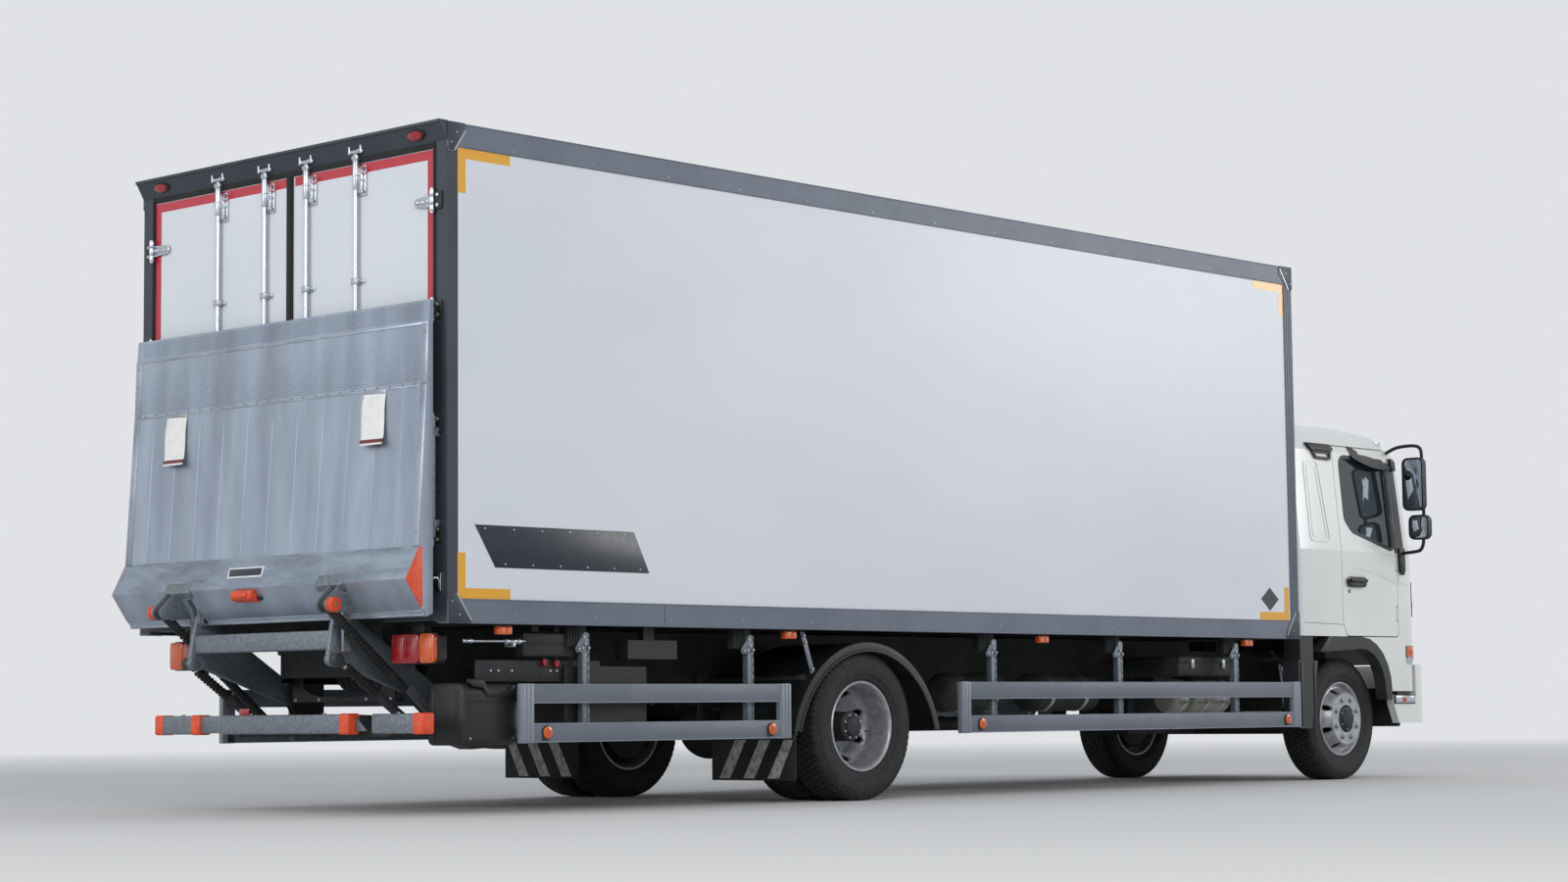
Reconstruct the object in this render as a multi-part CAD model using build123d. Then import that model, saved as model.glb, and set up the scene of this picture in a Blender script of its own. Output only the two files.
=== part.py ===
from math import atan2, cos, degrees, hypot, radians, sin
import os

from build123d import *

# Millimetres. x runs forward from the rear face of the load box, y to the left, z up from the ground.
# On export everything moves back by half the overall length, so the origin is at its middle.

# Load box
box_length = 7584.0
box_width = 2600.0
box_top = 3506.0
fascia_height = 124.0
lower_rail_top = 1093.0
lower_rail_height = 123.0
wall_thickness = 62.0
roof_thickness = 84.0
floor_thickness = 100.0
profile_proud = 5.0
profile_leg = 70.0
front_post_width = 95.0
bearer_height = 80.0
bearer_width = 60.0
bearer_pitch = 560.0
runner_height = 66.0

# Rear frame and doors
pillar_width = 92.0
pillar_depth = 96.0
hood_reach = 59.0
door_thickness = 78.0
door_gap = 8.0
centre_gap = 10.0
door_recess = 6.0
rod_radius = 13.0
rod_lines = [590.0, 178.0]
hinge_heights = [3110.0, 2550.0, 1970.0, 1415.0]

# Chassis frame
frame_width = 860.0
rail_height = 220.0
rail_flange = 65.0
rail_web = 8.0
frame_rear = 300.0
frame_front = 9230.0
cross_member_width = 70.0
cross_member_height = 150.0
cross_member_places = [1100.0, 2350.0, 4150.0, 5400.0, 6650.0, 7500.0]

# Wheels and axles
wheel_base = 5336.0
rear_axle_x = 3194.0
tyre_radius = 425.0
tyre_width = 262.0
tread_width = 206.0
bead_radius = 247.0
bead_width = 190.0
shoulder_drop = 26.0
flange_radius = 260.0
rim_width = 216.0
rim_wall = 9.0
disc_offset = 150.0
disc_thickness = 14.0
hub_radius = 138.0
disc_radius = 182.0
spindle_radius = 42.0
running_gap = 0.4
front_track = 1784.0
rear_outer_track = 2220.0
kingpin_track = 1440.0
kingpin_radius = 24.0
steering_arm = 185.0
steering_arm_inset = 60.0

# Cab
cab_back = 7790.0
cab_width = 2300.0
cab_floor = 1000.0
cab_skirt = 617.0
cab_wall = 42.0
shut_gap = 7.0
door_back = 8368.0
door_front = 9080.0
door_top = 2345.0
door_bottom = 1006.0
glass_thickness = 6.0
glass_inset = 14.0
arch_radius = 382.0
arch_x = 8600.0

# Tail lift, with the platform stowed upright
arm_pin = (-115.0, 1030.0)
tilt_pin = (-289.0, 1073.0)
arm_root = (517.0, 614.0)
lift_ear = (-163.0, 801.0)
lift_root = (360.0, 440.0)
arm_inner = 570.0
arm_thickness = 30.0
lift_line = 630.0
tilt_line = 699.0
cylinder_radius = 25.0
piston_radius = 14.0
eye_radius = 31.0
hinge_pin_radius = 20.0
small_pin_radius = 14.0
pin_gap = 0.3
lug_thickness = 10.0
pin_cap_radius = 40.0
platform_half_width = 1245.0
platform_top = 2598.0

bumper_front = 9595.0
bumper_bulge = 85.0

rear_reach = tilt_pin[0] - pin_cap_radius
front_reach = bumper_front + bumper_bulge
half_length = (rear_reach + front_reach) / 2
axle_z = tyre_radius
box_half = box_width / 2
roof_line = box_top - fascia_height
lower_rail_bottom = lower_rail_top - lower_rail_height
floor_bottom = lower_rail_bottom + bearer_height
floor_top = floor_bottom + floor_thickness
frame_top = lower_rail_bottom - runner_height
frame_bottom = frame_top - rail_height
frame_half = frame_width / 2
front_axle_x = rear_axle_x + wheel_base
wall_face = box_half - profile_proud
tread_drop = 0.3


def block(x0, x1, y0, y1, z0, z1):
    size = Box(x1 - x0, y1 - y0, z1 - z0)
    return Pos((x0 + x1) / 2, (y0 + y1) / 2, (z0 + z1) / 2) * size


def outline(points, lift):
    """Closed flat face through (a, b) or (a, b, corner radius) points, put in space by lift."""
    places = [lift(p[0], p[1]) for p in points]
    radii = [p[2] if len(p) > 2 else 0 for p in points]
    if any(radii):
        return make_face(FilletPolyline(*places, radius=radii, close=True))
    return make_face(Polyline(*places, close=True))


def side_plate(points, y0, y1):
    """Plate seen from the side: an x, z outline between two y planes."""
    face = outline(points, lambda a, b: (a, y0, b))
    return extrude(face, amount=y1 - y0, dir=(0, 1, 0))


def end_plate(points, x0, x1):
    """Plate seen from the end: a y, z outline between two x planes."""
    face = outline(points, lambda a, b: (x0, a, b))
    return extrude(face, amount=x1 - x0, dir=(1, 0, 0))


def flat_plate(points, z0, z1):
    """Plate seen from above: an x, y outline between two z planes."""
    face = outline(points, lambda a, b: (a, b, z0))
    return extrude(face, amount=z1 - z0, dir=(0, 0, 1))


def cross_rod(x, z, radius, y0, y1):
    return Pos(x, (y0 + y1) / 2, z) * Rot(90, 0, 0) * Cylinder(radius, y1 - y0)


def upright_rod(x, y, radius, z0, z1):
    return Pos(x, y, (z0 + z1) / 2) * Cylinder(radius, z1 - z0)


def long_rod(y, z, radius, x0, x1):
    return Pos((x0 + x1) / 2, y, z) * Rot(0, 90, 0) * Cylinder(radius, x1 - x0)


def tube_between(start, end, radius, y):
    """Round bar in the plane y, from one x, z point to another."""
    length = hypot(end[0] - start[0], end[1] - start[1])
    turn = degrees(atan2(end[0] - start[0], end[1] - start[1]))
    middle = Pos((start[0] + end[0]) / 2, y, (start[1] + end[1]) / 2)
    return middle * Rot(0, turn, 0) * Cylinder(radius, length)


def bar_between(start, end, width, y0, y1):
    """Flat bar between two y planes, from one x, z point to another."""
    length = hypot(end[0] - start[0], end[1] - start[1])
    turn = degrees(atan2(end[0] - start[0], end[1] - start[1]))
    middle = Pos((start[0] + end[0]) / 2, (y0 + y1) / 2, (start[1] + end[1]) / 2)
    return middle * Rot(0, turn, 0) * Box(width, y1 - y0, length)


def along(start, end, distance):
    """The point a distance from start on the way to end."""
    length = hypot(end[0] - start[0], end[1] - start[1])
    share = distance / length
    return (start[0] + (end[0] - start[0]) * share, start[1] + (end[1] - start[1]) * share)


def turned_about_axle(points, x, z):
    """Ring whose section is given as (radius, y) points, turned about the line along y through x, z."""
    face = make_face(Polyline(*[(x + r, y, z) for r, y in points], close=True))
    return revolve(face, axis=Axis((x, 0, z), (0, 1, 0)))


def mirrored(shape):
    return mirror(shape, about=Plane.XZ)


def both_sides(shape):
    return [shape, mirrored(shape)]


def solids_of(shapes):
    found = []
    for shape in shapes:
        found.extend(shape.solids())
    return found


def keep(name, *shapes):
    """Write one node: its solids, moved so that the origin is under the middle of the truck."""
    found = solids_of(shapes)
    moved = [Pos(-half_length, 0, 0) * solid for solid in found]
    whole = moved[0] if len(moved) == 1 else Compound(children=moved)
    whole.label = name
    export_step(whole, f"parts/{name}.step")


# Chassis frame

def chassis_frame():
    inner = frame_half - rail_web
    rail_outline = [
        (frame_half, frame_bottom), (frame_half, frame_top), (frame_half - rail_flange, frame_top),
        (frame_half - rail_flange, frame_top - rail_web), (inner, frame_top - rail_web),
        (inner, frame_bottom + rail_web), (frame_half - rail_flange, frame_bottom + rail_web),
        (frame_half - rail_flange, frame_bottom),
    ]
    rail = end_plate(rail_outline, frame_rear, frame_front)
    frame = rail + mirrored(rail)
    middle = (frame_top + frame_bottom) / 2
    low = middle - cross_member_height / 2
    high = middle + cross_member_height / 2
    half = cross_member_width / 2
    ends = [frame_rear + half, frame_front - half]
    for place in ends + cross_member_places:
        member = block(place - half, place + half, -inner, inner, low, high)
        hollow = block(place - half + rail_web, place + half, -inner, inner, low + rail_web, high - rail_web)
        frame += member - hollow
    return frame


def box_bearers():
    runner = block(frame_rear, box_length - 60, frame_half - rail_flange, frame_half, frame_top, lower_rail_bottom)
    bearers = runner + mirrored(runner)
    count = int((box_length - 700) / bearer_pitch)
    for step in range(count + 1):
        start = 420 + step * bearer_pitch
        reach = box_half - profile_leg - 10
        bearers += block(start, start + bearer_width, -reach, reach, lower_rail_bottom, floor_bottom)
    return bearers


# Load box

def box_floor():
    side = wall_face - wall_thickness
    return block(pillar_depth, box_length - wall_thickness, -side, side, floor_bottom, floor_top)


def side_wall(side):
    wall = block(pillar_depth, box_length - profile_proud, wall_face - wall_thickness, wall_face,
                 floor_bottom, roof_line + fascia_height - roof_thickness)
    return wall if side > 0 else mirrored(wall)


def front_wall():
    reach = wall_face - wall_thickness
    return block(box_length - wall_thickness, box_length - profile_proud, -reach, reach,
                 floor_bottom, box_top - roof_thickness)


def box_roof():
    return block(pillar_depth, box_length - profile_proud, -wall_face, wall_face,
                 box_top - roof_thickness, box_top - profile_proud)


def edge_profiles():
    """Extruded rails along the lower and upper edges, and the posts at the two front corners."""
    lower = [
        (box_half, lower_rail_bottom), (box_half, lower_rail_top), (wall_face, lower_rail_top),
        (wall_face, lower_rail_bottom + profile_proud), (box_half - profile_leg, lower_rail_bottom + profile_proud),
        (box_half - profile_leg, lower_rail_bottom),
    ]
    upper = [
        (box_half, roof_line), (box_half, box_top), (box_half - profile_leg, box_top),
        (box_half - profile_leg, box_top - profile_proud), (wall_face, box_top - profile_proud), (wall_face, roof_line),
    ]
    lower_rail = end_plate(lower, 0, box_length)
    upper_rail = end_plate(upper, 0, box_length)
    post = [
        (box_length - front_post_width, box_half), (box_length, box_half), (box_length, box_half - profile_leg),
        (box_length - profile_proud, box_half - profile_leg), (box_length - profile_proud, wall_face),
        (box_length - front_post_width, wall_face),
    ]
    front_post = flat_plate(post, lower_rail_bottom, box_top)
    front_sill = block(box_length - profile_proud, box_length, -box_half, box_half, lower_rail_bottom, lower_rail_top)
    front_head = block(box_length - profile_proud, box_length, -box_half, box_half, roof_line, box_top)
    frame = front_sill + front_head
    for piece in (lower_rail, upper_rail, front_post):
        frame += piece
        frame += mirrored(piece)
    for cap in corner_caps():
        frame += cap
    return frame


corner_cap_thickness = 4.0
corner_cap_table = [
    # leg forward, leg upward, corner x, corner z
    (150.0, 150.0, 0.0, lower_rail_bottom),
    (110.0, -150.0, 0.0, box_top),
    (-150.0, 175.0, box_length, lower_rail_bottom),
    (-150.0, -150.0, box_length, box_top),
]


def corner_caps():
    caps = []
    for forward, upward, x, z in corner_cap_table:
        shape = [(x, z), (x + forward, z), (x + forward, z + upward * 0.35), (x + forward * 0.35, z + upward), (x, z + upward)]
        caps += both_sides(side_plate(shape, box_half, box_half + corner_cap_thickness))
    return caps


sill_notch = 800.0
sill_low = 985.0
sill_high = 1040.0
door_low = 1122.0
door_high = 3400.0
hood_lip = 3495.0


def rear_frame():
    pillar = block(0, pillar_depth, wall_face - pillar_width, wall_face, lower_rail_bottom + profile_proud,
                   box_top - profile_proud)
    sill_half = wall_face - pillar_width
    sill = block(0, pillar_depth, -sill_half, sill_half, sill_high, door_low - door_gap)
    outer_sill = block(0, pillar_depth, sill_notch, sill_half, sill_low, sill_high)
    header = block(0, pillar_depth, -sill_half, sill_half, door_high + door_gap, box_top - profile_proud)
    hood = [(0, box_top - profile_proud), (0, roof_line + 28), (-hood_reach + 9, hood_lip), (-hood_reach, hood_lip + 2),
            (-hood_reach, box_top + 6), (0, box_top + 6)]
    hood_piece = side_plate(hood, -box_half, box_half)
    frame = sill + header + hood_piece
    for piece in (pillar, outer_sill):
        frame += piece
        frame += mirrored(piece)
    return frame


def rear_door(side):
    outer = wall_face - pillar_width - door_gap
    leaf = block(door_recess, door_recess + door_thickness, centre_gap / 2, outer, door_low, door_high)
    return leaf if side > 0 else mirrored(leaf)


def door_rods():
    """Lock rods with the cams at their ends and two guides each."""
    rods = []
    stand_off = door_recess - rod_radius - 7
    for line in rod_lines:
        rod = upright_rod(stand_off, line, rod_radius, door_low + 30, door_high - 10)
        for height in (door_low + 30, door_high - 160):
            rod += block(stand_off - rod_radius, door_recess, line - 32, line + 32, height, height + 130)
        for height in (1700.0, 2750.0):
            rod += block(stand_off - rod_radius, door_recess, line - 45, line + 45, height, height + 40)
        rods += both_sides(rod)
    return rods


def door_hinges():
    pin_y = wall_face - pillar_width - door_gap / 2
    hinges = []
    for height in hinge_heights:
        strap = block(-14, 0, pin_y, pin_y + 60, height - 42, height + 42)
        strap += block(-14, door_recess, pin_y - 150, pin_y, height - 30, height + 30)
        strap += upright_rod(-16, pin_y, 15, height - 60, height + 60)
        hinges += both_sides(strap)
    return hinges


unit_width = 1800.0
unit_depth = 430.0
unit_low = 2700.0
unit_high = 3400.0


def refrigeration_unit():
    body = [
        (box_length, unit_low), (box_length + unit_depth - 150, unit_low, 40), (box_length + unit_depth, unit_low + 190, 60),
        (box_length + unit_depth - 30, unit_high - 90, 70), (box_length + unit_depth - 140, unit_high, 50),
        (box_length, unit_high),
    ]
    unit = side_plate(body, -unit_width / 2, unit_width / 2)
    vent_low = unit_low + 300
    for step in range(7):
        z = vent_low + step * 36
        unit -= block(box_length + unit_depth - 40, box_length + unit_depth + 40, -620, 620, z, z + 18)
    return unit


# Wheels

tyre_section = [
    # radius, distance from the middle plane
    (bead_radius, -bead_width / 2),
    (tyre_radius - shoulder_drop, -tyre_width / 2),
    (tyre_radius, -tread_width / 2),
    (tyre_radius, tread_width / 2),
    (tyre_radius - shoulder_drop, tyre_width / 2),
    (bead_radius, bead_width / 2),
]


def tyre(x, middle):
    return turned_about_axle([(r, middle + y) for r, y in tyre_section], x, axle_z)


def rim(x, middle, outward):
    """Drop-centre rim with a dished disc; outward is the way its disc is set off, +1 or -1 along y."""
    seat = bead_radius - tread_drop
    edge = rim_width / 2
    bead = bead_width / 2 + 1
    face = disc_offset
    back = face - disc_thickness
    section = [
        (flange_radius, -edge), (flange_radius, -bead - 4), (seat, -bead), (seat, bead), (flange_radius, bead + 4),
        (flange_radius, edge), (flange_radius - 14, edge), (seat - rim_wall - 6, edge - 30),
        (disc_radius, face), (spindle_radius + 34, face), (spindle_radius + 34, back), (disc_radius - 6, back),
        (seat - rim_wall - 14, edge - 48), (seat - rim_wall, -edge + 20), (flange_radius - 14, -edge),
    ]
    return turned_about_axle([(r, middle + outward * y) for r, y in section], x, axle_z)


hand_hole_radius = 30.0
stud_circle = 137.5
stud_radius = 15.0
stud_height = 28.0


def wheel_holes(x, y0, y1, radius, hole, count):
    """Round holes or studs on a circle about the axle, from y0 to y1."""
    pieces = []
    for step in range(count):
        angle = radians(360 / count * (step + 0.5))
        pieces.append(cross_rod(x + radius * cos(angle), axle_z + radius * sin(angle), hole, y0, y1))
    return pieces


def front_rim():
    middle = front_track / 2
    wheel = rim(front_axle_x, middle, 1)
    face = middle + disc_offset
    for hole in wheel_holes(front_axle_x, middle + 20, face, 205, hand_hole_radius, 8):
        wheel -= hole
    hub = cross_rod(front_axle_x, axle_z, hub_radius - 30, middle - 30, face - disc_thickness)
    hub += cross_rod(front_axle_x, axle_z, spindle_radius + 32, face - disc_thickness, face + 20)
    hub -= cross_rod(front_axle_x, axle_z, spindle_radius + running_gap, middle - 30, face - 10)
    wheel += hub
    for stud in wheel_holes(front_axle_x, face, face + stud_height, stud_circle, stud_radius, 8):
        wheel += stud
    return wheel


rear_outer_middle = rear_outer_track / 2
rear_clamp = rear_outer_middle - disc_offset
rear_inner_middle = rear_clamp - disc_offset


def rear_rims():
    wheel = rim(rear_axle_x, rear_outer_middle, -1) + rim(rear_axle_x, rear_inner_middle, 1)
    for hole in wheel_holes(rear_axle_x, rear_inner_middle, rear_outer_middle, 196, hand_hole_radius, 8):
        wheel -= hole
    face = rear_clamp + disc_thickness
    hub = cross_rod(rear_axle_x, axle_z, hub_radius - 24, rear_inner_middle - 40, rear_clamp - disc_thickness)
    hub += cross_rod(rear_axle_x, axle_z, spindle_radius + 34, rear_clamp - disc_thickness, rear_outer_middle + 60)
    hub -= cross_rod(rear_axle_x, axle_z, spindle_radius + running_gap, rear_inner_middle - 40, rear_outer_middle + 20)
    wheel += hub
    for stud in wheel_holes(rear_axle_x, face, face + stud_height, stud_circle, stud_radius, 8):
        wheel += stud
    return wheel


# Axles and steering

kingpin = kingpin_track / 2
fork_half = 95.0
boss_half = 60.0
beam_half = 45.0


def front_axle():
    top = axle_z + boss_half
    low = axle_z - boss_half
    beam = end_plate([
        (-kingpin, low), (-kingpin, top, 20), (-kingpin + 90, top - 15, 40), (-kingpin + 190, axle_z - 15, 60),
        (kingpin - 190, axle_z - 15, 60), (kingpin - 90, top - 15, 40), (kingpin, top, 20), (kingpin, low),
        (kingpin - 120, low, 30), (kingpin - 210, axle_z - 105, 40), (-kingpin + 210, axle_z - 105, 40),
        (-kingpin + 120, low, 30),
    ], front_axle_x - beam_half, front_axle_x + beam_half)
    for side in (-1, 1):
        beam += upright_rod(front_axle_x, side * kingpin, beam_half, low, top)
    for side in (-1, 1):
        beam -= upright_rod(front_axle_x, side * kingpin, kingpin_radius + pin_gap, low, top)
    return beam


def knuckle(side):
    """Fork round the axle's end, with its kingpin, spindle and steering arm."""
    top = axle_z + boss_half + 2
    low = axle_z - boss_half - 2
    spindle_end = front_track / 2 + disc_offset - 14
    back = kingpin + beam_half + 8
    body = block(front_axle_x - 50, front_axle_x + 50, back, back + 30, axle_z - fork_half, axle_z + fork_half)
    for z0, z1 in ((low - 33, low), (top, top + 33)):
        body += block(front_axle_x - 50, front_axle_x + 50, kingpin, back + 30, z0, z1)
        body += upright_rod(front_axle_x, kingpin, 50, z0, z1)
    body += upright_rod(front_axle_x, kingpin, kingpin_radius, low - 33, top + 33)
    body += cross_rod(front_axle_x, axle_z, spindle_radius, back, spindle_end)
    end_x = front_axle_x - steering_arm
    end_y = kingpin - steering_arm_inset
    arm = flat_plate([
        (front_axle_x + 10, kingpin - 44), (front_axle_x - 10, kingpin + 44),
        (end_x, end_y + 26, 12), (end_x - 24, end_y + 18, 12), (end_x - 24, end_y - 24, 12), (end_x + 14, end_y - 24, 12),
    ], low - 33, low - 15)
    body += arm
    return body if side > 0 else mirrored(body)


rod_level = axle_z - boss_half - 2 - 15 + 0.3


def track_rod():
    x = front_axle_x - steering_arm
    z = rod_level + 18
    reach = kingpin - steering_arm_inset
    rod = cross_rod(x, z, 15, -reach, reach)
    for side in (-1, 1):
        rod += upright_rod(x, side * reach, 25, rod_level, rod_level + 36)
    return rod


def rear_axle():
    reach = rear_outer_middle + 10
    axle = cross_rod(rear_axle_x, axle_z, spindle_radius, -reach, reach)
    axle += cross_rod(rear_axle_x, axle_z, 68, -rear_inner_middle + 60, rear_inner_middle - 60)
    axle += Pos(rear_axle_x, 0, axle_z) * Sphere(190)
    axle += long_rod(0, axle_z, 78, rear_axle_x, rear_axle_x + 330)
    return axle


spring_width = 70.0
spring_middle = 415.0
leaf_thickness = 16.0
spring_table = [
    # axle x, underside at the axle, half length, rise at the ends, leaves
    (rear_axle_x, axle_z + 68.5, 760.0, 62.0, 4),
    (front_axle_x, axle_z - 14.5, 700.0, 66.0, 3),
]


def leaf_springs():
    springs = []
    for x, low, reach, rise, leaves in spring_table:
        pack = None
        for number in range(leaves):
            share = (number + 1) / leaves
            length = reach * share
            base = low + number * leaf_thickness
            lift = rise * share * share
            points = [(x - length, base + lift), (x, base - lift), (x + length, base + lift)]
            bow = ThreePointArc(*[(px, 0, pz + (0 if px != x else lift)) for px, pz in points])
            top = [(px, 0, pz + leaf_thickness + (0 if px != x else lift)) for px, pz in points]
            edge = ThreePointArc(*top)
            face = make_face([bow, edge, Line(bow @ 0, edge @ 0), Line(bow @ 1, edge @ 1)])
            leaf = Pos(0, spring_middle - spring_width / 2, 0) * extrude(face, amount=spring_width, dir=(0, 1, 0))
            pack = leaf if pack is None else pack + leaf
        end_z = low + rise + (leaves - 1) * leaf_thickness
        for end in (-1, 1):
            hanger_x = x + end * (reach - 20)
            pack += block(hanger_x - 25, hanger_x + 25, spring_middle - 25, spring_middle + 15, end_z, frame_bottom)
        springs += both_sides(pack)
    return springs


engine_rear = 7900.0
engine_front = 8930.0
engine_half = 290.0
engine_top = 1145.0


def propeller_shaft():
    start = rear_axle_x + 330.5
    return long_rod(0, axle_z, 45, start, 7000.0)


def gearbox():
    case = block(7120, engine_rear - 0.5, -190, 190, axle_z - 90, axle_z + 275)
    return long_rod(0, axle_z, 70, 7000.5, 7120.0) + case


def engine_block():
    return block(engine_rear, engine_front, -engine_half, engine_half, axle_z + 60, engine_top)


# Chassis side equipment

def fuel_tank():
    tank = side_plate([(5000, 470, 60), (5000, 860, 60), (6150, 860, 60), (6150, 470, 60)], 560, 1150)
    for x in (5200.0, 5950.0):
        tank += block(x - 30, x + 30, frame_half, 560, 700, 860)
    return tank


def air_tanks():
    tanks = []
    for x0, x1, z in ((5250.0, 5950.0, 620.0), (4400.0, 5000.0, 620.0)):
        tank = long_rod(-760, z, 120, x0, x1)
        for x in (x0 + 120, x1 - 120):
            tank += block(x - 20, x + 20, -700, -frame_half, z, z + 160)
        tanks.append(tank)
    return tanks


def battery_box():
    box = block(6450, 7100, -1120, -600, 470, 850)
    return box + block(6600, 6950, -600, -frame_half, 700, 830)


def exhaust_box():
    drum = long_rod(860, 640, 230, 6500, 7300)
    return drum + block(6800, 6860, frame_half, 700, 700, 780)


# Tail lift

arm_length = hypot(arm_pin[0] - arm_root[0], arm_pin[1] - arm_root[1])
pin_step = (tilt_pin[0] - arm_pin[0], tilt_pin[1] - arm_pin[1])
# With the platform level, the cylinder's pins and the arm's pins are the corners of a parallelogram.
tilt_root = (arm_root[0] - pin_step[1], arm_root[1] + pin_step[0])
frame_plate_inner = arm_inner - 5 - 20
lift_frame_x = 590.0
platform_face = -50.0


def arm_shape():
    bar = [
        (arm_pin[0] - 30, arm_pin[1] + 34, 38), (arm_pin[0] + 40, arm_pin[1] + 30, 40),
        (arm_root[0] + 44, arm_root[1] + 40, 48), (arm_root[0] + 20, arm_root[1] - 56, 48),
        (lift_ear[0] + 60, lift_ear[1] - 26, 40), (lift_ear[0] - 26, lift_ear[1] - 34, 30),
        (lift_ear[0] - 34, lift_ear[1] + 40, 30), (arm_pin[0] - 48, arm_pin[1] - 40, 30),
    ]
    return side_plate(bar, arm_inner, arm_inner + arm_thickness)


beam_rear = -172.0
beam_front = -82.0
beam_low = 852.0
beam_high = 950.0


def lift_arms():
    arms = None
    for side in (1, -1):
        arm = arm_shape()
        arm -= cross_rod(*arm_pin, hinge_pin_radius + pin_gap, arm_inner, arm_inner + arm_thickness)
        arm += cross_rod(*arm_root, hinge_pin_radius, frame_plate_inner, arm_inner + arm_thickness + 15)
        arm = arm if side > 0 else mirrored(arm)
        arms = arm if arms is None else arms + arm
    return arms + block(beam_rear, beam_front, -arm_inner, arm_inner, beam_low, beam_high)


keeper_face = 630.0
keeper_thickness = 22.0
keeper_width = 44.0
keeper_length = 190.0
keeper_recess = 45.0


def hinge_pins():
    """Pins between arms and platform, each with the keeper plate that hangs from its outer end."""
    outer = keeper_face + keeper_thickness
    foot = (arm_pin[0], arm_pin[1] - keeper_length)
    pin = cross_rod(*arm_pin, hinge_pin_radius, arm_inner - 25, outer)
    pin += cross_rod(*arm_pin, hinge_pin_radius + 8, keeper_face, outer)
    return both_sides(pin + bar_between(arm_pin, foot, keeper_width, keeper_face, outer))


platform_profile = [
    # x, z of the stowed platform, from its top edge down the outside to its root and up the load face
    (platform_face, platform_top),
    (-67.0, platform_top),
    (-75.0, 2479.0),
    (-85.0, 2170.0),
    (-139.0, 1351.0),
    (-228.0, 1187.0),
    (-99.0, 1002.0),
    (-90.0, 1002.0),
    (platform_face, 1018.0),
]
slot_high = 1140.0
inner_lug = 660.0
outer_lug = 728.0


def platform():
    board = side_plate(platform_profile, -platform_half_width, platform_half_width)
    slot_low = arm_inner - 5
    slot_top = arm_inner + arm_thickness + 5
    lug = side_plate([
        (arm_pin[0] - 42, arm_pin[1] - 40, 36), (arm_pin[0] + 40, arm_pin[1] - 40, 36),
        (arm_pin[0] + 60, arm_pin[1] + 60), (arm_pin[0] - 60, arm_pin[1] + 90),
    ], slot_low - 20, slot_low)
    lug += Pos(0, arm_thickness + 30, 0) * lug
    ear = side_plate([
        (tilt_pin[0] - 42, tilt_pin[1] + 24, 36), (tilt_pin[0] - 30, tilt_pin[1] - 42, 36),
        (tilt_pin[0] + 40, tilt_pin[1] - 42, 36), (-112.0, 1040.0), (-190.0, 1190.0), (-228.0, 1187.0),
    ], inner_lug, inner_lug + lug_thickness)
    ear += Pos(0, outer_lug - inner_lug, 0) * ear
    for side in (1, -1):
        slot = block(-300, 0, slot_low, slot_top, 990, slot_high)
        pair = lug + ear
        pin_hole = cross_rod(*arm_pin, hinge_pin_radius + pin_gap, slot_low - 30, slot_top + 30)
        slot += cross_rod(*arm_pin, keeper_recess, slot_top + 20, keeper_face + keeper_thickness + 5)
        if side < 0:
            slot, pair, pin_hole = mirrored(slot), mirrored(pair), mirrored(pin_hole)
        board -= slot
        board += pair
        board -= pin_hole
    return board


def platform_caps():
    """Wedge caps at the platform's lower corners and round caps on the cylinder pins."""
    caps = []
    wedge = side_plate([(-140.0, 1352.0), (-229.0, 1187.0), (-129.0, 1044.0)], platform_half_width,
                       platform_half_width + 4)
    caps += both_sides(wedge)
    ring = cross_rod(*tilt_pin, pin_cap_radius, outer_lug + lug_thickness, outer_lug + lug_thickness + 44)
    caps += both_sides(ring)
    return caps


flag_table = [(830.0, 1000.0)]


def warning_flags():
    flags = []
    for y0, y1 in flag_table:
        flags += both_sides(side_plate([(-87.4, 2140), (-91.4, 2140), (-108.6, 1880), (-104.6, 1880)], y0, y1))
    return flags


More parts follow.
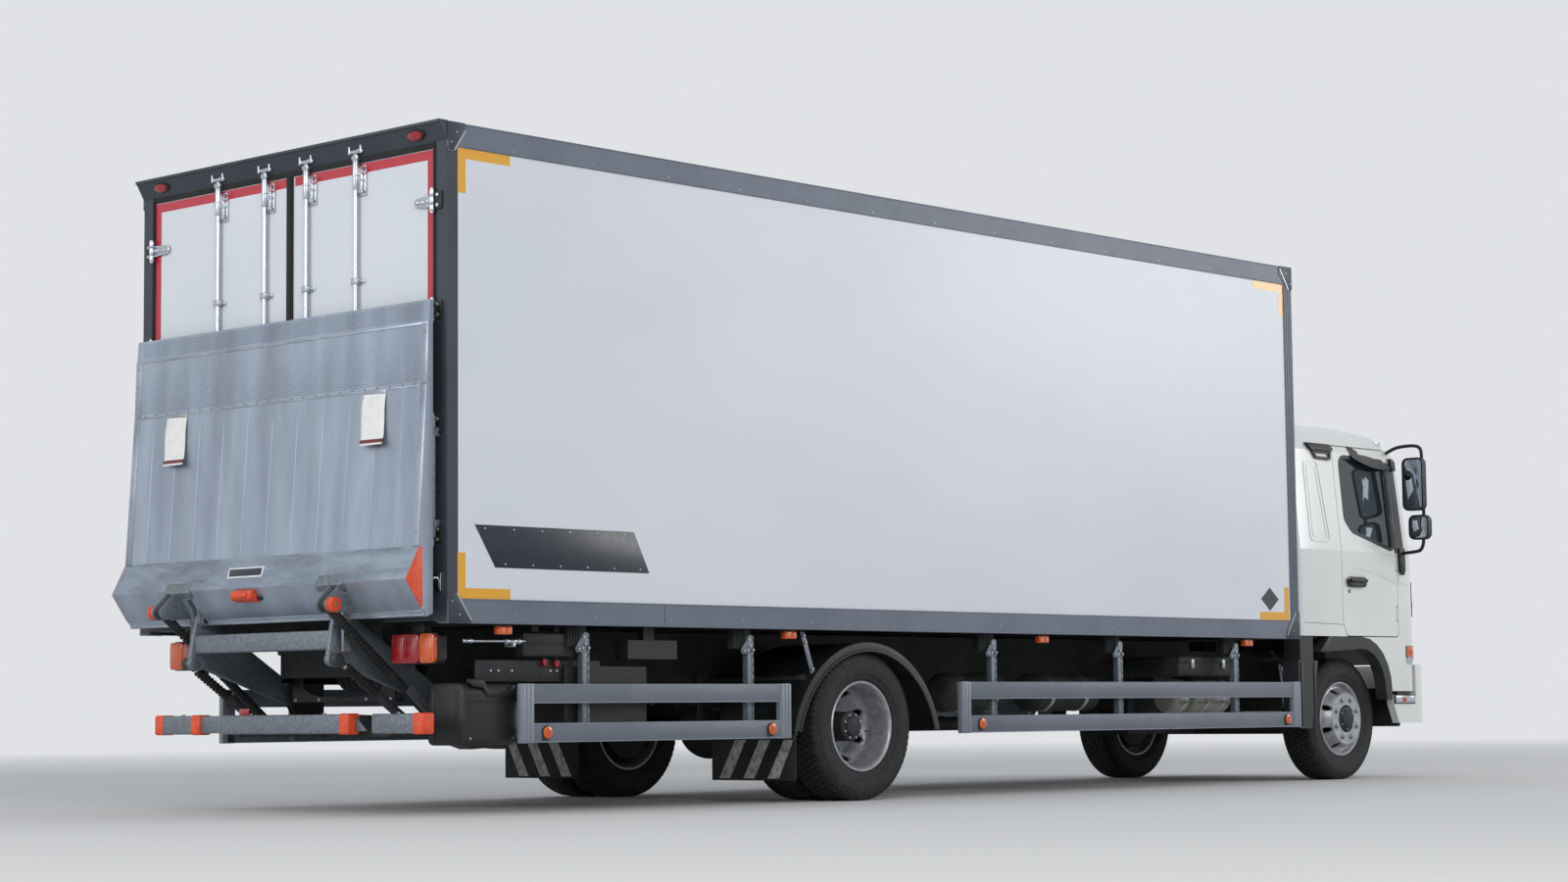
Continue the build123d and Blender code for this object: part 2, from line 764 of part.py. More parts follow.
def lift_frame():
    """Cross tube and the plates that carry the arms and cylinders, bolted to the chassis rails."""
    tube = block(lift_frame_x, lift_frame_x + 100, -790, 790, 400, 500)
    tube -= block(lift_frame_x + 8, lift_frame_x + 92, -790, 790, 408, 492)
    frame = tube
    arm_plate = [
        (arm_root[0] - 50, arm_root[1] - 50, 45), (arm_root[0] - 50, arm_root[1] + 50, 45),
        (arm_root[0] + 30, frame_top - 90), (lift_frame_x + 100, frame_top - 90), (lift_frame_x + 100, 400),
        (lift_frame_x, 400),
    ]
    outer_plate = [
        (arm_root[0] - 50, arm_root[1] - 20, 45), (arm_root[0] - 20, arm_root[1] + 55, 45),
        (arm_root[0] + 55, arm_root[1] + 30, 45), (lift_frame_x + 80, 500), (lift_frame_x, 400),
    ]
    lift_plate = [
        (lift_root[0] - 26, lift_root[1] - 26, 24), (lift_root[0] - 26, lift_root[1] + 26, 24),
        (lift_frame_x, 500), (lift_frame_x, 400),
    ]
    tilt_plate = [
        (tilt_root[0] - 26, tilt_root[1] - 26, 24), (tilt_root[0] - 26, tilt_root[1] + 26, 24),
        (lift_frame_x, 500), (lift_frame_x, 400),
    ]
    plates = [
        # outline, inner y, thickness, pins through it
        (arm_plate, frame_plate_inner, 20.0, [(arm_root, hinge_pin_radius)]),
        (outer_plate, arm_inner + arm_thickness + 5, 8.0, [(arm_root, hinge_pin_radius)]),
        (lift_plate, lift_line - 25, 8.0, [(lift_root, small_pin_radius)]),
        (lift_plate, lift_line + 17, 8.0, [(lift_root, small_pin_radius)]),
        (tilt_plate, tilt_line - 25, 8.0, [(tilt_root, small_pin_radius)]),
        (tilt_plate, tilt_line + 17, 8.0, [(tilt_root, small_pin_radius)]),
    ]
    for side in (1, -1):
        for shape, inner, thickness, pins in plates:
            plate = side_plate(shape, inner, inner + thickness)
            for pin, radius in pins:
                plate -= cross_rod(*pin, radius + pin_gap, inner - 5, inner + thickness + 5)
            frame += plate if side > 0 else mirrored(plate)
        bracket = block(arm_root[0] + 60, lift_frame_x + 80, frame_half, frame_plate_inner, 720, 800)
        frame += bracket if side > 0 else mirrored(bracket)
    return frame


tilt_barrel_length = 456.0
tilt_sleeve_length = 237.0
lift_barrel_length = 330.0
lift_sleeve_length = 90.0


def eye(centre, line, half, pin_radius):
    ring = cross_rod(*centre, eye_radius, line - half, line + half)
    if pin_radius:
        ring -= cross_rod(*centre, pin_radius, line - half, line + half)
    return ring


hose_arm_length = 330.0
hose_arm_width = 48.0
hose_arm_face = tilt_line + 31
hose_arm_thickness = 14.0


def tilt_pins():
    """Foot pins of the tilt cylinders, each with the arm that carries the cylinder's hoses along its barrel."""
    outer = hose_arm_face + hose_arm_thickness
    end = along(tilt_root, tilt_pin, hose_arm_length)
    arm = bar_between(tilt_root, end, hose_arm_width, hose_arm_face, outer)
    arm += cross_rod(*tilt_root, hose_arm_width / 2, hose_arm_face, outer)
    arm += cross_rod(*tilt_root, small_pin_radius, tilt_line - 25, hose_arm_face)
    return both_sides(arm)


def tilt_barrels():
    barrel = tube_between(along(tilt_root, tilt_pin, 36), along(tilt_root, tilt_pin, tilt_barrel_length), cylinder_radius, tilt_line)
    bore = tube_between(along(tilt_root, tilt_pin, 50), along(tilt_root, tilt_pin, tilt_barrel_length + 1),
                        piston_radius + pin_gap, tilt_line)
    neck = tube_between(along(tilt_root, tilt_pin, 20), along(tilt_root, tilt_pin, 40), 12, tilt_line)
    barrel = barrel - bore + neck + eye(tilt_root, tilt_line, 12, 0)
    barrel -= cross_rod(*tilt_root, small_pin_radius + pin_gap, tilt_line - 30, tilt_line + 30)
    return both_sides(barrel)


def tilt_rods():
    sleeve_end = along(tilt_pin, tilt_root, tilt_sleeve_length)
    length = hypot(tilt_pin[0] - tilt_root[0], tilt_pin[1] - tilt_root[1])
    rod = tube_between(along(tilt_pin, tilt_root, 20), along(tilt_pin, tilt_root, length - tilt_barrel_length + 90),
                       piston_radius, tilt_line)
    rod += tube_between(along(tilt_pin, tilt_root, 24), sleeve_end, cylinder_radius, tilt_line)
    rod += eye(tilt_pin, tilt_line, 24, 0)
    return both_sides(rod)


def lift_barrels():
    barrel = tube_between(along(lift_root, lift_ear, 36), along(lift_root, lift_ear, lift_barrel_length), cylinder_radius, lift_line)
    bore = tube_between(along(lift_root, lift_ear, 50), along(lift_root, lift_ear, lift_barrel_length + 1),
                        piston_radius + pin_gap, lift_line)
    neck = tube_between(along(lift_root, lift_ear, 10), along(lift_root, lift_ear, 40), 10, lift_line)
    pin = cross_rod(*lift_root, small_pin_radius, lift_line - 25, lift_line + 25)
    ring = cross_rod(*lift_root, eye_radius, lift_line - 12, lift_line + 12)
    return both_sides(barrel - bore + neck + pin + ring)


def lift_rods():
    length = hypot(lift_ear[0] - lift_root[0], lift_ear[1] - lift_root[1])
    rod = tube_between(along(lift_ear, lift_root, 20), along(lift_ear, lift_root, length - lift_barrel_length + 70),
                       piston_radius, lift_line)
    rod += tube_between(along(lift_ear, lift_root, 24), along(lift_ear, lift_root, lift_sleeve_length), cylinder_radius - 2, lift_line)
    rod += cross_rod(*lift_ear, eye_radius, lift_line - 24, lift_line + 22)
    return both_sides(rod)


bar_low = 420.0
bar_high = 522.0
bar_rear = -21.0
bar_depth = 80.0
bar_pieces = [(-542.0, 542.0), (725.0, 1130.0), (-1130.0, -725.0)]
bar_cap_width = 82.0


def underrun_bar():
    bars = None
    for y0, y1 in bar_pieces:
        start = y0 + bar_cap_width if y0 < 0 else y0
        end = y1 - bar_cap_width if y1 > 0 else y1
        bar = block(bar_rear, bar_rear + bar_depth, start, end, bar_low, bar_high)
        bars = bar if bars is None else bars + bar
    for side in (1, -1):
        for y in (445.0, 775.0):
            stay = side_plate([(bar_rear + bar_depth, bar_low + 10), (bar_rear + bar_depth, bar_high),
                               (lift_frame_x, 500), (lift_frame_x, 400)], y, y + 10)
            bars += stay if side > 0 else mirrored(stay)
        beam = block(bar_rear + bar_depth, bar_rear + bar_depth + 20, 775, 840, bar_low + 10, bar_high)
        bars += beam if side > 0 else mirrored(beam)
    for cap in bar_caps():
        bars += cap
    return bars


def bar_cap(y0, y1):
    return block(bar_rear - 2, bar_rear + bar_depth + 2, y0, y1, bar_low - 3, bar_high + 3)


def bar_caps():
    """Plastic caps on the ends of the middle piece and on the outer ends of the side pieces."""
    caps = []
    for y0, y1 in bar_pieces:
        if y0 < 0:
            caps.append(bar_cap(y0, y0 + bar_cap_width))
        if y1 > 0:
            caps.append(bar_cap(y1 - bar_cap_width, y1))
    return caps


def power_pack():
    box = block(900, 1500, -1180, -760, 440, 760)
    return box + block(1000, 1400, -760, -frame_half, 700, 760)


def control_box():
    box = block(1330, 1700, -1215, -1120, 800, 900)
    return box + block(1480, 1560, -1180, -1140, 900, lower_rail_bottom)


# Sides

guard_table = [
    # rear end, front end, lower plank bottom, upper plank bottom, plank height, posts
    (517.0, 2544.0, 366.0, 567.0, 100.0, (1005.0, 2254.0)),
    (4030.0, 7629.0, 377.0, 577.0, 102.0, (4383.0, 5649.0, 6927.0)),
]
guard_face = 1270.0
guard_depth = 34.0
guard_end = 90.0


def side_guard(side):
    pieces = None
    for rear, front, low, high, height, posts in guard_table:
        for z in (low, high):
            plank = block(rear, front, guard_face - guard_depth, guard_face, z, z + height)
            pieces = plank if pieces is None else pieces + plank
        for x in (rear, front - guard_end):
            pieces += block(x, x + guard_end, guard_face - guard_depth, guard_face, low, high + height)
        for x in posts:
            pieces += block(x - 25, x + 25, guard_face - guard_depth - 40, guard_face - guard_depth, low, 900)
            pieces += block(x - 25, x + 25, guard_face - guard_depth - 60, guard_face - guard_depth, 900, lower_rail_bottom)
    return pieces if side > 0 else mirrored(pieces)


mudguard_x = rear_axle_x + 26
mudguard_z = 260.0
mudguard_radius = 642.0
mudguard_sheet = 6.0
mudguard_low = 400.0
mudguard_inner = 640.0
mudguard_outer = 1250.0
mudguard_stay = 470.0
stay_height = 700.0


def rear_mudguards():
    """Arched sheets over the twin wheels, carried on tubes from the chassis rails."""
    cover = cross_rod(mudguard_x, mudguard_z, mudguard_radius, mudguard_inner, mudguard_outer)
    cover -= cross_rod(mudguard_x, mudguard_z, mudguard_radius - mudguard_sheet, mudguard_inner - 5, mudguard_outer + 5)
    cover -= block(mudguard_x - 700, mudguard_x + 700, mudguard_inner - 5, mudguard_outer + 5, -500, mudguard_low)
    stays = None
    for end in (-1, 1):
        bar = cross_rod(mudguard_x + end * mudguard_stay, stay_height, 16, frame_half, mudguard_outer - 60)
        stays = bar if stays is None else stays + bar
    return both_sides(cover + stays)


flap_x = rear_axle_x - 556.0
flap_low = 125.0
flap_high = 385.0
flap_inner = 560.0
flap_outer = 1215.0


def mud_flaps():
    """Rubber sheets behind the twin wheels, each on a tube hung from the chassis rail."""
    flap = block(flap_x - 4, flap_x + 4, flap_inner, flap_outer, flap_low, flap_high)
    hanger = spring_middle + spring_width / 2 + 6
    flap += cross_rod(flap_x, flap_high, 15, hanger, flap_outer)
    flap += block(flap_x - 20, flap_x + 20, hanger, hanger + 12, flap_high - 15, frame_bottom + 60)
    flap += block(flap_x - 20, flap_x + 20, frame_half, hanger, frame_bottom + 20, frame_bottom + 60)
    return both_sides(flap)


def tail_lamps():
    return both_sides(block(60, 150, 780, 1120, 773, 925) + block(60, 150, 900, 1000, 925, sill_low))


marker_places = [417.0, 2556.0, 4842.0, 7039.0]


def side_lamps():
    lamps = []
    for x in marker_places:
        lamps += both_sides(block(x - 55, x + 55, 1225, 1262, lower_rail_bottom - 52, lower_rail_bottom))
    return lamps


# Cab

cab_sections = [
    # height, half width, side face's front end, bulge of the front, back
    (cab_skirt, 1150.0, 9460.0, 90.0, cab_back),
    (1600.0, 1150.0, 9440.0, 90.0, cab_back),
    (2300.0, 1085.0, 9370.0, 90.0, cab_back + 10),
    (2440.0, 1010.0, 9190.0, 80.0, cab_back + 40),
    (2500.0, 860.0, 9010.0, 60.0, cab_back + 160),
]
front_corner = 260.0
back_corner = 80.0


def cab_section(height, half, front, bulge, back, inset):
    """One level cut through the cab, pulled in by inset all round: lines and arcs."""
    half -= inset
    front -= inset
    back += inset
    big = front_corner - inset
    small = max(back_corner - inset, 10)
    left = [(front - big, half), (front, half - big)]
    bend = big * (1 - cos(radians(45)))
    corner = (front - bend, half - bend)
    rear_bend = small * (1 - cos(radians(45)))
    z = height
    lines = [
        ThreePointArc((left[1][0], -left[1][1], z), (front + bulge, 0, z), (left[1][0], left[1][1], z)),
        ThreePointArc((left[1][0], left[1][1], z), (corner[0], corner[1], z), (left[0][0], left[0][1], z)),
        Line((left[0][0], left[0][1], z), (back + small, half, z)),
        ThreePointArc((back + small, half, z), (back + rear_bend, half - rear_bend, z), (back, half - small, z)),
        Line((back, half - small, z), (back, -half + small, z)),
        ThreePointArc((back, -half + small, z), (back + rear_bend, -half + rear_bend, z), (back + small, -half, z)),
        Line((back + small, -half, z), (left[0][0], -left[0][1], z)),
        ThreePointArc((left[0][0], -left[0][1], z), (corner[0], -corner[1], z), (left[1][0], -left[1][1], z)),
    ]
    return make_face(lines)


def cab_solid(inset):
    levels = []
    for number, (height, half, front, bulge, back) in enumerate(cab_sections):
        drop = inset if number == len(cab_sections) - 1 else 0
        levels.append(cab_section(height - drop, half, front, bulge, back, inset))
    return loft(levels, ruled=True)


door_outline = [
    (door_back, door_top, 40), (door_front, door_top, 40), (door_front, door_bottom, 30),
    (door_back + 50, door_bottom, 30), (door_back, door_bottom + 90, 60),
]
window_outline = [
    (8455.0, 2270.0, 60), (9030.0, 2262.0, 50), (9046.0, 1622.0, 40), (8530.0, 1746.0, 90), (8452.0, 1830.0, 60),
]
windscreen_outline = [
    (-1040.0, 1505.0, 60), (1040.0, 1505.0, 60), (985.0, 2225.0, 70), (-985.0, 2225.0, 70),
]


def grown(points, amount):
    """The outline moved outward by about amount, from its middle."""
    a_mid = (min(p[0] for p in points) + max(p[0] for p in points)) / 2
    b_mid = (min(p[1] for p in points) + max(p[1] for p in points)) / 2
    result = []
    for p in points:
        a = p[0] + (amount if p[0] > a_mid else -amount)
        b = p[1] + (amount if p[1] > b_mid else -amount)
        result.append((a, b) + tuple(p[2:]))
    return result


def door_prism(points):
    return side_plate(points, 900, 1300)


door_hinge_heights = [1120.0, 1480.0]
door_hinge_height = 96.0
door_hinge_radius = 9.0
door_hinge_pin = 5.0
door_axis_x = door_front - 10.0
door_axis_y = cab_width / 2 - 6.0


def hinge_pocket(low):
    """Space in the door's edge round one hinge."""
    inner = door_axis_y - door_hinge_radius - 6
    return block(door_axis_x - door_hinge_radius - 6, door_front + 10, inner, cab_width / 2 + 20,
                 low - 6, low + door_hinge_height + 6)


def hinge_arms(low):
    """Upper and lower knuckles on the cab's pillar with the pin between them."""
    third = door_hinge_height / 3
    arms = upright_rod(door_axis_x, door_axis_y, door_hinge_pin, low, low + door_hinge_height)
    for start in (low, low + 2 * third):
        arms += upright_rod(door_axis_x, door_axis_y, door_hinge_radius, start, start + third)
        arms += block(door_axis_x, door_front + shut_gap + 12, door_axis_y - 6, door_axis_y + 2, start, start + third)
    return arms


def hinge_knuckle(low):
    """Middle knuckle on the door."""
    third = door_hinge_height / 3
    start = low + third + pin_gap
    end = low + 2 * third - pin_gap
    knuckle_part = upright_rod(door_axis_x, door_axis_y, door_hinge_radius, start, end)
    knuckle_part += block(door_axis_x - door_hinge_radius - 7, door_axis_x, door_axis_y - door_hinge_radius,
                          door_axis_y + 3, start, end)
    return knuckle_part - upright_rod(door_axis_x, door_axis_y, door_hinge_pin + pin_gap, start - 1, end + 1)


def cab_hollow():
    return cab_solid(0) - cab_solid(cab_wall)


def cab_shell(skin):
    opening = door_prism(grown(door_outline, shut_gap))
    far_opening = side_plate(grown(door_outline, shut_gap), -1300, -900)
    arch = side_plate([(cab_back - 50, cab_skirt - 10), (cab_back - 50, cab_floor), (arch_x, cab_floor)]
                      + [(arch_x + arch_radius * sin(radians(a)), cab_skirt + arch_radius * cos(radians(a)))
                         for a in (15, 30, 45, 60, 75, 90)]
                      + [(arch_x + arch_radius, cab_skirt - 10)], -1300, 1300)
    screen = end_plate(windscreen_outline, 9000, 9700)
    front_gap = block(9000, 9700, -1300, 1300, cab_skirt - 10, 812)
    corner_keep = block(9000, 9262, 1000, 1300, cab_skirt - 20, 820)
    front_gap -= corner_keep + mirrored(corner_keep)
    shell = skin - opening - far_opening - arch - screen - front_gap
    for low in door_hinge_heights:
        arms = hinge_arms(low)
        shell = shell + arms + mirrored(arms)
    return shell


cover_gap = 24.0
cover_wall = 20.0
floor_sheet = 34.0


def cab_tray():
    """Cab floor between the walls, with the cover over the engine raised from it."""
    low = cab_floor + 6
    tray = cab_solid(cab_wall) & block(cab_back, 9600, -1200, 1200, low, low + floor_sheet)
    sill = block(door_back - 12, door_front + 12, cab_width / 2 - cab_wall - 8, 1200, low, low + floor_sheet)
    tray = tray - sill - mirrored(sill)
    cover_half = engine_half + cover_gap
    cover_top = engine_top + cover_gap
    hollow = block(engine_rear - cover_gap, engine_front + cover_gap, -cover_half, cover_half, low, cover_top)
    cover = block(engine_rear - cover_gap - cover_wall, engine_front + cover_gap + cover_wall,
                  -cover_half - cover_wall, cover_half + cover_wall, low, cover_top + cover_wall)
    return tray + cover - hollow


def cab_door(skin, side):
    door = skin & door_prism(door_outline)
    door -= door_prism(window_outline)
    for low in door_hinge_heights:
        door = door - hinge_pocket(low) + hinge_knuckle(low)
    door += block(8425, 8640, 1148, 1172, 1362, 1412)
    return door if side > 0 else mirrored(door)


def glass_skin():
    return cab_solid(glass_inset) - cab_solid(glass_inset + glass_thickness)


def door_glass(pane, side):
    sheet = pane & door_prism(grown(window_outline, -0.5))
    return sheet if side > 0 else mirrored(sheet)


def windscreen(pane):
    return pane & end_plate(grown(windscreen_outline, -0.5), 9000, 9700)


def dashboard():
    low = cab_floor + 6 + floor_sheet
    panel = side_plate([
        (9180, low), (9090, 1180, 30), (9010, 1300, 30), (8990, 1450, 40), (9200, 1500, 50), (9370, 1485), (9370, low),
    ], -940, 940)
    column = tube_between((9060, 1330), (8860, 1480), 28, 520)
    wheel = Pos(8860, 520, 1480) * Rot(0, -53, 0) * Torus(215, 15)
    spokes = Pos(8860, 520, 1480) * Rot(0, -53, 0) * (Box(60, 420, 18) + Box(30, 430, 12))
    return [panel, column + spokes + wheel - panel]


seat_gap = 0.3


def seats():
    """Each seat is a pedestal, a cushion and a back, laid face to face."""
    found = []
    low = cab_floor + 6 + floor_sheet
    for middle in (520.0, -520.0):
        found.append(block(8130, 8560, middle - 175, middle + 175, low, 1220 - seat_gap))
        found.append(side_plate([(8195, 1220), (8195, 1350, 20), (8620, 1380, 50), (8620, 1220, 30)],
                                middle - 250, middle + 250))
        found.append(side_plate([(8060, 1240), (7960, 2020, 40), (8060, 2040, 40), (8195 - seat_gap, 1420, 60),
                                 (8195 - seat_gap, 1240)], middle - 240, middle + 240))
    return found


grille_low = 1030.0
grille_high = 1440.0


def grille(skin):
    """Panel of level bars set into the front below the windscreen."""
    bars = None
    proud = cab_solid(-16) - cab_solid(-0.3)
    for step in range(6):
        z = grille_low + step * 72
        bar = proud & block(9300, 9700, -720, 720, z, z + 38)
        bars = bar if bars is None else bars + bar
    for y in (-720, 700):
        bars += proud & block(9300, 9700, y, y + 20, grille_low, grille_low + 5 * 72 + 38)
    return bars


bumper_corner = 300.0
bumper_wall = 55.0
bumper_low = 390.0
bumper_high = 806.0


def bumper_face(z, inset):
    half = cab_width / 2 - inset
    front = bumper_front - inset
    radius = bumper_corner - inset
    bend = radius * (1 - cos(radians(45)))
    back = 8990.0
    lines = [
        ThreePointArc((front, -half + radius, z), (front + bumper_bulge, 0, z), (front, half - radius, z)),
        ThreePointArc((front, half - radius, z), (front - bend, half - bend, z), (front - radius, half, z)),
        Line((front - radius, half, z), (back, half, z)),
        Line((back, half, z), (back, -half, z)),
        Line((back, -half, z), (front - radius, -half, z)),
        ThreePointArc((front - radius, -half, z), (front - bend, -half + bend, z), (front, -half + radius, z)),
    ]
    return make_face(lines)


def front_bumper():
    bumper = extrude(bumper_face(bumper_low, 0), amount=bumper_high - bumper_low, dir=(0, 0, 1))
    bumper -= extrude(bumper_face(bumper_low - 10, bumper_wall), amount=500, dir=(0, 0, 1))
    side_cut = block(8900, 9292, -1300, 1300, 590, 900)
    tail_cut = side_plate([(8900, 380), (8992, 530), (9066, 380)], -1300, 1300)
    bumper = bumper - side_cut - tail_cut
    for y in (-frame_half + 20, frame_half - 80):
        bumper += block(frame_front, 9632, y, y + 60, frame_bottom, 760)
    return bumper


def headlamps():
    lamps = []
    pocket = extrude(bumper_face(600, -6), amount=150, dir=(0, 0, 1))
    pocket -= extrude(bumper_face(590, 0), amount=200, dir=(0, 0, 1))
    lamp = pocket & block(9300, 9700, 640, 1010, 600, 750)
    lamps += both_sides(lamp)
    return lamps


def corner_lamps():
    skin = cab_solid(-14) - cab_solid(0)
    lamp = skin & block(9160, 9330, 900, 1300, 850, 935)
    return both_sides(lamp)


def arch_trims():
    """Dark strip round the front wheel arch, with the spray panel behind the wheel."""
    outer = arch_radius - 1
    inner = arch_radius - 95
    def ring(radius, angles):
        return [(arch_x + radius * sin(radians(a)), cab_skirt + radius * cos(radians(a))) for a in angles]
    strip = ring(outer, (0, 15, 30, 45, 60, 75, 90)) + [(arch_x + outer, 560), (arch_x + inner + 30, 560)]
    strip += ring(inner + 12, (90, 75, 60, 45, 30, 15, 0)) + [(8150, 892), (8070, 892), (8180, cab_floor - 1)]
    trim = side_plate(strip, 1060, 1150)
    spray = side_plate([(7806, 364), (7806, 830), (8050, 830), (8000, 600), (7960, 364)], 1010, 1140)
    spray += block(7830, 7990, 700, 1010, 830, 850)
    spray += block(7830, 7990, 1010, 1140, 830, cab_floor)
    return both_sides(trim) + both_sides(spray)


def cab_mounts():
    """Posts that carry the cab on the chassis rails."""
    posts = []
    for x in (7850.0, 9120.0):
        posts += both_sides(block(x, x + 80, 360, 430, frame_top, cab_floor + 6))
    return posts


mirror_x = 9130.0


def mirrors():
    arm_points = [
        (9100.0, 1050.0, 2326.0), (9130.0, 1160.0, 2372.0), (9130.0, 1290.0, 2372.0), (9130.0, 1345.0, 2300.0),
        (9130.0, 1352.0, 1720.0), (9130.0, 1310.0, 1612.0), (9140.0, 1130.0, 1604.0),
    ]
    path = FilletPolyline(*arm_points, radius=[20, 30, 40, 60, 40])
    section = Plane(path @ 0, z_dir=path % 0) * Circle(13)
    arm = sweep(section, path=path) - cab_solid(-pin_gap)
    large = side_plate([(9092, 1905, 30), (9092, 2285, 30), (9168, 2285, 35), (9168, 1905, 35)], 1205, 1375)
    small = side_plate([(9092, 1695, 30), (9092, 1872, 30), (9168, 1872, 35), (9168, 1695, 35)], 1250, 1410)
    return both_sides(arm + large + small)


def build_all():
    os.makedirs("parts", exist_ok=True)
    keep("chassis_frame", chassis_frame())
    keep("box_bearers", box_bearers())
    keep("box_floor", box_floor())
    keep("side_wall_left", side_wall(1))
    keep("side_wall_right", side_wall(-1))
    keep("front_wall", front_wall())
    keep("box_roof", box_roof())
    keep("edge_profiles", edge_profiles())
    keep("rear_frame", rear_frame())
    keep("rear_door_left", rear_door(1))
    keep("rear_door_right", rear_door(-1))
    keep("door_rods", *door_rods())
    keep("door_hinges", *door_hinges())
    keep("refrigeration_unit", refrigeration_unit())
    keep("tyre_front_left", tyre(front_axle_x, front_track / 2))
    keep("tyre_front_right", mirrored(tyre(front_axle_x, front_track / 2)))
    twin = [tyre(rear_axle_x, rear_inner_middle), tyre(rear_axle_x, rear_outer_middle)]
    keep("tyres_rear_left", *twin)
    keep("tyres_rear_right", *[mirrored(one) for one in twin])
    keep("rim_front_left", front_rim())
    keep("rim_front_right", mirrored(front_rim()))
    keep("rims_rear_left", rear_rims())
    keep("rims_rear_right", mirrored(rear_rims()))
    keep("front_axle", front_axle())
    keep("knuckle_left", knuckle(1))
    keep("knuckle_right", knuckle(-1))
    keep("track_rod", track_rod())
    keep("rear_axle", rear_axle())
    keep("leaf_springs", *leaf_springs())
    keep("driveline", propeller_shaft(), gearbox(), engine_block())
    keep("tanks_and_boxes", fuel_tank(), battery_box(), exhaust_box(), *air_tanks())
    keep("lift_frame", lift_frame())
    keep("lift_arms", lift_arms())
    keep("hinge_pins", *hinge_pins())
    keep("platform", platform())
    keep("platform_caps", *platform_caps())
    keep("warning_flags", *warning_flags())
    keep("tilt_pins", *tilt_pins())
    keep("tilt_barrels", *tilt_barrels())
    keep("tilt_rods", *tilt_rods())
    keep("lift_barrels", *lift_barrels())
    keep("lift_rods", *lift_rods())
    keep("underrun_bar", underrun_bar())
    keep("lift_controls", power_pack(), control_box())
    keep("side_guards", side_guard(1), side_guard(-1))
    keep("mudguards", *(rear_mudguards() + mud_flaps()))
    keep("lamps", *(tail_lamps() + side_lamps() + headlamps() + corner_lamps()))
    skin = cab_hollow()
    pane = glass_skin()
    keep("cab_shell", cab_shell(skin))
    keep("cab_floor", cab_tray())
    keep("cab_mounts", *cab_mounts())
    keep("cab_door_left", cab_door(skin, 1))
    keep("cab_door_right", cab_door(skin, -1))
    keep("door_glass_left", door_glass(pane, 1))
    keep("door_glass_right", door_glass(pane, -1))
    keep("windscreen", windscreen(pane))
    keep("dashboard", *dashboard())
    keep("seats", *seats())
    keep("grille", grille(skin))
    keep("front_bumper", front_bumper())
    keep("arch_trims", *arch_trims())
    keep("mirrors", *mirrors())


build_all()
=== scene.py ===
import math

import bmesh
import bpy
from mathutils import Matrix, Vector


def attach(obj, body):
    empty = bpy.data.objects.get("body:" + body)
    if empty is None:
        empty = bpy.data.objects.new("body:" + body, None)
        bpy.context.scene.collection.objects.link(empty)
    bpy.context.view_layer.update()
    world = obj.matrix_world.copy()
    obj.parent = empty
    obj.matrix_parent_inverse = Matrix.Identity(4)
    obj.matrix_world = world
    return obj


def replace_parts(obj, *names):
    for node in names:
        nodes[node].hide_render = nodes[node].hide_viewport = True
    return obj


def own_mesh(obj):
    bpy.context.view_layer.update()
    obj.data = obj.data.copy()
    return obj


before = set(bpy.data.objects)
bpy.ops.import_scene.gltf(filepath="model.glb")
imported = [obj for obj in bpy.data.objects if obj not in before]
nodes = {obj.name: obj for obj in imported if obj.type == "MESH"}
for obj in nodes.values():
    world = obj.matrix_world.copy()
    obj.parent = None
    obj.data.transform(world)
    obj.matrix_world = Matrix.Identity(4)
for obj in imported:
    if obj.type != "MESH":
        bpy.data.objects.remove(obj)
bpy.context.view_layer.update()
frameMiddle = 4.6755  # metres from the box's rear face to the middle of the truck


def at(x, y, z):
    # x is measured from the box's rear face, as in the part's own sizes
    return Vector((x - frameMiddle, y, z))


def linked(name, data):
    holder = bpy.data.objects.new(name, data)
    bpy.context.scene.collection.objects.link(holder)
    return holder


def meshOf(bm, name):
    mesh = bpy.data.meshes.new(name)
    bm.to_mesh(mesh)
    bm.free()
    return mesh


# camera: same place, tilt and lens as the photograph
camera = {"place": (-10.1232, -13.0257, 0.5099), "yaw": 0.8212, "pitch": 0.0877, "roll": -0.0099,
          "lens": 70.8}


def placeCamera():
    yaw, pitch, roll = camera["yaw"], camera["pitch"], camera["roll"]
    ahead = Vector((math.sin(yaw) * math.cos(pitch), math.cos(yaw) * math.cos(pitch), math.sin(pitch)))
    right = Vector((math.cos(yaw), -math.sin(yaw), 0))
    up = right.cross(ahead)
    tiltedRight = math.cos(roll) * right + math.sin(roll) * up
    tiltedUp = -math.sin(roll) * right + math.cos(roll) * up
    data = bpy.data.cameras.new("photoCamera")
    data.lens = camera["lens"]
    data.sensor_width = 36
    data.clip_end = 200
    holder = linked("photoCamera", data)
    turn = Matrix((tiltedRight, tiltedUp, -ahead)).transposed().to_4x4()
    holder.matrix_world = Matrix.Translation(at(*camera["place"])) @ turn
    bpy.context.scene.camera = holder


placeCamera()
print("camera placed")


# colours and nodes
def toLinear(hexColour):
    # the sRGB curve undone
    parts = [int(hexColour[i:i + 2], 16) / 255 for i in (1, 3, 5)]
    return tuple(p / 12.92 if p <= 0.04045 else ((p + 0.055) / 1.055) ** 2.4 for p in parts) + (1.0,)


def addNode(tree, kind, settings=None, links=None):
    node = tree.nodes.new(kind)
    for key, value in (settings or {}).items():
        if isinstance(key, int) or key in node.inputs:
            node.inputs[key].default_value = value
        else:
            setattr(node, key, value)
    for key, source in (links or {}).items():
        tree.links.new(source, node.inputs[key])
    return node


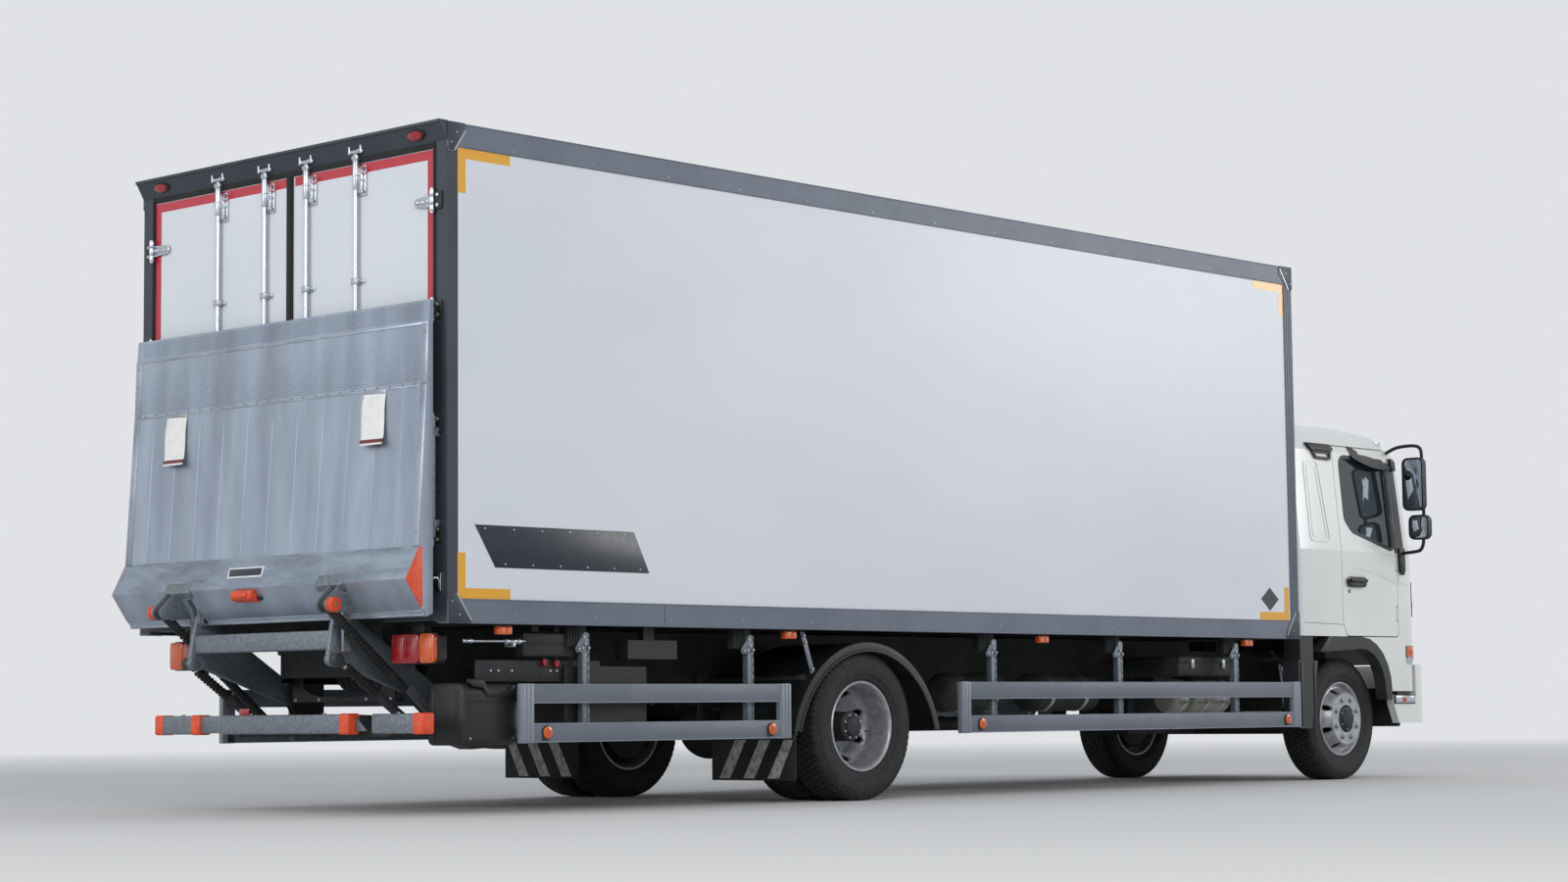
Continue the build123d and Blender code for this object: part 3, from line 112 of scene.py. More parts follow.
def startMaterial(name, colour, roughness, metallic=0.0, **sockets):
    material = bpy.data.materials.new(name)
    material.use_nodes = True
    tree = material.node_tree
    tree.nodes.clear()
    shader = addNode(tree, "ShaderNodeBsdfPrincipled",
                     {"Base Color": toLinear(colour), "Roughness": roughness, "Metallic": metallic})
    for socket, value in sockets.items():
        shader.inputs[socket.replace("_", " ")].default_value = value
    addNode(tree, "ShaderNodeOutputMaterial", links={"Surface": shader.outputs[0]})
    place = addNode(tree, "ShaderNodeTexCoord").outputs["Object"]
    return material, tree, shader, place


def stretched(tree, place, scale):
    # the same coordinates squeezed or drawn out along each axis
    return addNode(tree, "ShaderNodeMapping", {"Scale": scale}, {"Vector": place}).outputs[0]


def mathNode(tree, operation, first, second):
    return addNode(tree, "ShaderNodeMath", {"operation": operation}, {0: first, 1: second}).outputs[0]


def twoTone(tree, shader, pattern, first, second, low=0.35, high=0.65):
    ramp = addNode(tree, "ShaderNodeValToRGB", links={"Fac": pattern})
    ramp.color_ramp.elements[0].position = low
    ramp.color_ramp.elements[0].color = toLinear(first)
    ramp.color_ramp.elements[1].position = high
    ramp.color_ramp.elements[1].color = toLinear(second)
    tree.links.new(ramp.outputs[0], shader.inputs["Base Color"])


def roughBetween(tree, shader, pattern, low, high):
    spread = addNode(tree, "ShaderNodeMapRange", {"To Min": low, "To Max": high}, {"Value": pattern})
    tree.links.new(spread.outputs[0], shader.inputs["Roughness"])


def raised(tree, shader, height, distance, strength):
    bump = addNode(tree, "ShaderNodeBump", {"Strength": strength, "Distance": distance}, {"Height": height})
    tree.links.new(bump.outputs[0], shader.inputs["Normal"])


def noise(tree, place, size, detail=4.0, roughness=0.5):
    # size is the width of one patch in metres
    return addNode(tree, "ShaderNodeTexNoise", {"Scale": 1 / size, "Detail": detail, "Roughness": roughness},
                   {"Vector": place}).outputs[0]


# gel-coated glass-fibre sandwich panel: near white, smooth, a faint long wave from the mould
def gelCoat(name, light, dark):
    material, tree, shader, place = startMaterial(name, light, 0.38, IOR=1.5, Coat_Weight=0.15,
                                                  Coat_Roughness=0.25)
    wave = noise(tree, stretched(tree, place, (0.5, 1, 1)), 0.9, 2)
    twoTone(tree, shader, wave, dark, light, 0.3, 0.7)
    roughBetween(tree, shader, noise(tree, place, 0.05, 5), 0.32, 0.46)
    raised(tree, shader, wave, 0.0015, 0.25)
    return material


boxPanel = gelCoat("gelCoatPanel", "#d6dae0", "#cfd4db")
unitShell = gelCoat("mouldedUnitShell", "#cfd3d8", "#c8ccd2")


# powder-coated aluminium extrusion: blue grey, even, a fine orange-peel skin
def powderCoat(name, light, dark, roughness=0.45):
    material, tree, shader, place = startMaterial(name, light, roughness, IOR=1.5)
    patches = noise(tree, place, 0.35, 5)
    twoTone(tree, shader, patches, dark, light, 0.35, 0.6)
    roughBetween(tree, shader, noise(tree, place, 0.03, 3), roughness - 0.06, roughness + 0.08)
    raised(tree, shader, noise(tree, place, 0.006, 2), 0.0004, 0.3)  # peel drawn coarser than its real 2 mm
    return material


bluePowder = powderCoat("powderCoatBlueGrey", "#636c7a", "#5b6472")
slatePowder = powderCoat("powderCoatSlate", "#303842", "#2a313a", 0.5)
guardPowder = powderCoat("powderCoatGuard", "#666d78", "#5e6570", 0.42)


# two-coat truck enamel: clear gloss over solid colour
def enamel(name, light, dark):
    roughness = 0.22
    material, tree, shader, place = startMaterial(name, light, roughness, IOR=1.5, Coat_Weight=0.7,
                                                  Coat_Roughness=0.06)
    patches = noise(tree, place, 0.6, 3)
    twoTone(tree, shader, patches, dark, light)
    roughBetween(tree, shader, noise(tree, place, 0.04, 4), roughness - 0.04, roughness + 0.1)
    return material


cabEnamel = enamel("cabEnamelWhite", "#dcdddc", "#d5d6d4")


# chassis paint: black, half matt, with pale road dust lying on it
def dustyBlack(name, colour, dust, amount=0.55, roughness=0.6):
    material, tree, shader, place = startMaterial(name, colour, roughness, IOR=1.5)
    film = noise(tree, place, 0.18, 8, 0.65)
    twoTone(tree, shader, film, colour, dust, amount - 0.08, amount + 0.3)
    roughBetween(tree, shader, film, roughness - 0.1, roughness + 0.25)
    raised(tree, shader, noise(tree, place, 0.012, 3), 0.0006, 0.3)
    return material


chassisPaint = dustyBlack("chassisPaintBlack", "#17191b", "#45423d")
blackPlastic = dustyBlack("mouldedBlackPlastic", "#101214", "#2c2d2d", 0.6, 0.45)
greyPlastic = dustyBlack("mouldedDarkGreyPlastic", "#2b2e31", "#3b3d3e", 0.55, 0.5)
moulding = dustyBlack("grainedArchMoulding", "#26292c", "#36383a", 0.6, 0.55)
gasketRubber = dustyBlack("extrudedGasketRubber", "#0b0c0d", "#1f2021", 0.65, 0.7)
flapRubber = dustyBlack("cutRubberSheet", "#111214", "#36342f", 0.5, 0.8)


# hot-dip galvanised steel: grey with flat crystals about 12 mm wide
def galvanised(name, light, dark):
    material, tree, shader, place = startMaterial(name, light, 0.5, 0.55)
    cells = addNode(tree, "ShaderNodeTexVoronoi", {"Scale": 1 / 0.012}, {"Vector": place}).outputs["Color"]
    cellGrey = addNode(tree, "ShaderNodeRGBToBW", links={"Color": cells}).outputs[0]
    twoTone(tree, shader, cellGrey, dark, light, 0.2, 0.8)
    roughBetween(tree, shader, noise(tree, place, 0.08, 5), 0.4, 0.62)
    return material


zincSteel = galvanised("galvanisedSteel", "#7d858d", "#6a7179")


# extruded aluminium board: upright planks, drawn lines and a grey film of handling
def boardAluminium():
    material, tree, shader, place = startMaterial("millFinishAluminiumBoard", "#8f99a6", 0.4, 0.55)
    plank = noise(tree, stretched(tree, place, (0.0, 1.0, 0.02)), 0.23, 1)
    smear = noise(tree, stretched(tree, place, (1.0, 1.0, 0.22)), 0.16, 6, 0.6)
    both = mathNode(tree, "ADD", plank, smear)
    half = addNode(tree, "ShaderNodeMath", {"operation": "MULTIPLY", 1: 0.5}, {0: both}).outputs[0]
    twoTone(tree, shader, half, "#8791a0", "#a3aebc", 0.36, 0.64)
    drawn = noise(tree, stretched(tree, place, (1.0, 1.0, 0.01)), 0.004, 2)  # drawing lines, drawn at 4 mm
    roughBetween(tree, shader, smear, 0.3, 0.52)
    raised(tree, shader, drawn, 0.0004, 0.25)
    return material


def polishedAluminium():
    # rolled tread edge, rubbed bright by loads, with dark smears
    material, tree, shader, place = startMaterial("rubbedAluminiumEdge", "#9aa6b6", 0.28, 0.85)
    smear = noise(tree, stretched(tree, place, (1.0, 0.25, 1.0)), 0.12, 7, 0.65)
    twoTone(tree, shader, smear, "#6d7887", "#a2adbb", 0.3, 0.66)
    roughBetween(tree, shader, smear, 0.16, 0.42)
    return material


boardMetal = boardAluminium()
edgeMetal = polishedAluminium()


def bareMetal(name, colour, roughness, metallic=1.0, streak=(1, 1, 1)):
    material, tree, shader, place = startMaterial(name, colour, roughness, metallic)
    lines = noise(tree, stretched(tree, place, streak), 0.02, 4)
    roughBetween(tree, shader, lines, roughness - 0.05, roughness + 0.1)
    return material


rodSteel = bareMetal("drawnStainlessTube", "#b9bec6", 0.22, 0.9, (1, 1, 0.05))
chromeSteel = bareMetal("chromedPistonRod", "#c9ccd0", 0.12)
boltSteel = bareMetal("zincPlatedBolt", "#9da2a8", 0.35, 0.85)


def wheelPaint():
    # silver sprayed wheel steel with brake dust in the dish
    material, tree, shader, place = startMaterial("silverWheelPaint", "#9b9ca0", 0.36, 0.45, Coat_Weight=0.3)
    dust = noise(tree, place, 0.05, 6, 0.6)
    twoTone(tree, shader, dust, "#8b8b8d", "#adafb4", 0.3, 0.7)
    roughBetween(tree, shader, dust, 0.3, 0.48)
    return material


wheelSilver = wheelPaint()


def tyreRubber():
    # carbon-black tyre rubber: matt, greyed by the road on the tread and the sidewall
    material, tree, shader, place = startMaterial("tyreRubber", "#1b1c1d", 0.78, IOR=1.5)
    dust = noise(tree, place, 0.07, 7, 0.62)
    twoTone(tree, shader, dust, "#1a1b1c", "#34332f", 0.45, 0.8)
    roughBetween(tree, shader, dust, 0.7, 0.9)
    raised(tree, shader, noise(tree, place, 0.008, 3), 0.0005, 0.3)
    return material


rubberTyre = tyreRubber()


# flexible or moulded PVC: even colour, a soft gloss
def mouldedPvc(name, light, dark, roughness=0.4):
    material, tree, shader, place = startMaterial(name, light, roughness, IOR=1.53)
    patches = noise(tree, place, 0.05, 5)
    twoTone(tree, shader, patches, dark, light, 0.3, 0.65)
    roughBetween(tree, shader, patches, roughness - 0.05, roughness + 0.12)
    return material


orangePvc = mouldedPvc("mouldedOrangePvc", "#e8522a", "#c8421f", 0.42)
flagPvc = mouldedPvc("softWhitePvc", "#e6e6e4", "#dcdcd9", 0.4)
darkRedPvc = mouldedPvc("softDarkRedPvc", "#6c1a22", "#5a141c", 0.4)
platePvc = mouldedPvc("plainWhitePlate", "#dadde0", "#d2d5d9", 0.3)


# retro-reflective film: sealed cells of about 3 mm, drawn at 9 mm so that they show
def reflectiveFilm(name, light, dark):
    material, tree, shader, place = startMaterial(name, light, 0.3, IOR=1.5, Coat_Weight=0.5,
                                                  Coat_Roughness=0.1)
    cells = addNode(tree, "ShaderNodeTexVoronoi", {"feature": "DISTANCE_TO_EDGE", "Scale": 1 / 0.009},
                    {"Vector": place}).outputs["Distance"]
    twoTone(tree, shader, cells, dark, light, 0.02, 0.12)
    return material


yellowFilm = reflectiveFilm("yellowReflectiveFilm", "#e3a410", "#d6960c")
redFilm = reflectiveFilm("redReflectiveFilm", "#bb1a33", "#a8152c")
blackFilm = mouldedPvc("blackPanelFilm", "#1d252f", "#19202a", 0.32)


# lamp lens: clear coloured acrylic with moulded ribs 8 mm apart
def lampLens(name, light, dark):
    material, tree, shader, place = startMaterial(name, light, 0.18, IOR=1.49, Coat_Weight=0.6,
                                                  Coat_Roughness=0.05)
    ribs = addNode(tree, "ShaderNodeTexWave", {"bands_direction": "Y", "Scale": 1 / 0.05}, {"Vector": place})
    twoTone(tree, shader, ribs.outputs["Color"], dark, light, 0.2, 0.8)
    raised(tree, shader, ribs.outputs["Color"], 0.002, 0.4)
    return material


amberLens = lampLens("amberLampLens", "#e0641c", "#b8430f")
redLens = lampLens("redLampLens", "#a8121c", "#7c0a12")
clearLens = lampLens("clearLampLens", "#c9d0d6", "#a3abb2")


def tintedGlassWithPaintedShade():
    # laminated safety glass, slightly green; its dark colour is painted shade of the cab behind it
    material, tree, shader, place = startMaterial("cabGlassTintAndPaintedShade", "#3c4a4c", 0.03, IOR=1.52,
                                                  Transmission_Weight=0.6, Coat_Weight=0.3)
    twoTone(tree, shader, noise(tree, place, 0.5, 2), "#36454a", "#435257")
    return material


cabGlass = tintedGlassWithPaintedShade()


def seatCloth():
    # woven seat cloth, threads drawn at 4 mm
    material, tree, shader, place = startMaterial("wovenSeatCloth", "#2a2d31", 0.9, Sheen_Weight=0.3)
    weave = addNode(tree, "ShaderNodeTexBrick", {"Scale": 1 / 0.02, "Mortar Size": 0.03}, {"Vector": place})
    twoTone(tree, shader, weave.outputs["Fac"], "#2f3338", "#1f2225", 0.2, 0.8)
    raised(tree, shader, noise(tree, place, 0.004, 2), 0.0006, 0.4)
    return material


clothSeat = seatCloth()


def mirrorGlass():
    material, tree, shader, place = startMaterial("mirrorGlass", "#a8b2bb", 0.04, 1.0)
    roughBetween(tree, shader, noise(tree, place, 0.03, 3), 0.02, 0.06)
    return material


glassMirror = mirrorGlass()
print("materials made")


# finishing of the nodes that keep their own shape
finishGroups = (
    (chassisPaint, "chassis_frame box_bearers front_axle rear_axle leaf_springs driveline "
                   "tanks_and_boxes lift_frame cab_mounts knuckle_left knuckle_right track_rod "
                   "tilt_barrels lift_barrels"),
    (greyPlastic, "box_floor cab_floor dashboard"),
    (boxPanel, "side_wall_left side_wall_right front_wall box_roof rear_door_left rear_door_right"),
    (bluePowder, "edge_profiles"),
    (slatePowder, "rear_frame"),
    (rodSteel, "door_rods"),
    (blackPlastic, "door_hinges lift_controls mudguards grille mirrors"),
    (unitShell, "refrigeration_unit"),
    (zincSteel, "underrun_bar lift_arms"),
    (guardPowder, "side_guards"),
    (amberLens, "lamps"),
    (cabEnamel, "cab_shell front_bumper cab_door_left cab_door_right"),
    (cabGlass, "windscreen door_glass_left door_glass_right"),
    (clothSeat, "seats"),
    (moulding, "arch_trims"),
    (wheelSilver, "rim_front_left rim_front_right rims_rear_left rims_rear_right"),
    (rubberTyre, "tyre_front_left tyre_front_right tyres_rear_left tyres_rear_right"),
    (boltSteel, "hinge_pins tilt_pins"),
    (boardMetal, "platform"),
    (orangePvc, "platform_caps"),
    (flagPvc, "warning_flags"),
    (chromeSteel, "tilt_rods lift_rods"),
)
nodeFinish = {name: finish for finish, names in finishGroups for name in names.split()}
for name, holder in nodes.items():
    finish = nodeFinish.get(name, greyPlastic)
    holder.data.materials.clear()
    holder.data.materials.append(finish)
print("nodes finished")


# mesh helpers: a plain tuple is measured from the box's rear face, a vector is already in the frame
hexSides = 6


def turns(count):
    # angles of a full turn in equal steps
    return [math.tau * step / count for step in range(count)]


def onFrame(point):
    return point if isinstance(point, Vector) else at(*point)


def soften(bm, edges, bevel, segments=2):
    bmesh.ops.bevel(bm, geom=edges, offset=bevel, offset_type="OFFSET", segments=segments, profile=0.5,
                    affect="EDGES", material=-1, clamp_overlap=True)


def pushOut(bm, faces, push):
    made = bmesh.ops.extrude_face_region(bm, geom=faces)
    verts = [g for g in made["geom"] if isinstance(g, bmesh.types.BMVert)]
    bmesh.ops.translate(bm, verts=verts, vec=push)


def paint(bm, known, slot):
    # material of the faces that are new
    for face in set(bm.faces) - known:
        face.material_index = slot


def turnOutward(bm, known):
    bmesh.ops.recalc_face_normals(bm, faces=list(set(bm.faces) - known))


def addBlock(bm, low, high, bevel=0.0, slot=0, segments=2):
    low, high = onFrame(low), onFrame(high)
    known = set(bm.faces)
    made = bmesh.ops.create_cube(bm, size=1, matrix=Matrix.Translation((low + high) / 2)
                                 @ Matrix.Diagonal(high - low).to_4x4())
    if bevel:
        edges = list({e for v in made["verts"] for e in v.link_edges})
        soften(bm, edges, bevel, segments)
    paint(bm, known, slot)


def alongLine(start, end):
    # matrix that carries +Z onto the line and its middle to the line's middle
    turn = (end - start).to_track_quat("Z", "Y").to_matrix().to_4x4()
    return Matrix.Translation((start + end) / 2) @ turn, (end - start).length


def addRod(bm, start, end, radius, steps=20, endRadius=None, slot=0, bevel=0.0):
    known = set(bm.faces)
    matrix, length = alongLine(onFrame(start), onFrame(end))
    bmesh.ops.create_cone(bm, cap_ends=True, cap_tris=False, segments=steps, radius1=radius,
                          radius2=radius if endRadius is None else endRadius, depth=length, matrix=matrix)
    if bevel:
        caps = [f for f in set(bm.faces) - known if len(f.verts) > 4]
        soften(bm, list({e for f in caps for e in f.edges}), bevel)
    paint(bm, known, slot)


def addBolt(bm, start, end, radius, slot=0, bevel=0.002):
    addRod(bm, start, end, radius, hexSides, slot=slot, bevel=bevel)


def addPlate(bm, corners, depth, slot=0, bevel=0.0):
    # flat outline pushed out by a depth vector
    known = set(bm.faces)
    face = bm.faces.new([bm.verts.new(c) for c in corners])
    pushOut(bm, [face], depth)
    turnOutward(bm, known)
    if bevel:
        soften(bm, list({e for f in set(bm.faces) - known for e in f.edges}), bevel)
    paint(bm, known, slot)


def addSlab(bm, outline, y, thick, slot=0, bevel=0.0):
    # outline in x and z, standing upright along the truck
    addPlate(bm, [at(a, y, b) for a, b in outline], Vector((0, thick, 0)), slot, bevel)


def addPanel(bm, outline, x, thick, slot=0, bevel=0.0, hand=1):
    # outline in y and z, facing along the truck
    addPlate(bm, [at(x, hand * a, b) for a, b in outline], Vector((thick, 0, 0)), slot, bevel)


def addFitted(bm, place, outline, off, push, slot=0, bevel=0.0):
    # outline laid on a curved skin by its placing function
    addPlate(bm, [place(a, b, off) for a, b in outline], push, slot, bevel)


def addTurned(bm, outline, centre, axis, steps=32, slot=0, closed=True):
    # outline of (radius, distance along the axis) turned into a ring or a solid
    known = set(bm.faces)
    axis = Vector(axis).normalized()
    across = axis.orthogonal().normalized()
    centre = Vector(centre)
    verts = [bm.verts.new(centre + across * r + axis * d) for r, d in outline]
    pairs = list(zip(verts, verts[1:])) + ([(verts[-1], verts[0])] if closed else [])
    edges = [bm.edges.new(pair) for pair in pairs]
    bmesh.ops.spin(bm, geom=verts + edges, cent=centre, axis=axis, angle=math.tau, steps=steps,
                   use_merge=True)
    freshVerts = list({v for f in set(bm.faces) - known for v in f.verts})
    bmesh.ops.remove_doubles(bm, verts=freshVerts, dist=0.00005)
    turnOutward(bm, known)
    paint(bm, known, slot)


def copyAcross(bm):
    # the same shapes on the other side of the truck
    known = list(bm.verts) + list(bm.edges) + list(bm.faces)
    copied = bmesh.ops.duplicate(bm, geom=known)["geom"]
    verts = [g for g in copied if isinstance(g, bmesh.types.BMVert)]
    faces = [g for g in copied if isinstance(g, bmesh.types.BMFace)]
    bmesh.ops.scale(bm, vec=(1, -1, 1), verts=verts)
    bmesh.ops.reverse_faces(bm, faces=faces)


def finishPiece(name, bm, materials, body="root", sharp=35):
    for face in bm.faces:
        face.smooth = True
    for edge in bm.edges:
        if len(edge.link_faces) == 2:
            edge.smooth = edge.calc_face_angle(0) < math.radians(sharp)
    piece = linked(name, meshOf(bm, name))
    for material in materials:
        piece.data.materials.append(material)
    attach(piece, body)
    return piece


# box: tapes, plates and rivets on the side walls
tapes = {"outer": 1.2952, "thick": 0.0006, "width": 0.053}
tapeCorners = [
    # corner x, corner z, end x, end z, all at the outer edges
    (0.07, 3.381, 0.425, 3.151), (0.068, 1.094, 0.422, 1.325),
    (7.486, 3.381, 7.135, 3.163), (7.474, 1.094, 7.129, 1.317),
]


def sideTapes():
    bm = bmesh.new()
    y = -tapes["outer"]
    for x, z, endX, endZ in tapeCorners:
        w = tapes["width"]
        inX = x + math.copysign(w, endX - x)
        inZ = z + math.copysign(w, endZ - z)
        outline = [(x, z), (endX, z), (endX, inZ), (inX, inZ), (inX, endZ), (x, endZ)]
        addSlab(bm, outline, y, -tapes["thick"])
    copyAcross(bm)
    return finishPiece("sideTapes", bm, [yellowFilm])


sideTapes()

blackPlate = {"corners": [(0.182, 1.469), (1.299, 1.47), (1.413, 1.254), (0.32, 1.255)], "thick": 0.003,
              "rivets": 6, "rivetRadius": 0.006}
diamond = {"middle": (7.248, 1.233), "halfWide": 0.103, "halfHigh": 0.078}


def sidePlates():
    bm = bmesh.new()
    y = -tapes["outer"]
    corners = blackPlate["corners"]
    addSlab(bm, corners, y, -blackPlate["thick"], bevel=0.001)
    top, low = (Vector(corners[0]), Vector(corners[1])), (Vector(corners[3]), Vector(corners[2]))
    for edge, shift in ((top, -0.018), (low, 0.018)):
        for step in range(blackPlate["rivets"]):
            share = (step + 0.35) / (blackPlate["rivets"] - 0.3)
            point = edge[0].lerp(edge[1], share)
            face = at(point.x, y - blackPlate["thick"], point.y + shift)
            addRod(bm, face, face + Vector((0, -0.003, 0)), blackPlate["rivetRadius"], 12, 0.003, 1)
    x, z = diamond["middle"]
    w, h = diamond["halfWide"], diamond["halfHigh"]
    outline = [(x - w, z), (x, z - h), (x + w, z), (x, z + h)]
    addSlab(bm, outline, y, -0.0012, slot=2)
    return finishPiece("sidePlates", bm, [blackFilm, boltSteel, blackFilm])


sidePlates()

rails = {"outer": 1.3, "bolts": 13, "boltPitch": 0.56, "boltStart": 0.45, "boltRadius": 0.007, "seam": 1.525}


def sideRails():
    # lips, joint and rivets on the extruded rails, and the return of the panel behind the rear pillar
    bm = bmesh.new()
    y = -rails["outer"]
    for z, high in ((1.0875, 0.0055), (3.3825, 0.0055), (0.97, 0.005), (3.4985, 0.004)):
        addBlock(bm, (0.11, y - 0.0022, z), (7.48, y + 0.002, z + high), 0.001)
    addBlock(bm, (rails["seam"] - 0.0012, y - 0.0008, 0.976), (rails["seam"] + 0.0012, y + 0.002, 1.087),
             slot=2)
    for step in range(rails["bolts"]):
        x = rails["boltStart"] + step * rails["boltPitch"]
        for z in (1.012, 3.405):
            addRod(bm, (x, y + 0.002, z), (x, y - 0.0035, z), rails["boltRadius"], 12, 0.004, 1)
    addBlock(bm, (0.072, -1.2951, 1.094), (0.104, -1.294, 3.3815), slot=3)
    copyAcross(bm)
    return finishPiece("sideRails", bm, [bluePowder, boltSteel, blackFilm, boxPanel])


sideRails()

cornerPost = {"back": 7.49, "front": 7.583, "flutes": 4, "low": 1.095, "high": 3.381, "side": -1.298,
              "raised": 0.72}


def cornerPosts():
    # fluted posts: raised ribs that take their share of each flute, with dark channels between them
    bm = bmesh.new()
    width = (cornerPost["front"] - cornerPost["back"]) / cornerPost["flutes"]
    low, high, side, raised = (cornerPost[key] for key in ("low", "high", "side", "raised"))
    for step in range(cornerPost["flutes"]):
        x = cornerPost["back"] + step * width
        addBlock(bm, (x, side - 0.0055, low), (x + width * raised, side, high), 0.002)
        y = side + width * (step + 0.3)
        addBlock(bm, (7.582, y, low), (7.5875, y + width * raised, high), 0.002)
    copyAcross(bm)
    return finishPiece("cornerPosts", bm, [bluePowder])


cornerPosts()

capPlates = [
    # outline in x and z of each corner plate, as seen from the side
    [(0.0, 0.968), (0.15, 0.968), (0.15, 0.985), (0.052, 1.12), (0.0, 1.12)],
    [(0.0, 3.508), (0.112, 3.508), (0.112, 3.47), (0.04, 3.362), (0.0, 3.362)],
    [(7.584, 0.968), (7.43, 0.968), (7.43, 0.99), (7.53, 1.15), (7.584, 1.15)],
    [(7.584, 3.508), (7.44, 3.508), (7.44, 3.49), (7.54, 3.352), (7.584, 3.352)],
]


def cornerPlates():
    # folded corner plates with a pale edge strip and two bolts
    bm = bmesh.new()
    for points in capPlates:
        addSlab(bm, points, -1.3045, -0.0022, bevel=0.0008)
        start, end = Vector(points[2]), Vector(points[3])
        along = (end - start).normalized()
        side = Vector((-along.y, along.x)) * 0.005
        strip = [start + side, end + side, end - side, start - side]
        addSlab(bm, strip, -1.3068, -0.0014, slot=1)
        for share in (0.25, 0.75):
            p = start.lerp(end, share) + (Vector(points[0]) - start) * 0.35
            addRod(bm, (p.x, -1.3067, p.y), (p.x, -1.3102, p.y), 0.006, 12, 0.0035, 1)
    copyAcross(bm)
    return finishPiece("cornerPlates", bm, [slatePowder, boltSteel])


cornerPlates()
print("box sides dressed")

# rear doors: tapes, seals, lock rods, hinges and lamps
rearDoors = {"face": 0.006, "tapeWide": 0.05, "outer": 1.189, "top": 3.3765, "low": 1.135,
             "centreLow": -0.046, "centreHigh": 0.005}


def doorTapes():
    bm = bmesh.new()
    x, w = rearDoors["face"], rearDoors["tapeWide"]
    top, low, outer = rearDoors["top"], rearDoors["low"], rearDoors["outer"]
    for side, inner in ((1, rearDoors["centreHigh"] + 0.012), (-1, rearDoors["centreLow"] - 0.012)):
        y0, y1 = inner, side * outer
        near = side * w
        outline = [(y0, top), (y1, top), (y1, low), (y0, low), (y0, low + w), (y1 - near, low + w),
                   (y1 - near, top - w), (y0, top - w)]
        addPanel(bm, outline, x - 0.0001, -0.0006)
    return finishPiece("doorTapes", bm, [redFilm])


def doorSeals():
    # extruded rubber seals: a flat foot with a round lip, all round both leaves
    bm = bmesh.new()
    low, high = 1.112, 3.412
    for side in (-1, 1):
        addBlock(bm, (-0.003, side * 1.1905, low), (0.008, side * 1.2135, high), 0.003)
        addRod(bm, (-0.003, side * 1.199, low), (-0.003, side * 1.199, high), 0.0055, 12)
    for z in (low - 0.004, 3.38):
        addBlock(bm, (-0.003, -1.205, z), (0.008, 1.205, z + 0.03), 0.003)
    addBlock(bm, (-0.005, rearDoors["centreLow"], 1.118), (0.0065, rearDoors["centreHigh"], 3.396), 0.003)
    addRod(bm, (-0.005, rearDoors["centreLow"] + 0.012, 1.12), (-0.005, rearDoors["centreLow"] + 0.012, 3.39),
           0.004, 12)
    return finishPiece("doorSeals", bm, [gasketRubber])


lockRods = {"lines": (0.59, 0.178, -0.178, -0.59), "x": -0.014, "radius": 0.0125, "low": 1.15, "high": 3.425}


def doorLocks():
    # lock rods with sleeves, cams, keepers and bolted brackets
    bm = bmesh.new()
    x, r = lockRods["x"], lockRods["radius"]
    for y in lockRods["lines"]:
        addRod(bm, (x, y, lockRods["low"]), (x, y, lockRods["high"]), r)
        for z, sign in ((3.395, 1), (1.16, -1)):
            addRod(bm, (x, y, z - sign * 0.155), (x, y, z), r + 0.006, bevel=0.002)
            addRod(bm, (x, y, z - sign * 0.085), (x, y, z - sign * 0.075), r + 0.01, bevel=0.002)
            zs = sorted((z - sign * 0.03, z - sign * 0.19))
            addBlock(bm, (-0.006, y - 0.068, zs[0]), (0.006, y - 0.01, zs[1]), 0.003)
            addBlock(bm, (-0.016, y - 0.05, zs[0] + 0.012), (-0.004, y - 0.018, zs[1] - 0.012), 0.004)
            for share in (0.12, 0.5, 0.88):
                z1 = zs[0] + (zs[1] - zs[0]) * share
                addBolt(bm, (-0.014, y - 0.052, z1), (-0.021, y - 0.052, z1), 0.009, bevel=0.0015)
            tip = z + sign * 0.026
            addBlock(bm, (x - 0.014, y - 0.026, min(z, tip)), (x + 0.012, y + 0.024, max(z, tip)), 0.004)
        # keeper on the header: a plate with two prongs that the cam turns behind
        addBlock(bm, (-0.03, y - 0.066, 3.428), (-0.01, y + 0.048, 3.446), 0.003)
        for shift in (-0.062, 0.03):
            addBlock(bm, (-0.034, y + shift, 3.424), (-0.008, y + shift + 0.014, 3.47), 0.003)
        addBolt(bm, (-0.03, y - 0.04, 3.44), (-0.038, y - 0.04, 3.44), 0.008, bevel=0.0015)
        for z in (1.72, 2.76):
            addBlock(bm, (x - 0.018, y - 0.022, z - 0.016), (0.006, y + 0.022, z + 0.016), 0.003)
            for shift in (-0.038, 0.038):
                addBlock(bm, (-0.003, y + shift - 0.016, z - 0.014), (0.006, y + shift + 0.016, z + 0.014),
                         0.002)
                addBolt(bm, (-0.003, y + shift, z), (-0.008, y + shift, z), 0.007, bevel=0.0)
    for y, reach in ((0.178, 0.3), (0.59, 0.26), (-0.178, -0.3), (-0.59, -0.26)):
        # flat handles, folded along the leaf behind the stowed board
        addBlock(bm, (-0.036, min(y, y + reach), 1.5), (-0.029, max(y, y + reach), 1.53), 0.003)
        addBlock(bm, (-0.026, y + reach * 0.93 - 0.02, 1.48), (0.006, y + reach * 0.93 + 0.02, 1.55), 0.003)
    piece = finishPiece("doorLocks", bm, [rodSteel])
    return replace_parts(piece, "door_rods")


def sealRings():
    bm = bmesh.new()
    for y in lockRods["lines"]:
        outline = [(0.018 + 0.003 * math.cos(a), 0.003 * math.sin(a)) for a in turns(8)]
        addTurned(bm, outline, at(-0.014, y - 0.062, 3.335), (0.35, 1, 0), 20)
    return finishPiece("sealRings", bm, [redFilm])


hinges = {"heights": (3.11, 2.55, 1.97, 1.415), "pin": 1.199, "nose": 1.05, "plate": 1.262}


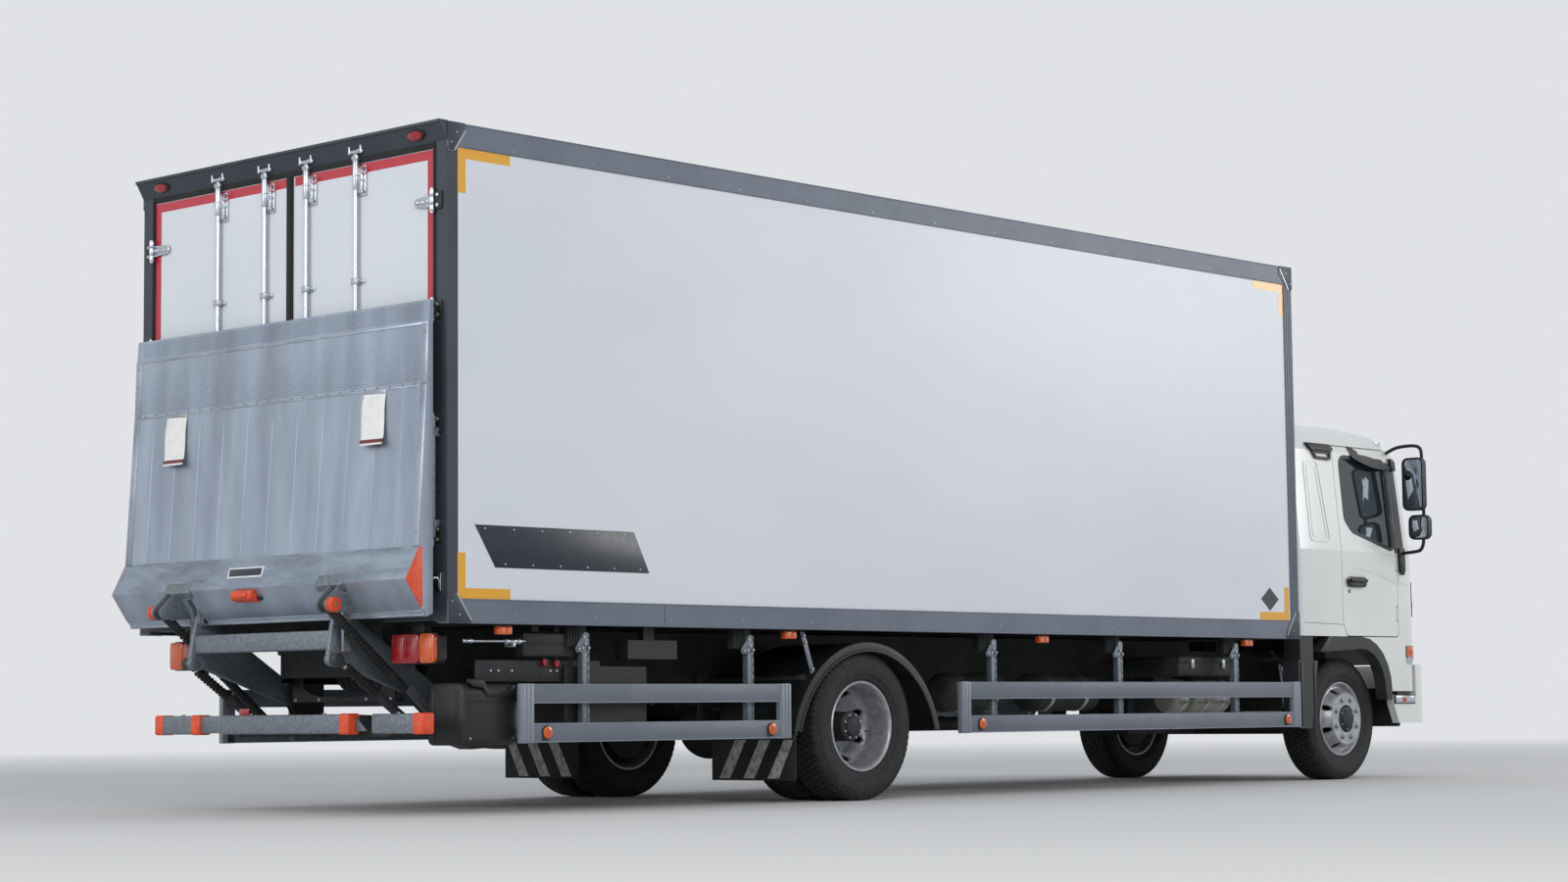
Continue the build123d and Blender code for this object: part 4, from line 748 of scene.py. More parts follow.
def doorHinges():
    # polished strap with a rounded nose, a pin in knuckles and a bolted plate on the pillar
    bm = bmesh.new()
    for z in hinges["heights"]:
        y = -hinges["pin"]
        strap = [(y - 0.004, z - 0.034)]
        strap += [(-hinges["nose"] - 0.022 + 0.022 * math.sin(a), z - 0.024 * math.cos(a))
                  for a in [math.pi * step / 8 for step in range(9)]]
        strap += [(y - 0.004, z + 0.034)]
        addPanel(bm, strap, -0.001, -0.009, bevel=0.003)
        addBlock(bm, (-0.014, y, z - 0.011), (-0.009, -hinges["nose"] - 0.03, z + 0.011), 0.003)
        for shift in (0.04, 0.082, 0.122):
            addBolt(bm, (-0.01, y + shift, z), (-0.019, y + shift, z), 0.01)
        addRod(bm, (-0.017, y, z - 0.064), (-0.017, y, z + 0.064), 0.009)
        for low, high in ((-0.058, -0.022), (-0.02, 0.02), (0.022, 0.058)):
            addRod(bm, (-0.017, y, z + low), (-0.017, y, z + high), 0.0145, bevel=0.002)
        addBlock(bm, (-0.01, -hinges["plate"], z - 0.046), (0.0, y + 0.004, z + 0.046), 0.004, 1)
        for shift in (-0.026, 0.026):
            addBolt(bm, (-0.009, y - 0.036, z + shift), (-0.019, y - 0.036, z + shift), 0.011)
    copyAcross(bm)
    piece = finishPiece("doorHinges", bm, [rodSteel, blackPlastic])
    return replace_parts(piece, "door_hinges")


holdBack = {"y": 1.226, "low": 1.4, "high": 2.01}


def pillarFittings():
    # upright galvanised tube between the lower hinges, and the chrome hook at the pillar's foot
    bm = bmesh.new()
    y = -holdBack["y"]
    addRod(bm, (-0.03, y, holdBack["low"]), (-0.03, y, holdBack["high"]), 0.0105, bevel=0.002)
    for z in (1.47, 1.925):
        addBlock(bm, (-0.036, y - 0.014, z - 0.018), (0.0, y + 0.014, z + 0.018), 0.003)
    addBlock(bm, (-0.012, y - 0.03, 1.128), (0.0, y + 0.02, 1.222), 0.004, 1)
    addRod(bm, (-0.012, y + 0.004, 1.2), (-0.045, y + 0.004, 1.192), 0.008, 16, slot=1, bevel=0.002)
    addRod(bm, (-0.045, y + 0.004, 1.196), (-0.047, y + 0.004, 1.136), 0.009, 16, slot=1, bevel=0.003)
    copyAcross(bm)
    return finishPiece("pillarFittings", bm, [zincSteel, chromeSteel])


headerLamps = {"y": 1.09, "z": 3.458, "x": -0.03, "halfWide": 0.055, "halfHigh": 0.024}


def rearHeader():
    # oval red lamps in dark bezels, and the gutter's lip
    bm = bmesh.new()
    normal = Vector((-0.86, 0, -0.51))
    upward = Vector((-0.51, 0, 0.86))
    for side in (-1, 1):
        middle = at(headerLamps["x"], side * headerLamps["y"], headerLamps["z"])
        for grow, depth, slot in ((1.28, 0.006, 1), (1.0, 0.016, 0)):
            ring = [middle - normal * 0.004 + Vector((0, 1, 0)) * math.cos(a) * headerLamps["halfWide"] * grow
                    + upward * math.sin(a) * headerLamps["halfHigh"] * grow
                    for a in turns(28)]
            addPlate(bm, ring, normal * (depth + 0.004), slot, 0.004 if slot == 0 else 0.0015)
    addBlock(bm, (-0.0592, -1.3, 3.5), (-0.05, 1.3, 3.5118), 0.002, 2)
    return finishPiece("rearHeader", bm, [redLens, blackPlastic, slatePowder])


doorTapes()
doorSeals()
doorLocks()
sealRings()
doorHinges()
pillarFittings()
rearHeader()
print("rear doors dressed")

# lift platform, stowed upright against the doors
board = {"half": 1.245, "slot": (0.565, 0.605), "slotTop": 1.14, "pin": (-0.115, 1.03),
         "ear": (-0.289, 1.073), "ribHalf": 1.19, "ribFrom": 2.19, "ribTo": 2.585, "ribPitch": 0.0125,
         "joints": 11, "jointPitch": 0.212, "rivets": 24, "rivetPitch": 0.1}
boardProfile = [
    # x and z down the outside and back up the load face
    (-0.0505, 2.5975), (-0.064, 2.5975), (-0.068, 2.592), (-0.0748, 2.481), (-0.078, 2.474), (-0.0848, 2.172),
    (-0.088, 2.166), (-0.1388, 1.353), (-0.143, 1.345), (-0.2245, 1.196), (-0.2272, 1.187), (-0.224, 1.18),
    (-0.122, 1.035), (-0.112, 1.03), (-0.104, 1.006), (-0.099, 1.0025), (-0.09, 1.0025), (-0.0505, 1.0185),
]


def between(table, z):
    # x of the board's outside at a height
    for (x0, z0), (x1, z1) in zip(table, table[1:]):
        if z1 <= z <= z0:
            return x0 + (x1 - x0) * (z0 - z) / (z0 - z1)
    return table[-1][0]


boardOutside = [(-0.067, 2.598), (-0.075, 2.479), (-0.085, 2.17), (-0.139, 1.351), (-0.228, 1.187),
                (-0.099, 1.002)]


def platformBoard():
    bm = bmesh.new()
    inner, outer = board["slot"]
    ribHalf = board["ribHalf"]
    spans = [(-board["half"], -outer), (-inner, inner), (outer, board["half"])]
    for y0, y1 in spans:
        addSlab(bm, boardProfile, y0, y1 - y0)
    upper = [p for p in boardProfile if p[1] > 1.36]
    x = between(boardOutside, board["slotTop"] + 0.05)
    closing = [(-0.0505, 2.5975)] + upper[1:] + [(-0.1388, 1.353), (-0.143, 1.345), (-0.216, 1.2115),
                                                (x + 0.02, board["slotTop"]), (-0.0505, board["slotTop"])]
    for y0, y1 in ((-outer, -inner), (inner, outer)):
        addSlab(bm, closing, y0, y1 - y0)
    for face in bm.faces:
        middle = face.calc_center_median()
        if face.normal.x < -0.3 and 1.19 < middle.z < 1.36:
            face.material_index = 1
    # fine ribs across the two upper bands, drawn at twice their real pitch
    z = board["ribFrom"]
    while z < board["ribTo"]:
        if not 2.466 < z < 2.492:
            x = between(boardOutside, z)
            addBlock(bm, (x - 0.0024, -ribHalf, z), (x + 0.004, ribHalf, z + 0.0055), 0.0012, segments=1)
        z += board["ribPitch"]
    addBlock(bm, (-0.0805, -1.243, 2.47), (-0.068, 1.243, 2.486), 0.003, 3)
    # plank joints: shallow upright beads
    for step in range(board["joints"]):
        y = -1.06 + step * board["jointPitch"]
        top, low = at(between(boardOutside, 2.15), y, 2.15), at(between(boardOutside, 1.362), y, 1.362)
        addRod(bm, low, top, 0.0028, 8)
    # side edge bars with their bolts
    for side in (-1, 1):
        for z0, z1 in ((2.17, 2.48), (1.352, 2.168)):
            shape = [(between(boardOutside, z1) - 0.006, z1), (between(boardOutside, z0) - 0.006, z0),
                     (between(boardOutside, z0) + 0.006, z0), (between(boardOutside, z1) + 0.006, z1)]
            y0 = side * 1.196 if side > 0 else side * 1.244
            addSlab(bm, shape, y0, 0.048, 3, 0.002)
        for z in (2.44, 2.345, 2.23, 2.12, 1.42):
            x = between(boardOutside, z) - 0.006
            addRod(bm, (x + 0.002, side * 1.219, z), (x - 0.006, side * 1.219, z), 0.0085, 12, 0.005, 2)
    # row of small rivets where the ribs end
    for step in range(board["rivets"]):
        y = -1.15 + step * board["rivetPitch"]
        addRod(bm, (-0.084, y, 2.176), (-0.0905, y, 2.176), 0.0045, 8, 0.003, 2)
    addBlock(bm, (-0.0905, -ribHalf, 2.16), (-0.08, ribHalf, 2.168), 0.002, 3)
    # lower extrusion: an open channel along the foot
    for y0, y1 in spans:
        addBlock(bm, (-0.118, y0, 1.0265), (-0.104, y1, 1.036), 0.002, 3)
        addBlock(bm, (-0.1065, y0, 1.004), (-0.099, y1, 1.0275), 0.002, 3)
    piece = finishPiece("platformBoard", bm, [boardMetal, edgeMetal, boltSteel, rootMetal],
                        "platform")
    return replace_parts(piece, "platform")


def platformLugs():
    # hinge plates and cylinder ears, galvanised, with the plates' welded tops on the sloping root
    bm = bmesh.new()
    px, pz = board["pin"]
    lug = [(px + 0.036 * math.cos(a), pz + 0.036 * math.sin(a) - 0.002) for a in
           [math.radians(step) for step in range(180, 361, 20)]]
    lug += [(px + 0.055, pz + 0.06), (px - 0.055, pz + 0.085)]
    tx, tz = board["ear"]
    ear = [(tx + 0.04 * math.cos(a), tz + 0.04 * math.sin(a)) for a in
           [math.radians(step) for step in range(120, 301, 20)]]
    ear += [(-0.25, 1.03), (-0.118, 1.045), (-0.188, 1.186), (-0.226, 1.186)]
    for y in (0.5455, 0.6055):
        addSlab(bm, lug, y, 0.019, bevel=0.002)
    for y in (0.6605, 0.7285):
        addSlab(bm, ear, y, 0.009, bevel=0.002)
    # folded cap over the ears' tops, on the root's ridge
    for y0, y1 in ((0.64, 0.758), (0.535, 0.64)):
        cap = [(-0.2285, 1.19), (-0.236, 1.176), (-0.214, 1.146), (-0.2045, 1.1525), (-0.224, 1.18),
               (-0.19, 1.2445), (-0.196, 1.2475)]
        addSlab(bm, cap, y0, y1 - y0, bevel=0.0015)
    for x, z, y in ((-0.2, 1.132, 0.6605), (-0.15, 1.09, 0.6605), (-0.2, 1.132, 0.7375),
                    (-0.15, 1.09, 0.7375)):
        addBolt(bm, (x, y + 0.008, z), (x, y - 0.008, z), 0.01, slot=1)
    for y0, y1 in ((0.5445, 0.535), (0.625, 0.634)):
        addRod(bm, (px, y0, pz), (px, y1, pz), 0.031, 28, bevel=0.003)
        addRod(bm, (px, min(y0, y1), pz), (px, max(y0, y1) + 0.002, pz), 0.02, 24, slot=1, bevel=0.002)
    copyAcross(bm)
    return finishPiece("platformLugs", bm, [zincSteel, boltSteel], "platform")


def platformEnds():
    # orange wedge plates on the root's ends and ribbed caps on the cylinder pins
    bm = bmesh.new()
    wedge = [(-0.1405, 1.352), (-0.2285, 1.187), (-0.13, 1.046), (-0.12, 1.056), (-0.12, 1.348)]
    addSlab(bm, wedge, -1.2452, -0.0036, bevel=0.001)
    for x, z in ((-0.135, 1.3), (-0.135, 1.09)):
        addRod(bm, (x, -1.2485, z), (x, -1.2515, z), 0.006, 12, 0.004, 1)
    centre = at(board["ear"][0], 0, board["ear"][1])
    profile = [(0, 0.738), (0.036, 0.738), (0.0385, 0.742), (0.0385, 0.752), (0.034, 0.754), (0.034, 0.757),
               (0.0395, 0.759), (0.0395, 0.772), (0.033, 0.779), (0.012, 0.7815), (0.011, 0.779), (0, 0.779)]
    addTurned(bm, [(r, -d) for r, d in profile], centre, (0, 1, 0), 36, closed=False)
    for a in turns(10):
        p = centre + Vector((math.cos(a) * 0.0362, 0, math.sin(a) * 0.0362))
        addRod(bm, p + Vector((0, -0.757, 0)), p + Vector((0, -0.777, 0)), 0.0035, 8, 0.002)
    addRod(bm, centre + Vector((0, -0.778, 0)), centre + Vector((0, -0.783, 0)), 0.01, 16, 0.007, 1)
    copyAcross(bm)
    piece = finishPiece("platformEnds", bm, [orangePvc, boltSteel], "platform")
    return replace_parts(piece, "platform_caps")


def footSwitchBlock():
    # orange moulded block under the root's ridge: a wedge with a flat top and a black lug
    bm = bmesh.new()
    y0, y1 = -0.02, 0.155
    lower = [(-0.224, 1.178), (-0.25, 1.158), (-0.246, 1.126), (-0.205, 1.112), (-0.176, 1.112)]
    addSlab(bm, lower, y0, y1 - y0, bevel=0.006)
    addBlock(bm, (-0.262, y0 + 0.03, 1.134), (-0.24, y1 - 0.03, 1.16), 0.006)
    addBlock(bm, (-0.205, y0 - 0.028, 1.122), (-0.17, y0 + 0.01, 1.14), 0.003, 1)
    return finishPiece("footSwitchBlock", bm, [orangePvc, blackPlastic], "platform")


def makerPlate():
    # bare white plate with a dark panel on the sloping root
    bm = bmesh.new()
    (x1, z1), (x0, z0) = boardOutside[3:5]
    slope = Vector((x1 - x0, 0, z1 - z0)).normalized()
    normal = Vector((-slope.z, 0, slope.x))
    middle = at(-0.1835, 0.105, 1.269)
    for wide, high, lift, slot in ((0.15, 0.032, 0.003, 0), (0.138, 0.022, 0.0042, 1)):
        outline = [middle + Vector((0, a * wide + b * 0.008, 0)) + slope * (b * high) for a, b in
                   ((-1, -1), (1, -1), (1, 1), (-1, 1))]
        addPlate(bm, outline, normal * lift, slot, 0.0008)
    return finishPiece("makerPlate", bm, [platePvc, blackFilm], "platform")


def foldedMetal():
    # mill-finish extrusion, brighter where it is folded and polished by use
    material, tree, shader, place = startMaterial("extrudedAluminiumFoot", "#99a2ae", 0.3, 0.7)
    drawn = noise(tree, stretched(tree, place, (1.0, 0.02, 1.0)), 0.006, 3)
    twoTone(tree, shader, noise(tree, place, 0.25, 5), "#8b95a2", "#a9b2be", 0.35, 0.65)
    roughBetween(tree, shader, drawn, 0.24, 0.42)
    raised(tree, shader, drawn, 0.0003, 0.2)
    return material


rootMetal = foldedMetal()
platformBoard()
platformLugs()
platformEnds()
footSwitchBlock()
makerPlate()
print("platform built")

flags = {"wide": 0.176, "long": 0.3, "y": (0.842, -0.842), "top": 2.16, "thick": 0.0024, "band": 0.03}


def warningFlags():
    # soft white PVC flags, hung from a clamp at the top and bowed out at the foot
    for y in flags["y"]:
        bm = bmesh.new()
        across, down = 12, 28
        bmesh.ops.create_grid(bm, x_segments=across, y_segments=down, size=0.5)
        for vert in bm.verts:
            s = vert.co.x + 0.5
            t = 0.5 - vert.co.y
            z = flags["top"] - t * flags["long"] * 0.93
            wall = between(boardOutside, z) - 0.004
            bow = 0.012 * math.sin(math.pi * min(t * 1.2, 1)) + 0.085 * max(0, t - 0.45) ** 1.6
            curl = 0.004 * math.sin(math.pi * t) * (s - 0.5) * 2
            sideways = 0.004 * math.sin(math.pi * t) - 0.022 * t ** 1.4
            vert.co = at(wall - bow - curl, y + (s - 0.5) * flags["wide"] + sideways, z)
        for face in bm.faces:
            low = face.calc_center_median().z < flags["top"] - 0.93 * (flags["long"] - flags["band"])
            high = face.calc_center_median().z > flags["top"] - 0.93 * (flags["long"] - 0.01)
            face.material_index = 1 if low and high else 0
        piece = finishPiece("warningFlag" + ("Left" if y > 0 else "Right"), bm, [flagPvc, darkRedPvc],
                            "platform", 180)
        thick = piece.modifiers.new("thickness", "SOLIDIFY")
        thick.thickness = flags["thick"]
        thick.offset = 0
        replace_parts(piece, "warning_flags")


def flagClamps():
    bm = bmesh.new()
    for y in flags["y"]:
        z = flags["top"]
        x = between(boardOutside, z)
        addBlock(bm, (x - 0.0085, y - 0.089, z - 0.02), (x + 0.001, y + 0.089, z + 0.006), 0.002)
        for shift in (-0.06, 0.06):
            addRod(bm, (x - 0.0085, y + shift, z - 0.006), (x - 0.0115, y + shift, z - 0.006), 0.005, 12,
                   0.003)
    return finishPiece("flagClamps", bm, [boltSteel], "platform")


warningFlags()
flagClamps()
print("flags hung")

# lift linkage
lift = {"armPin": board["pin"], "armRoot": (0.517, 0.614), "tiltPin": board["ear"],
        "liftEar": (-0.163, 0.801), "tiltRoot": (0.474, 0.44), "liftRoot": (0.36, 0.44), "tiltLine": 0.699,
        "liftLine": 0.63}
armProfile = [
    # x, z round one arm, with its hooked nose below the cross tube
    (-0.143, 1.06), (-0.115, 1.068), (-0.083, 1.055), (0.545, 0.652), (0.56, 0.62), (0.548, 0.575),
    (0.52, 0.562),
    (-0.098, 0.772), (-0.14, 0.76), (-0.172, 0.768), (-0.19, 0.792), (-0.193, 0.83), (-0.186, 0.87),
    (-0.176, 0.93), (-0.166, 0.985), (-0.152, 1.03),
]


def liftArmsPiece():
    bm = bmesh.new()
    addSlab(bm, armProfile, -0.6, 0.03, bevel=0.004)
    rx, rz = lift["armRoot"]
    for y in (-0.61, -0.568):
        addRod(bm, (rx, y - 0.002, rz), (rx, y + 0.008, rz), 0.042, 28, bevel=0.003)
    addRod(bm, (rx, -0.615, rz), (rx, -0.545, rz), 0.02, 24)
    px, pz = lift["armPin"]
    addRod(bm, (px, -0.6035, pz), (px, -0.5665, pz), 0.038, 28, bevel=0.003)
    ex, ez = lift["liftEar"]
    addRod(bm, (ex, -0.6045, ez), (ex, -0.566, ez), 0.034, 28, bevel=0.003)
    # stiffening flange along the arm's lower edge
    start, end = Vector((-0.09, 0.778)), Vector((0.5, 0.577))
    along = (end - start).normalized()
    drop = Vector((-along.y, along.x)) * -0.01
    strip = [start, end, end + drop, start + drop]
    addSlab(bm, strip, -0.606, 0.042, bevel=0.002)
    copyAcross(bm)
    # cross tube with its rounded long edges
    addBlock(bm, (-0.172, -0.571, 0.852), (-0.082, 0.571, 0.95), 0.01, segments=3)
    piece = finishPiece("liftArmsPiece", bm, [zincSteel], "lift_arms")
    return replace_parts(piece, "lift_arms")


def bellowsOutline(start, end, small, large, rings):
    # folds of a rubber gaiter between two distances along the rod
    outline = [(small - 0.003, start)]
    step = (end - start) / rings
    for ring in range(rings):
        base = start + ring * step
        outline += [(small, base + step * 0.12), (large, base + step * 0.4), (large, base + step * 0.62),
                    (small, base + step * 0.9)]
    return outline + [(small - 0.003, end)]


def alongRod(pinA, pinB, line):
    start, end = at(pinA[0], -line, pinA[1]), at(pinB[0], -line, pinB[1])
    return start, (end - start).normalized()


def rodGaiters(name, start, axis, span, rings, body):
    # rubber gaiters with folds along the rod, carried with the rod
    bm = bmesh.new()
    addTurned(bm, bellowsOutline(span[0], span[1], 0.0165, 0.0262, rings), start, axis, 28, closed=False)
    copyAcross(bm)
    piece = finishPiece(name, bm, [gasketRubber], body)
    tuple(axis)
    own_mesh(piece)


def tiltCylinders():
    start, axis = alongRod(lift["tiltRoot"], lift["tiltPin"], lift["tiltLine"])
    bm = bmesh.new()
    outline = [(0.0145, 0.046), (0.016, 0.036), (0.022, 0.04), (0.025, 0.05), (0.025, 0.3), (0.0235, 0.306),
               (0.0235, 0.44), (0.025, 0.446), (0.025, 0.456), (0.0145, 0.456)]
    addTurned(bm, outline, start, axis, 28)
    addRod(bm, start + axis * 0.02, start + axis * 0.045, 0.012, 16)
    addTurned(bm, [(0.0143, -0.012), (0.029, -0.012), (0.031, -0.01), (0.031, 0.01), (0.029, 0.012),
                   (0.0143, 0.012)], start, (0, 1, 0), 28)
    addBolt(bm, start + axis * 0.1 + Vector((0, -0.024, 0)), start + axis * 0.1 + Vector((0, -0.036, 0)),
            0.007, bevel=0.0)
    copyAcross(bm)
    piece = finishPiece("tiltBarrelsPiece", bm, [chassisPaint], "tilt_barrels")
    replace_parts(piece, "tilt_barrels")

    start, axis = alongRod(lift["tiltPin"], lift["tiltRoot"], lift["tiltLine"])
    bm = bmesh.new()
    addRod(bm, start + axis * 0.02, start + axis * 0.6, 0.014)
    addTurned(bm, [(0.0, 0.026), (0.024, 0.026), (0.0255, 0.032), (0.0255, 0.118), (0.022, 0.126),
                   (0.0, 0.126)], start, axis, 28, 1)
    addTurned(bm, [(0, -0.024), (0.029, -0.024), (0.031, -0.022), (0.031, 0.022), (0.029, 0.024), (0, 0.024)],
              start, (0, 1, 0), 28, 1)
    copyAcross(bm)
    piece = finishPiece("tiltRodsPiece", bm, [chromeSteel, chassisPaint], "tilt_rods")
    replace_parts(piece, "tilt_rods")
    rodGaiters("tiltGaiters", start, axis, (0.126, 0.544), 17, "tilt_rods")


def liftCylinders():
    start, axis = alongRod(lift["liftRoot"], lift["liftEar"], lift["liftLine"])
    bm = bmesh.new()
    outline = [(0.0145, 0.04), (0.012, 0.03), (0.019, 0.06), (0.025, 0.11), (0.025, 0.322), (0.023, 0.33),
               (0.0145, 0.33)]
    addTurned(bm, outline, start, axis, 28)
    addRod(bm, start + axis * 0.01, start + axis * 0.045, 0.012, 16)
    addRod(bm, start + Vector((0, -0.012, 0)), start + Vector((0, 0.012, 0)), 0.031, 28, bevel=0.002)
    addRod(bm, start + Vector((0, -0.0255, 0)), start + Vector((0, 0.0255, 0)), 0.0138)
    copyAcross(bm)
    piece = finishPiece("liftBarrelsPiece", bm, [greyPlastic], "lift_barrels")
    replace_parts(piece, "lift_barrels")

    start, axis = alongRod(lift["liftEar"], lift["liftRoot"], lift["liftLine"])
    bm = bmesh.new()
    addRod(bm, start + axis * 0.02, start + axis * 0.37, 0.014)
    addRod(bm, start + axis * 0.024, start + axis * 0.05, 0.02, slot=1)
    addRod(bm, start + Vector((0, -0.022, 0)), start + Vector((0, 0.024, 0)), 0.031, 28, slot=1, bevel=0.002)
    copyAcross(bm)
    piece = finishPiece("liftRodsPiece", bm, [chromeSteel, greyPlastic], "lift_rods")
    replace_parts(piece, "lift_rods")
    rodGaiters("liftGaiters", start, axis, (0.066, 0.328), 11, "lift_rods")


liftArmsPiece()
tiltCylinders()
liftCylinders()
print("lift linkage built")


def roundedRect(a0, a1, b0, b1, radius, steps=5):
    # outline of a rectangle with round corners
    points = []
    for ca, cb, start in ((a1 - radius, b1 - radius, 0), (a0 + radius, b1 - radius, 90),
                          (a0 + radius, b0 + radius, 180), (a1 - radius, b0 + radius, 270)):
        for step in range(steps + 1):
            angle = math.radians(start + 90 * step / steps)
            points.append((ca + radius * math.cos(angle), cb + radius * math.sin(angle)))
    return points


# underrun bar: three galvanised boxes with moulded end caps, on black stays
underrun = {"rear": -0.021, "front": 0.059, "low": 0.42, "high": 0.522, "cap": 0.078, "grow": 0.0035,
            "frame": 0.59, "plateLow": 0.404}
underrunParts = [
    # from y, to y, cap on the first end, cap on the second
    (-0.542, 0.542, True, False), (0.725, 1.13, True, True), (-1.13, -0.725, True, False),
]


def underrunBar():
    bm = bmesh.new()
    rear, front, low, high = underrun["rear"], underrun["front"], underrun["low"], underrun["high"]
    cap, grow = underrun["cap"], underrun["grow"]
    for y0, y1, capFirst, capSecond in underrunParts:
        addBlock(bm, (rear, y0 + 0.003, low), (front, y1 - 0.003, high), 0.01, segments=3)
        for fitted, start in ((capFirst, y0), (capSecond, y1 - cap)):
            if fitted:
                addBlock(bm, (rear - grow, start, low - grow), (front + grow, start + cap, high + grow),
                         0.013, 1, 3)
                middle = at(rear - grow, start + cap / 2, (low + high) / 2)
                addRod(bm, middle, middle + Vector((-0.002, 0, 0)), 0.006, 12, 0.004, 3)
    # recessed tube that links the left piece to the middle one
    addBlock(bm, (rear + 0.012, 0.54, low + 0.006), (front - 0.01, 0.728, high - 0.004), 0.008)
    gusset = [(-0.541, high - 0.01), (-0.541, low + 0.014), (-0.634, low + 0.014)]
    addPanel(bm, gusset, front - 0.03, 0.006, bevel=0.001)
    for y in (0.32, -0.3, -0.9, 0.92):
        addBolt(bm, (0.019, y, high - 0.001), (0.019, y, high + 0.007), 0.01, slot=3)
    for y in (0.445, 0.775, -0.455, -0.785):
        shape = [(front, low + 0.01), (front, high), (underrun["frame"], 0.5), (underrun["frame"], 0.4)]
        addSlab(bm, shape, y, 0.01, 2, 0.0015)
    for y in (0.775, -0.84):
        addBlock(bm, (front, y, low + 0.01), (front + 0.02, y + 0.065, high), 0.003, 2)
    addBlock(bm, (front + 0.03, -0.86, underrun["plateLow"]), (front + 0.038, 0.52, 0.446), 0.002, 2)
    # towing eye's foot under the middle
    addBlock(bm, (front + 0.012, -0.215, 0.398), (front + 0.06, -0.1, 0.424), 0.005, 2)
    addBlock(bm, (rear + 0.01, 0.3, high), (rear + 0.022, 0.385, high + 0.034), 0.003, 4)
    piece = finishPiece("underrunBarPiece", bm, [zincSteel, orangePvc, chassisPaint, boltSteel, redLens])
    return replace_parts(piece, "underrun_bar")


crossPlate = {"x": 0.384, "half": 0.432, "low": 0.588, "high": 0.868, "holeHalf": 0.346, "holeLow": 0.612,
              "holeHigh": 0.812, "thick": 0.008, "count": 48}


def rearCrossPlate():
    # pressed end plate of the chassis with an oval opening and a turned-in flange
    bm = bmesh.new()
    middle = (crossPlate["holeLow"] + crossPlate["holeHigh"]) / 2
    reach = (crossPlate["holeHigh"] - crossPlate["holeLow"]) / 2
    centreZ = (crossPlate["low"] + crossPlate["high"]) / 2
    halfHigh = (crossPlate["high"] - crossPlate["low"]) / 2
    loops = []
    for level in range(2):
        verts = []
        for a in turns(crossPlate["count"]):
            c, s = math.cos(a), math.sin(a)
            if level == 0:
                y = crossPlate["holeHalf"] * math.copysign(abs(c) ** 0.62, c)
                z = middle + reach * math.copysign(abs(s) ** 0.72, s)
            else:
                grow = 1 / max(abs(c), abs(s))
                y = crossPlate["half"] * c * grow
                z = centreZ + halfHigh * s * grow
            verts.append(bm.verts.new(at(crossPlate["x"], y, z)))
        loops += [bm.edges.new((verts[i - 1], verts[i])) for i in range(len(verts))]
    ring = bmesh.ops.bridge_loops(bm, edges=loops)["faces"]
    pushOut(bm, ring, (crossPlate["thick"], 0, 0))
    bmesh.ops.recalc_face_normals(bm, faces=list(bm.faces))
    addBlock(bm, (0.392, -0.43, 0.59), (0.45, 0.43, 0.598), 0.002)
    for y in (-0.4, -0.2, 0.2, 0.4):
        for z in (0.6, 0.848):
            addBolt(bm, (0.386, y, z), (0.378, y, z), 0.011, slot=1)
    # drum and hoses seen through the opening
    addRod(bm, (0.62, -0.22, 0.73), (0.62, 0.24, 0.73), 0.085, 28, slot=2, bevel=0.004)
    for step in range(9):
        y = -0.19 + step * 0.048
        addRod(bm, (0.62, y, 0.73), (0.62, y + 0.012, 0.73), 0.092, 28, slot=2)
    return finishPiece("rearCrossPlate", bm, [chassisPaint, boltSteel, greyPlastic])


underrunBar()
rearCrossPlate()
print("underrun bar built")

# lamps
tailLamp = {"inner": 0.782, "split": 0.995, "outer": 1.118, "low": 0.775, "high": 0.925, "back": 0.09,
            "deep": 0.024}


def tailLamps():
    # black tray with a red lens in two rounded windows and an amber one outside them
    bm = bmesh.new()
    low, high, back = tailLamp["low"], tailLamp["high"], tailLamp["back"]
    lenses = [(tailLamp["inner"], tailLamp["split"], 1), (tailLamp["split"] + 0.002, tailLamp["outer"], 2)]
    tray = roundedRect(tailLamp["inner"] - 0.005, tailLamp["outer"] + 0.005, low - 0.005, high + 0.005, 0.03)
    addPanel(bm, tray, back, 0.058, 0, 0.004, hand=-1)
    for y0, y1, slot in lenses:
        shape = roundedRect(y0, y1, low, high, 0.028)
        addPanel(bm, shape, back, -tailLamp["deep"], slot, 0.007, hand=-1)
    for y0, y1, slot in ((0.794, 0.884, 1), (0.894, 0.985, 1), (1.007, 1.107, 2)):
        shape = roundedRect(y0, y1, low + 0.012, high - 0.012, 0.024)
        face = back - tailLamp["deep"]
        addPanel(bm, shape, face + 0.001, -0.0045, slot, 0.003, hand=-1)
    for y in (0.8, 1.1):
        for z in (low + 0.006, high - 0.006):
            addRod(bm, (back - 0.02, -y, z), (back - 0.029, -y, z), 0.004, 10, 0.003, 3)
    addBlock(bm, (0.1, -1.0, high), (0.15, -0.9, 0.986), 0.003, 0)
    addBlock(bm, (0.12, -0.905, low - 0.04), (0.128, -0.84, low + 0.05), 0.002, 0)
    copyAcross(bm)
    piece = finishPiece("tailLampsPiece", bm, [blackPlastic, redLens, amberLens, boltSteel])
    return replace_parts(piece, "lamps")


markerPlaces = [0.417, 2.556, 4.842, 7.039]


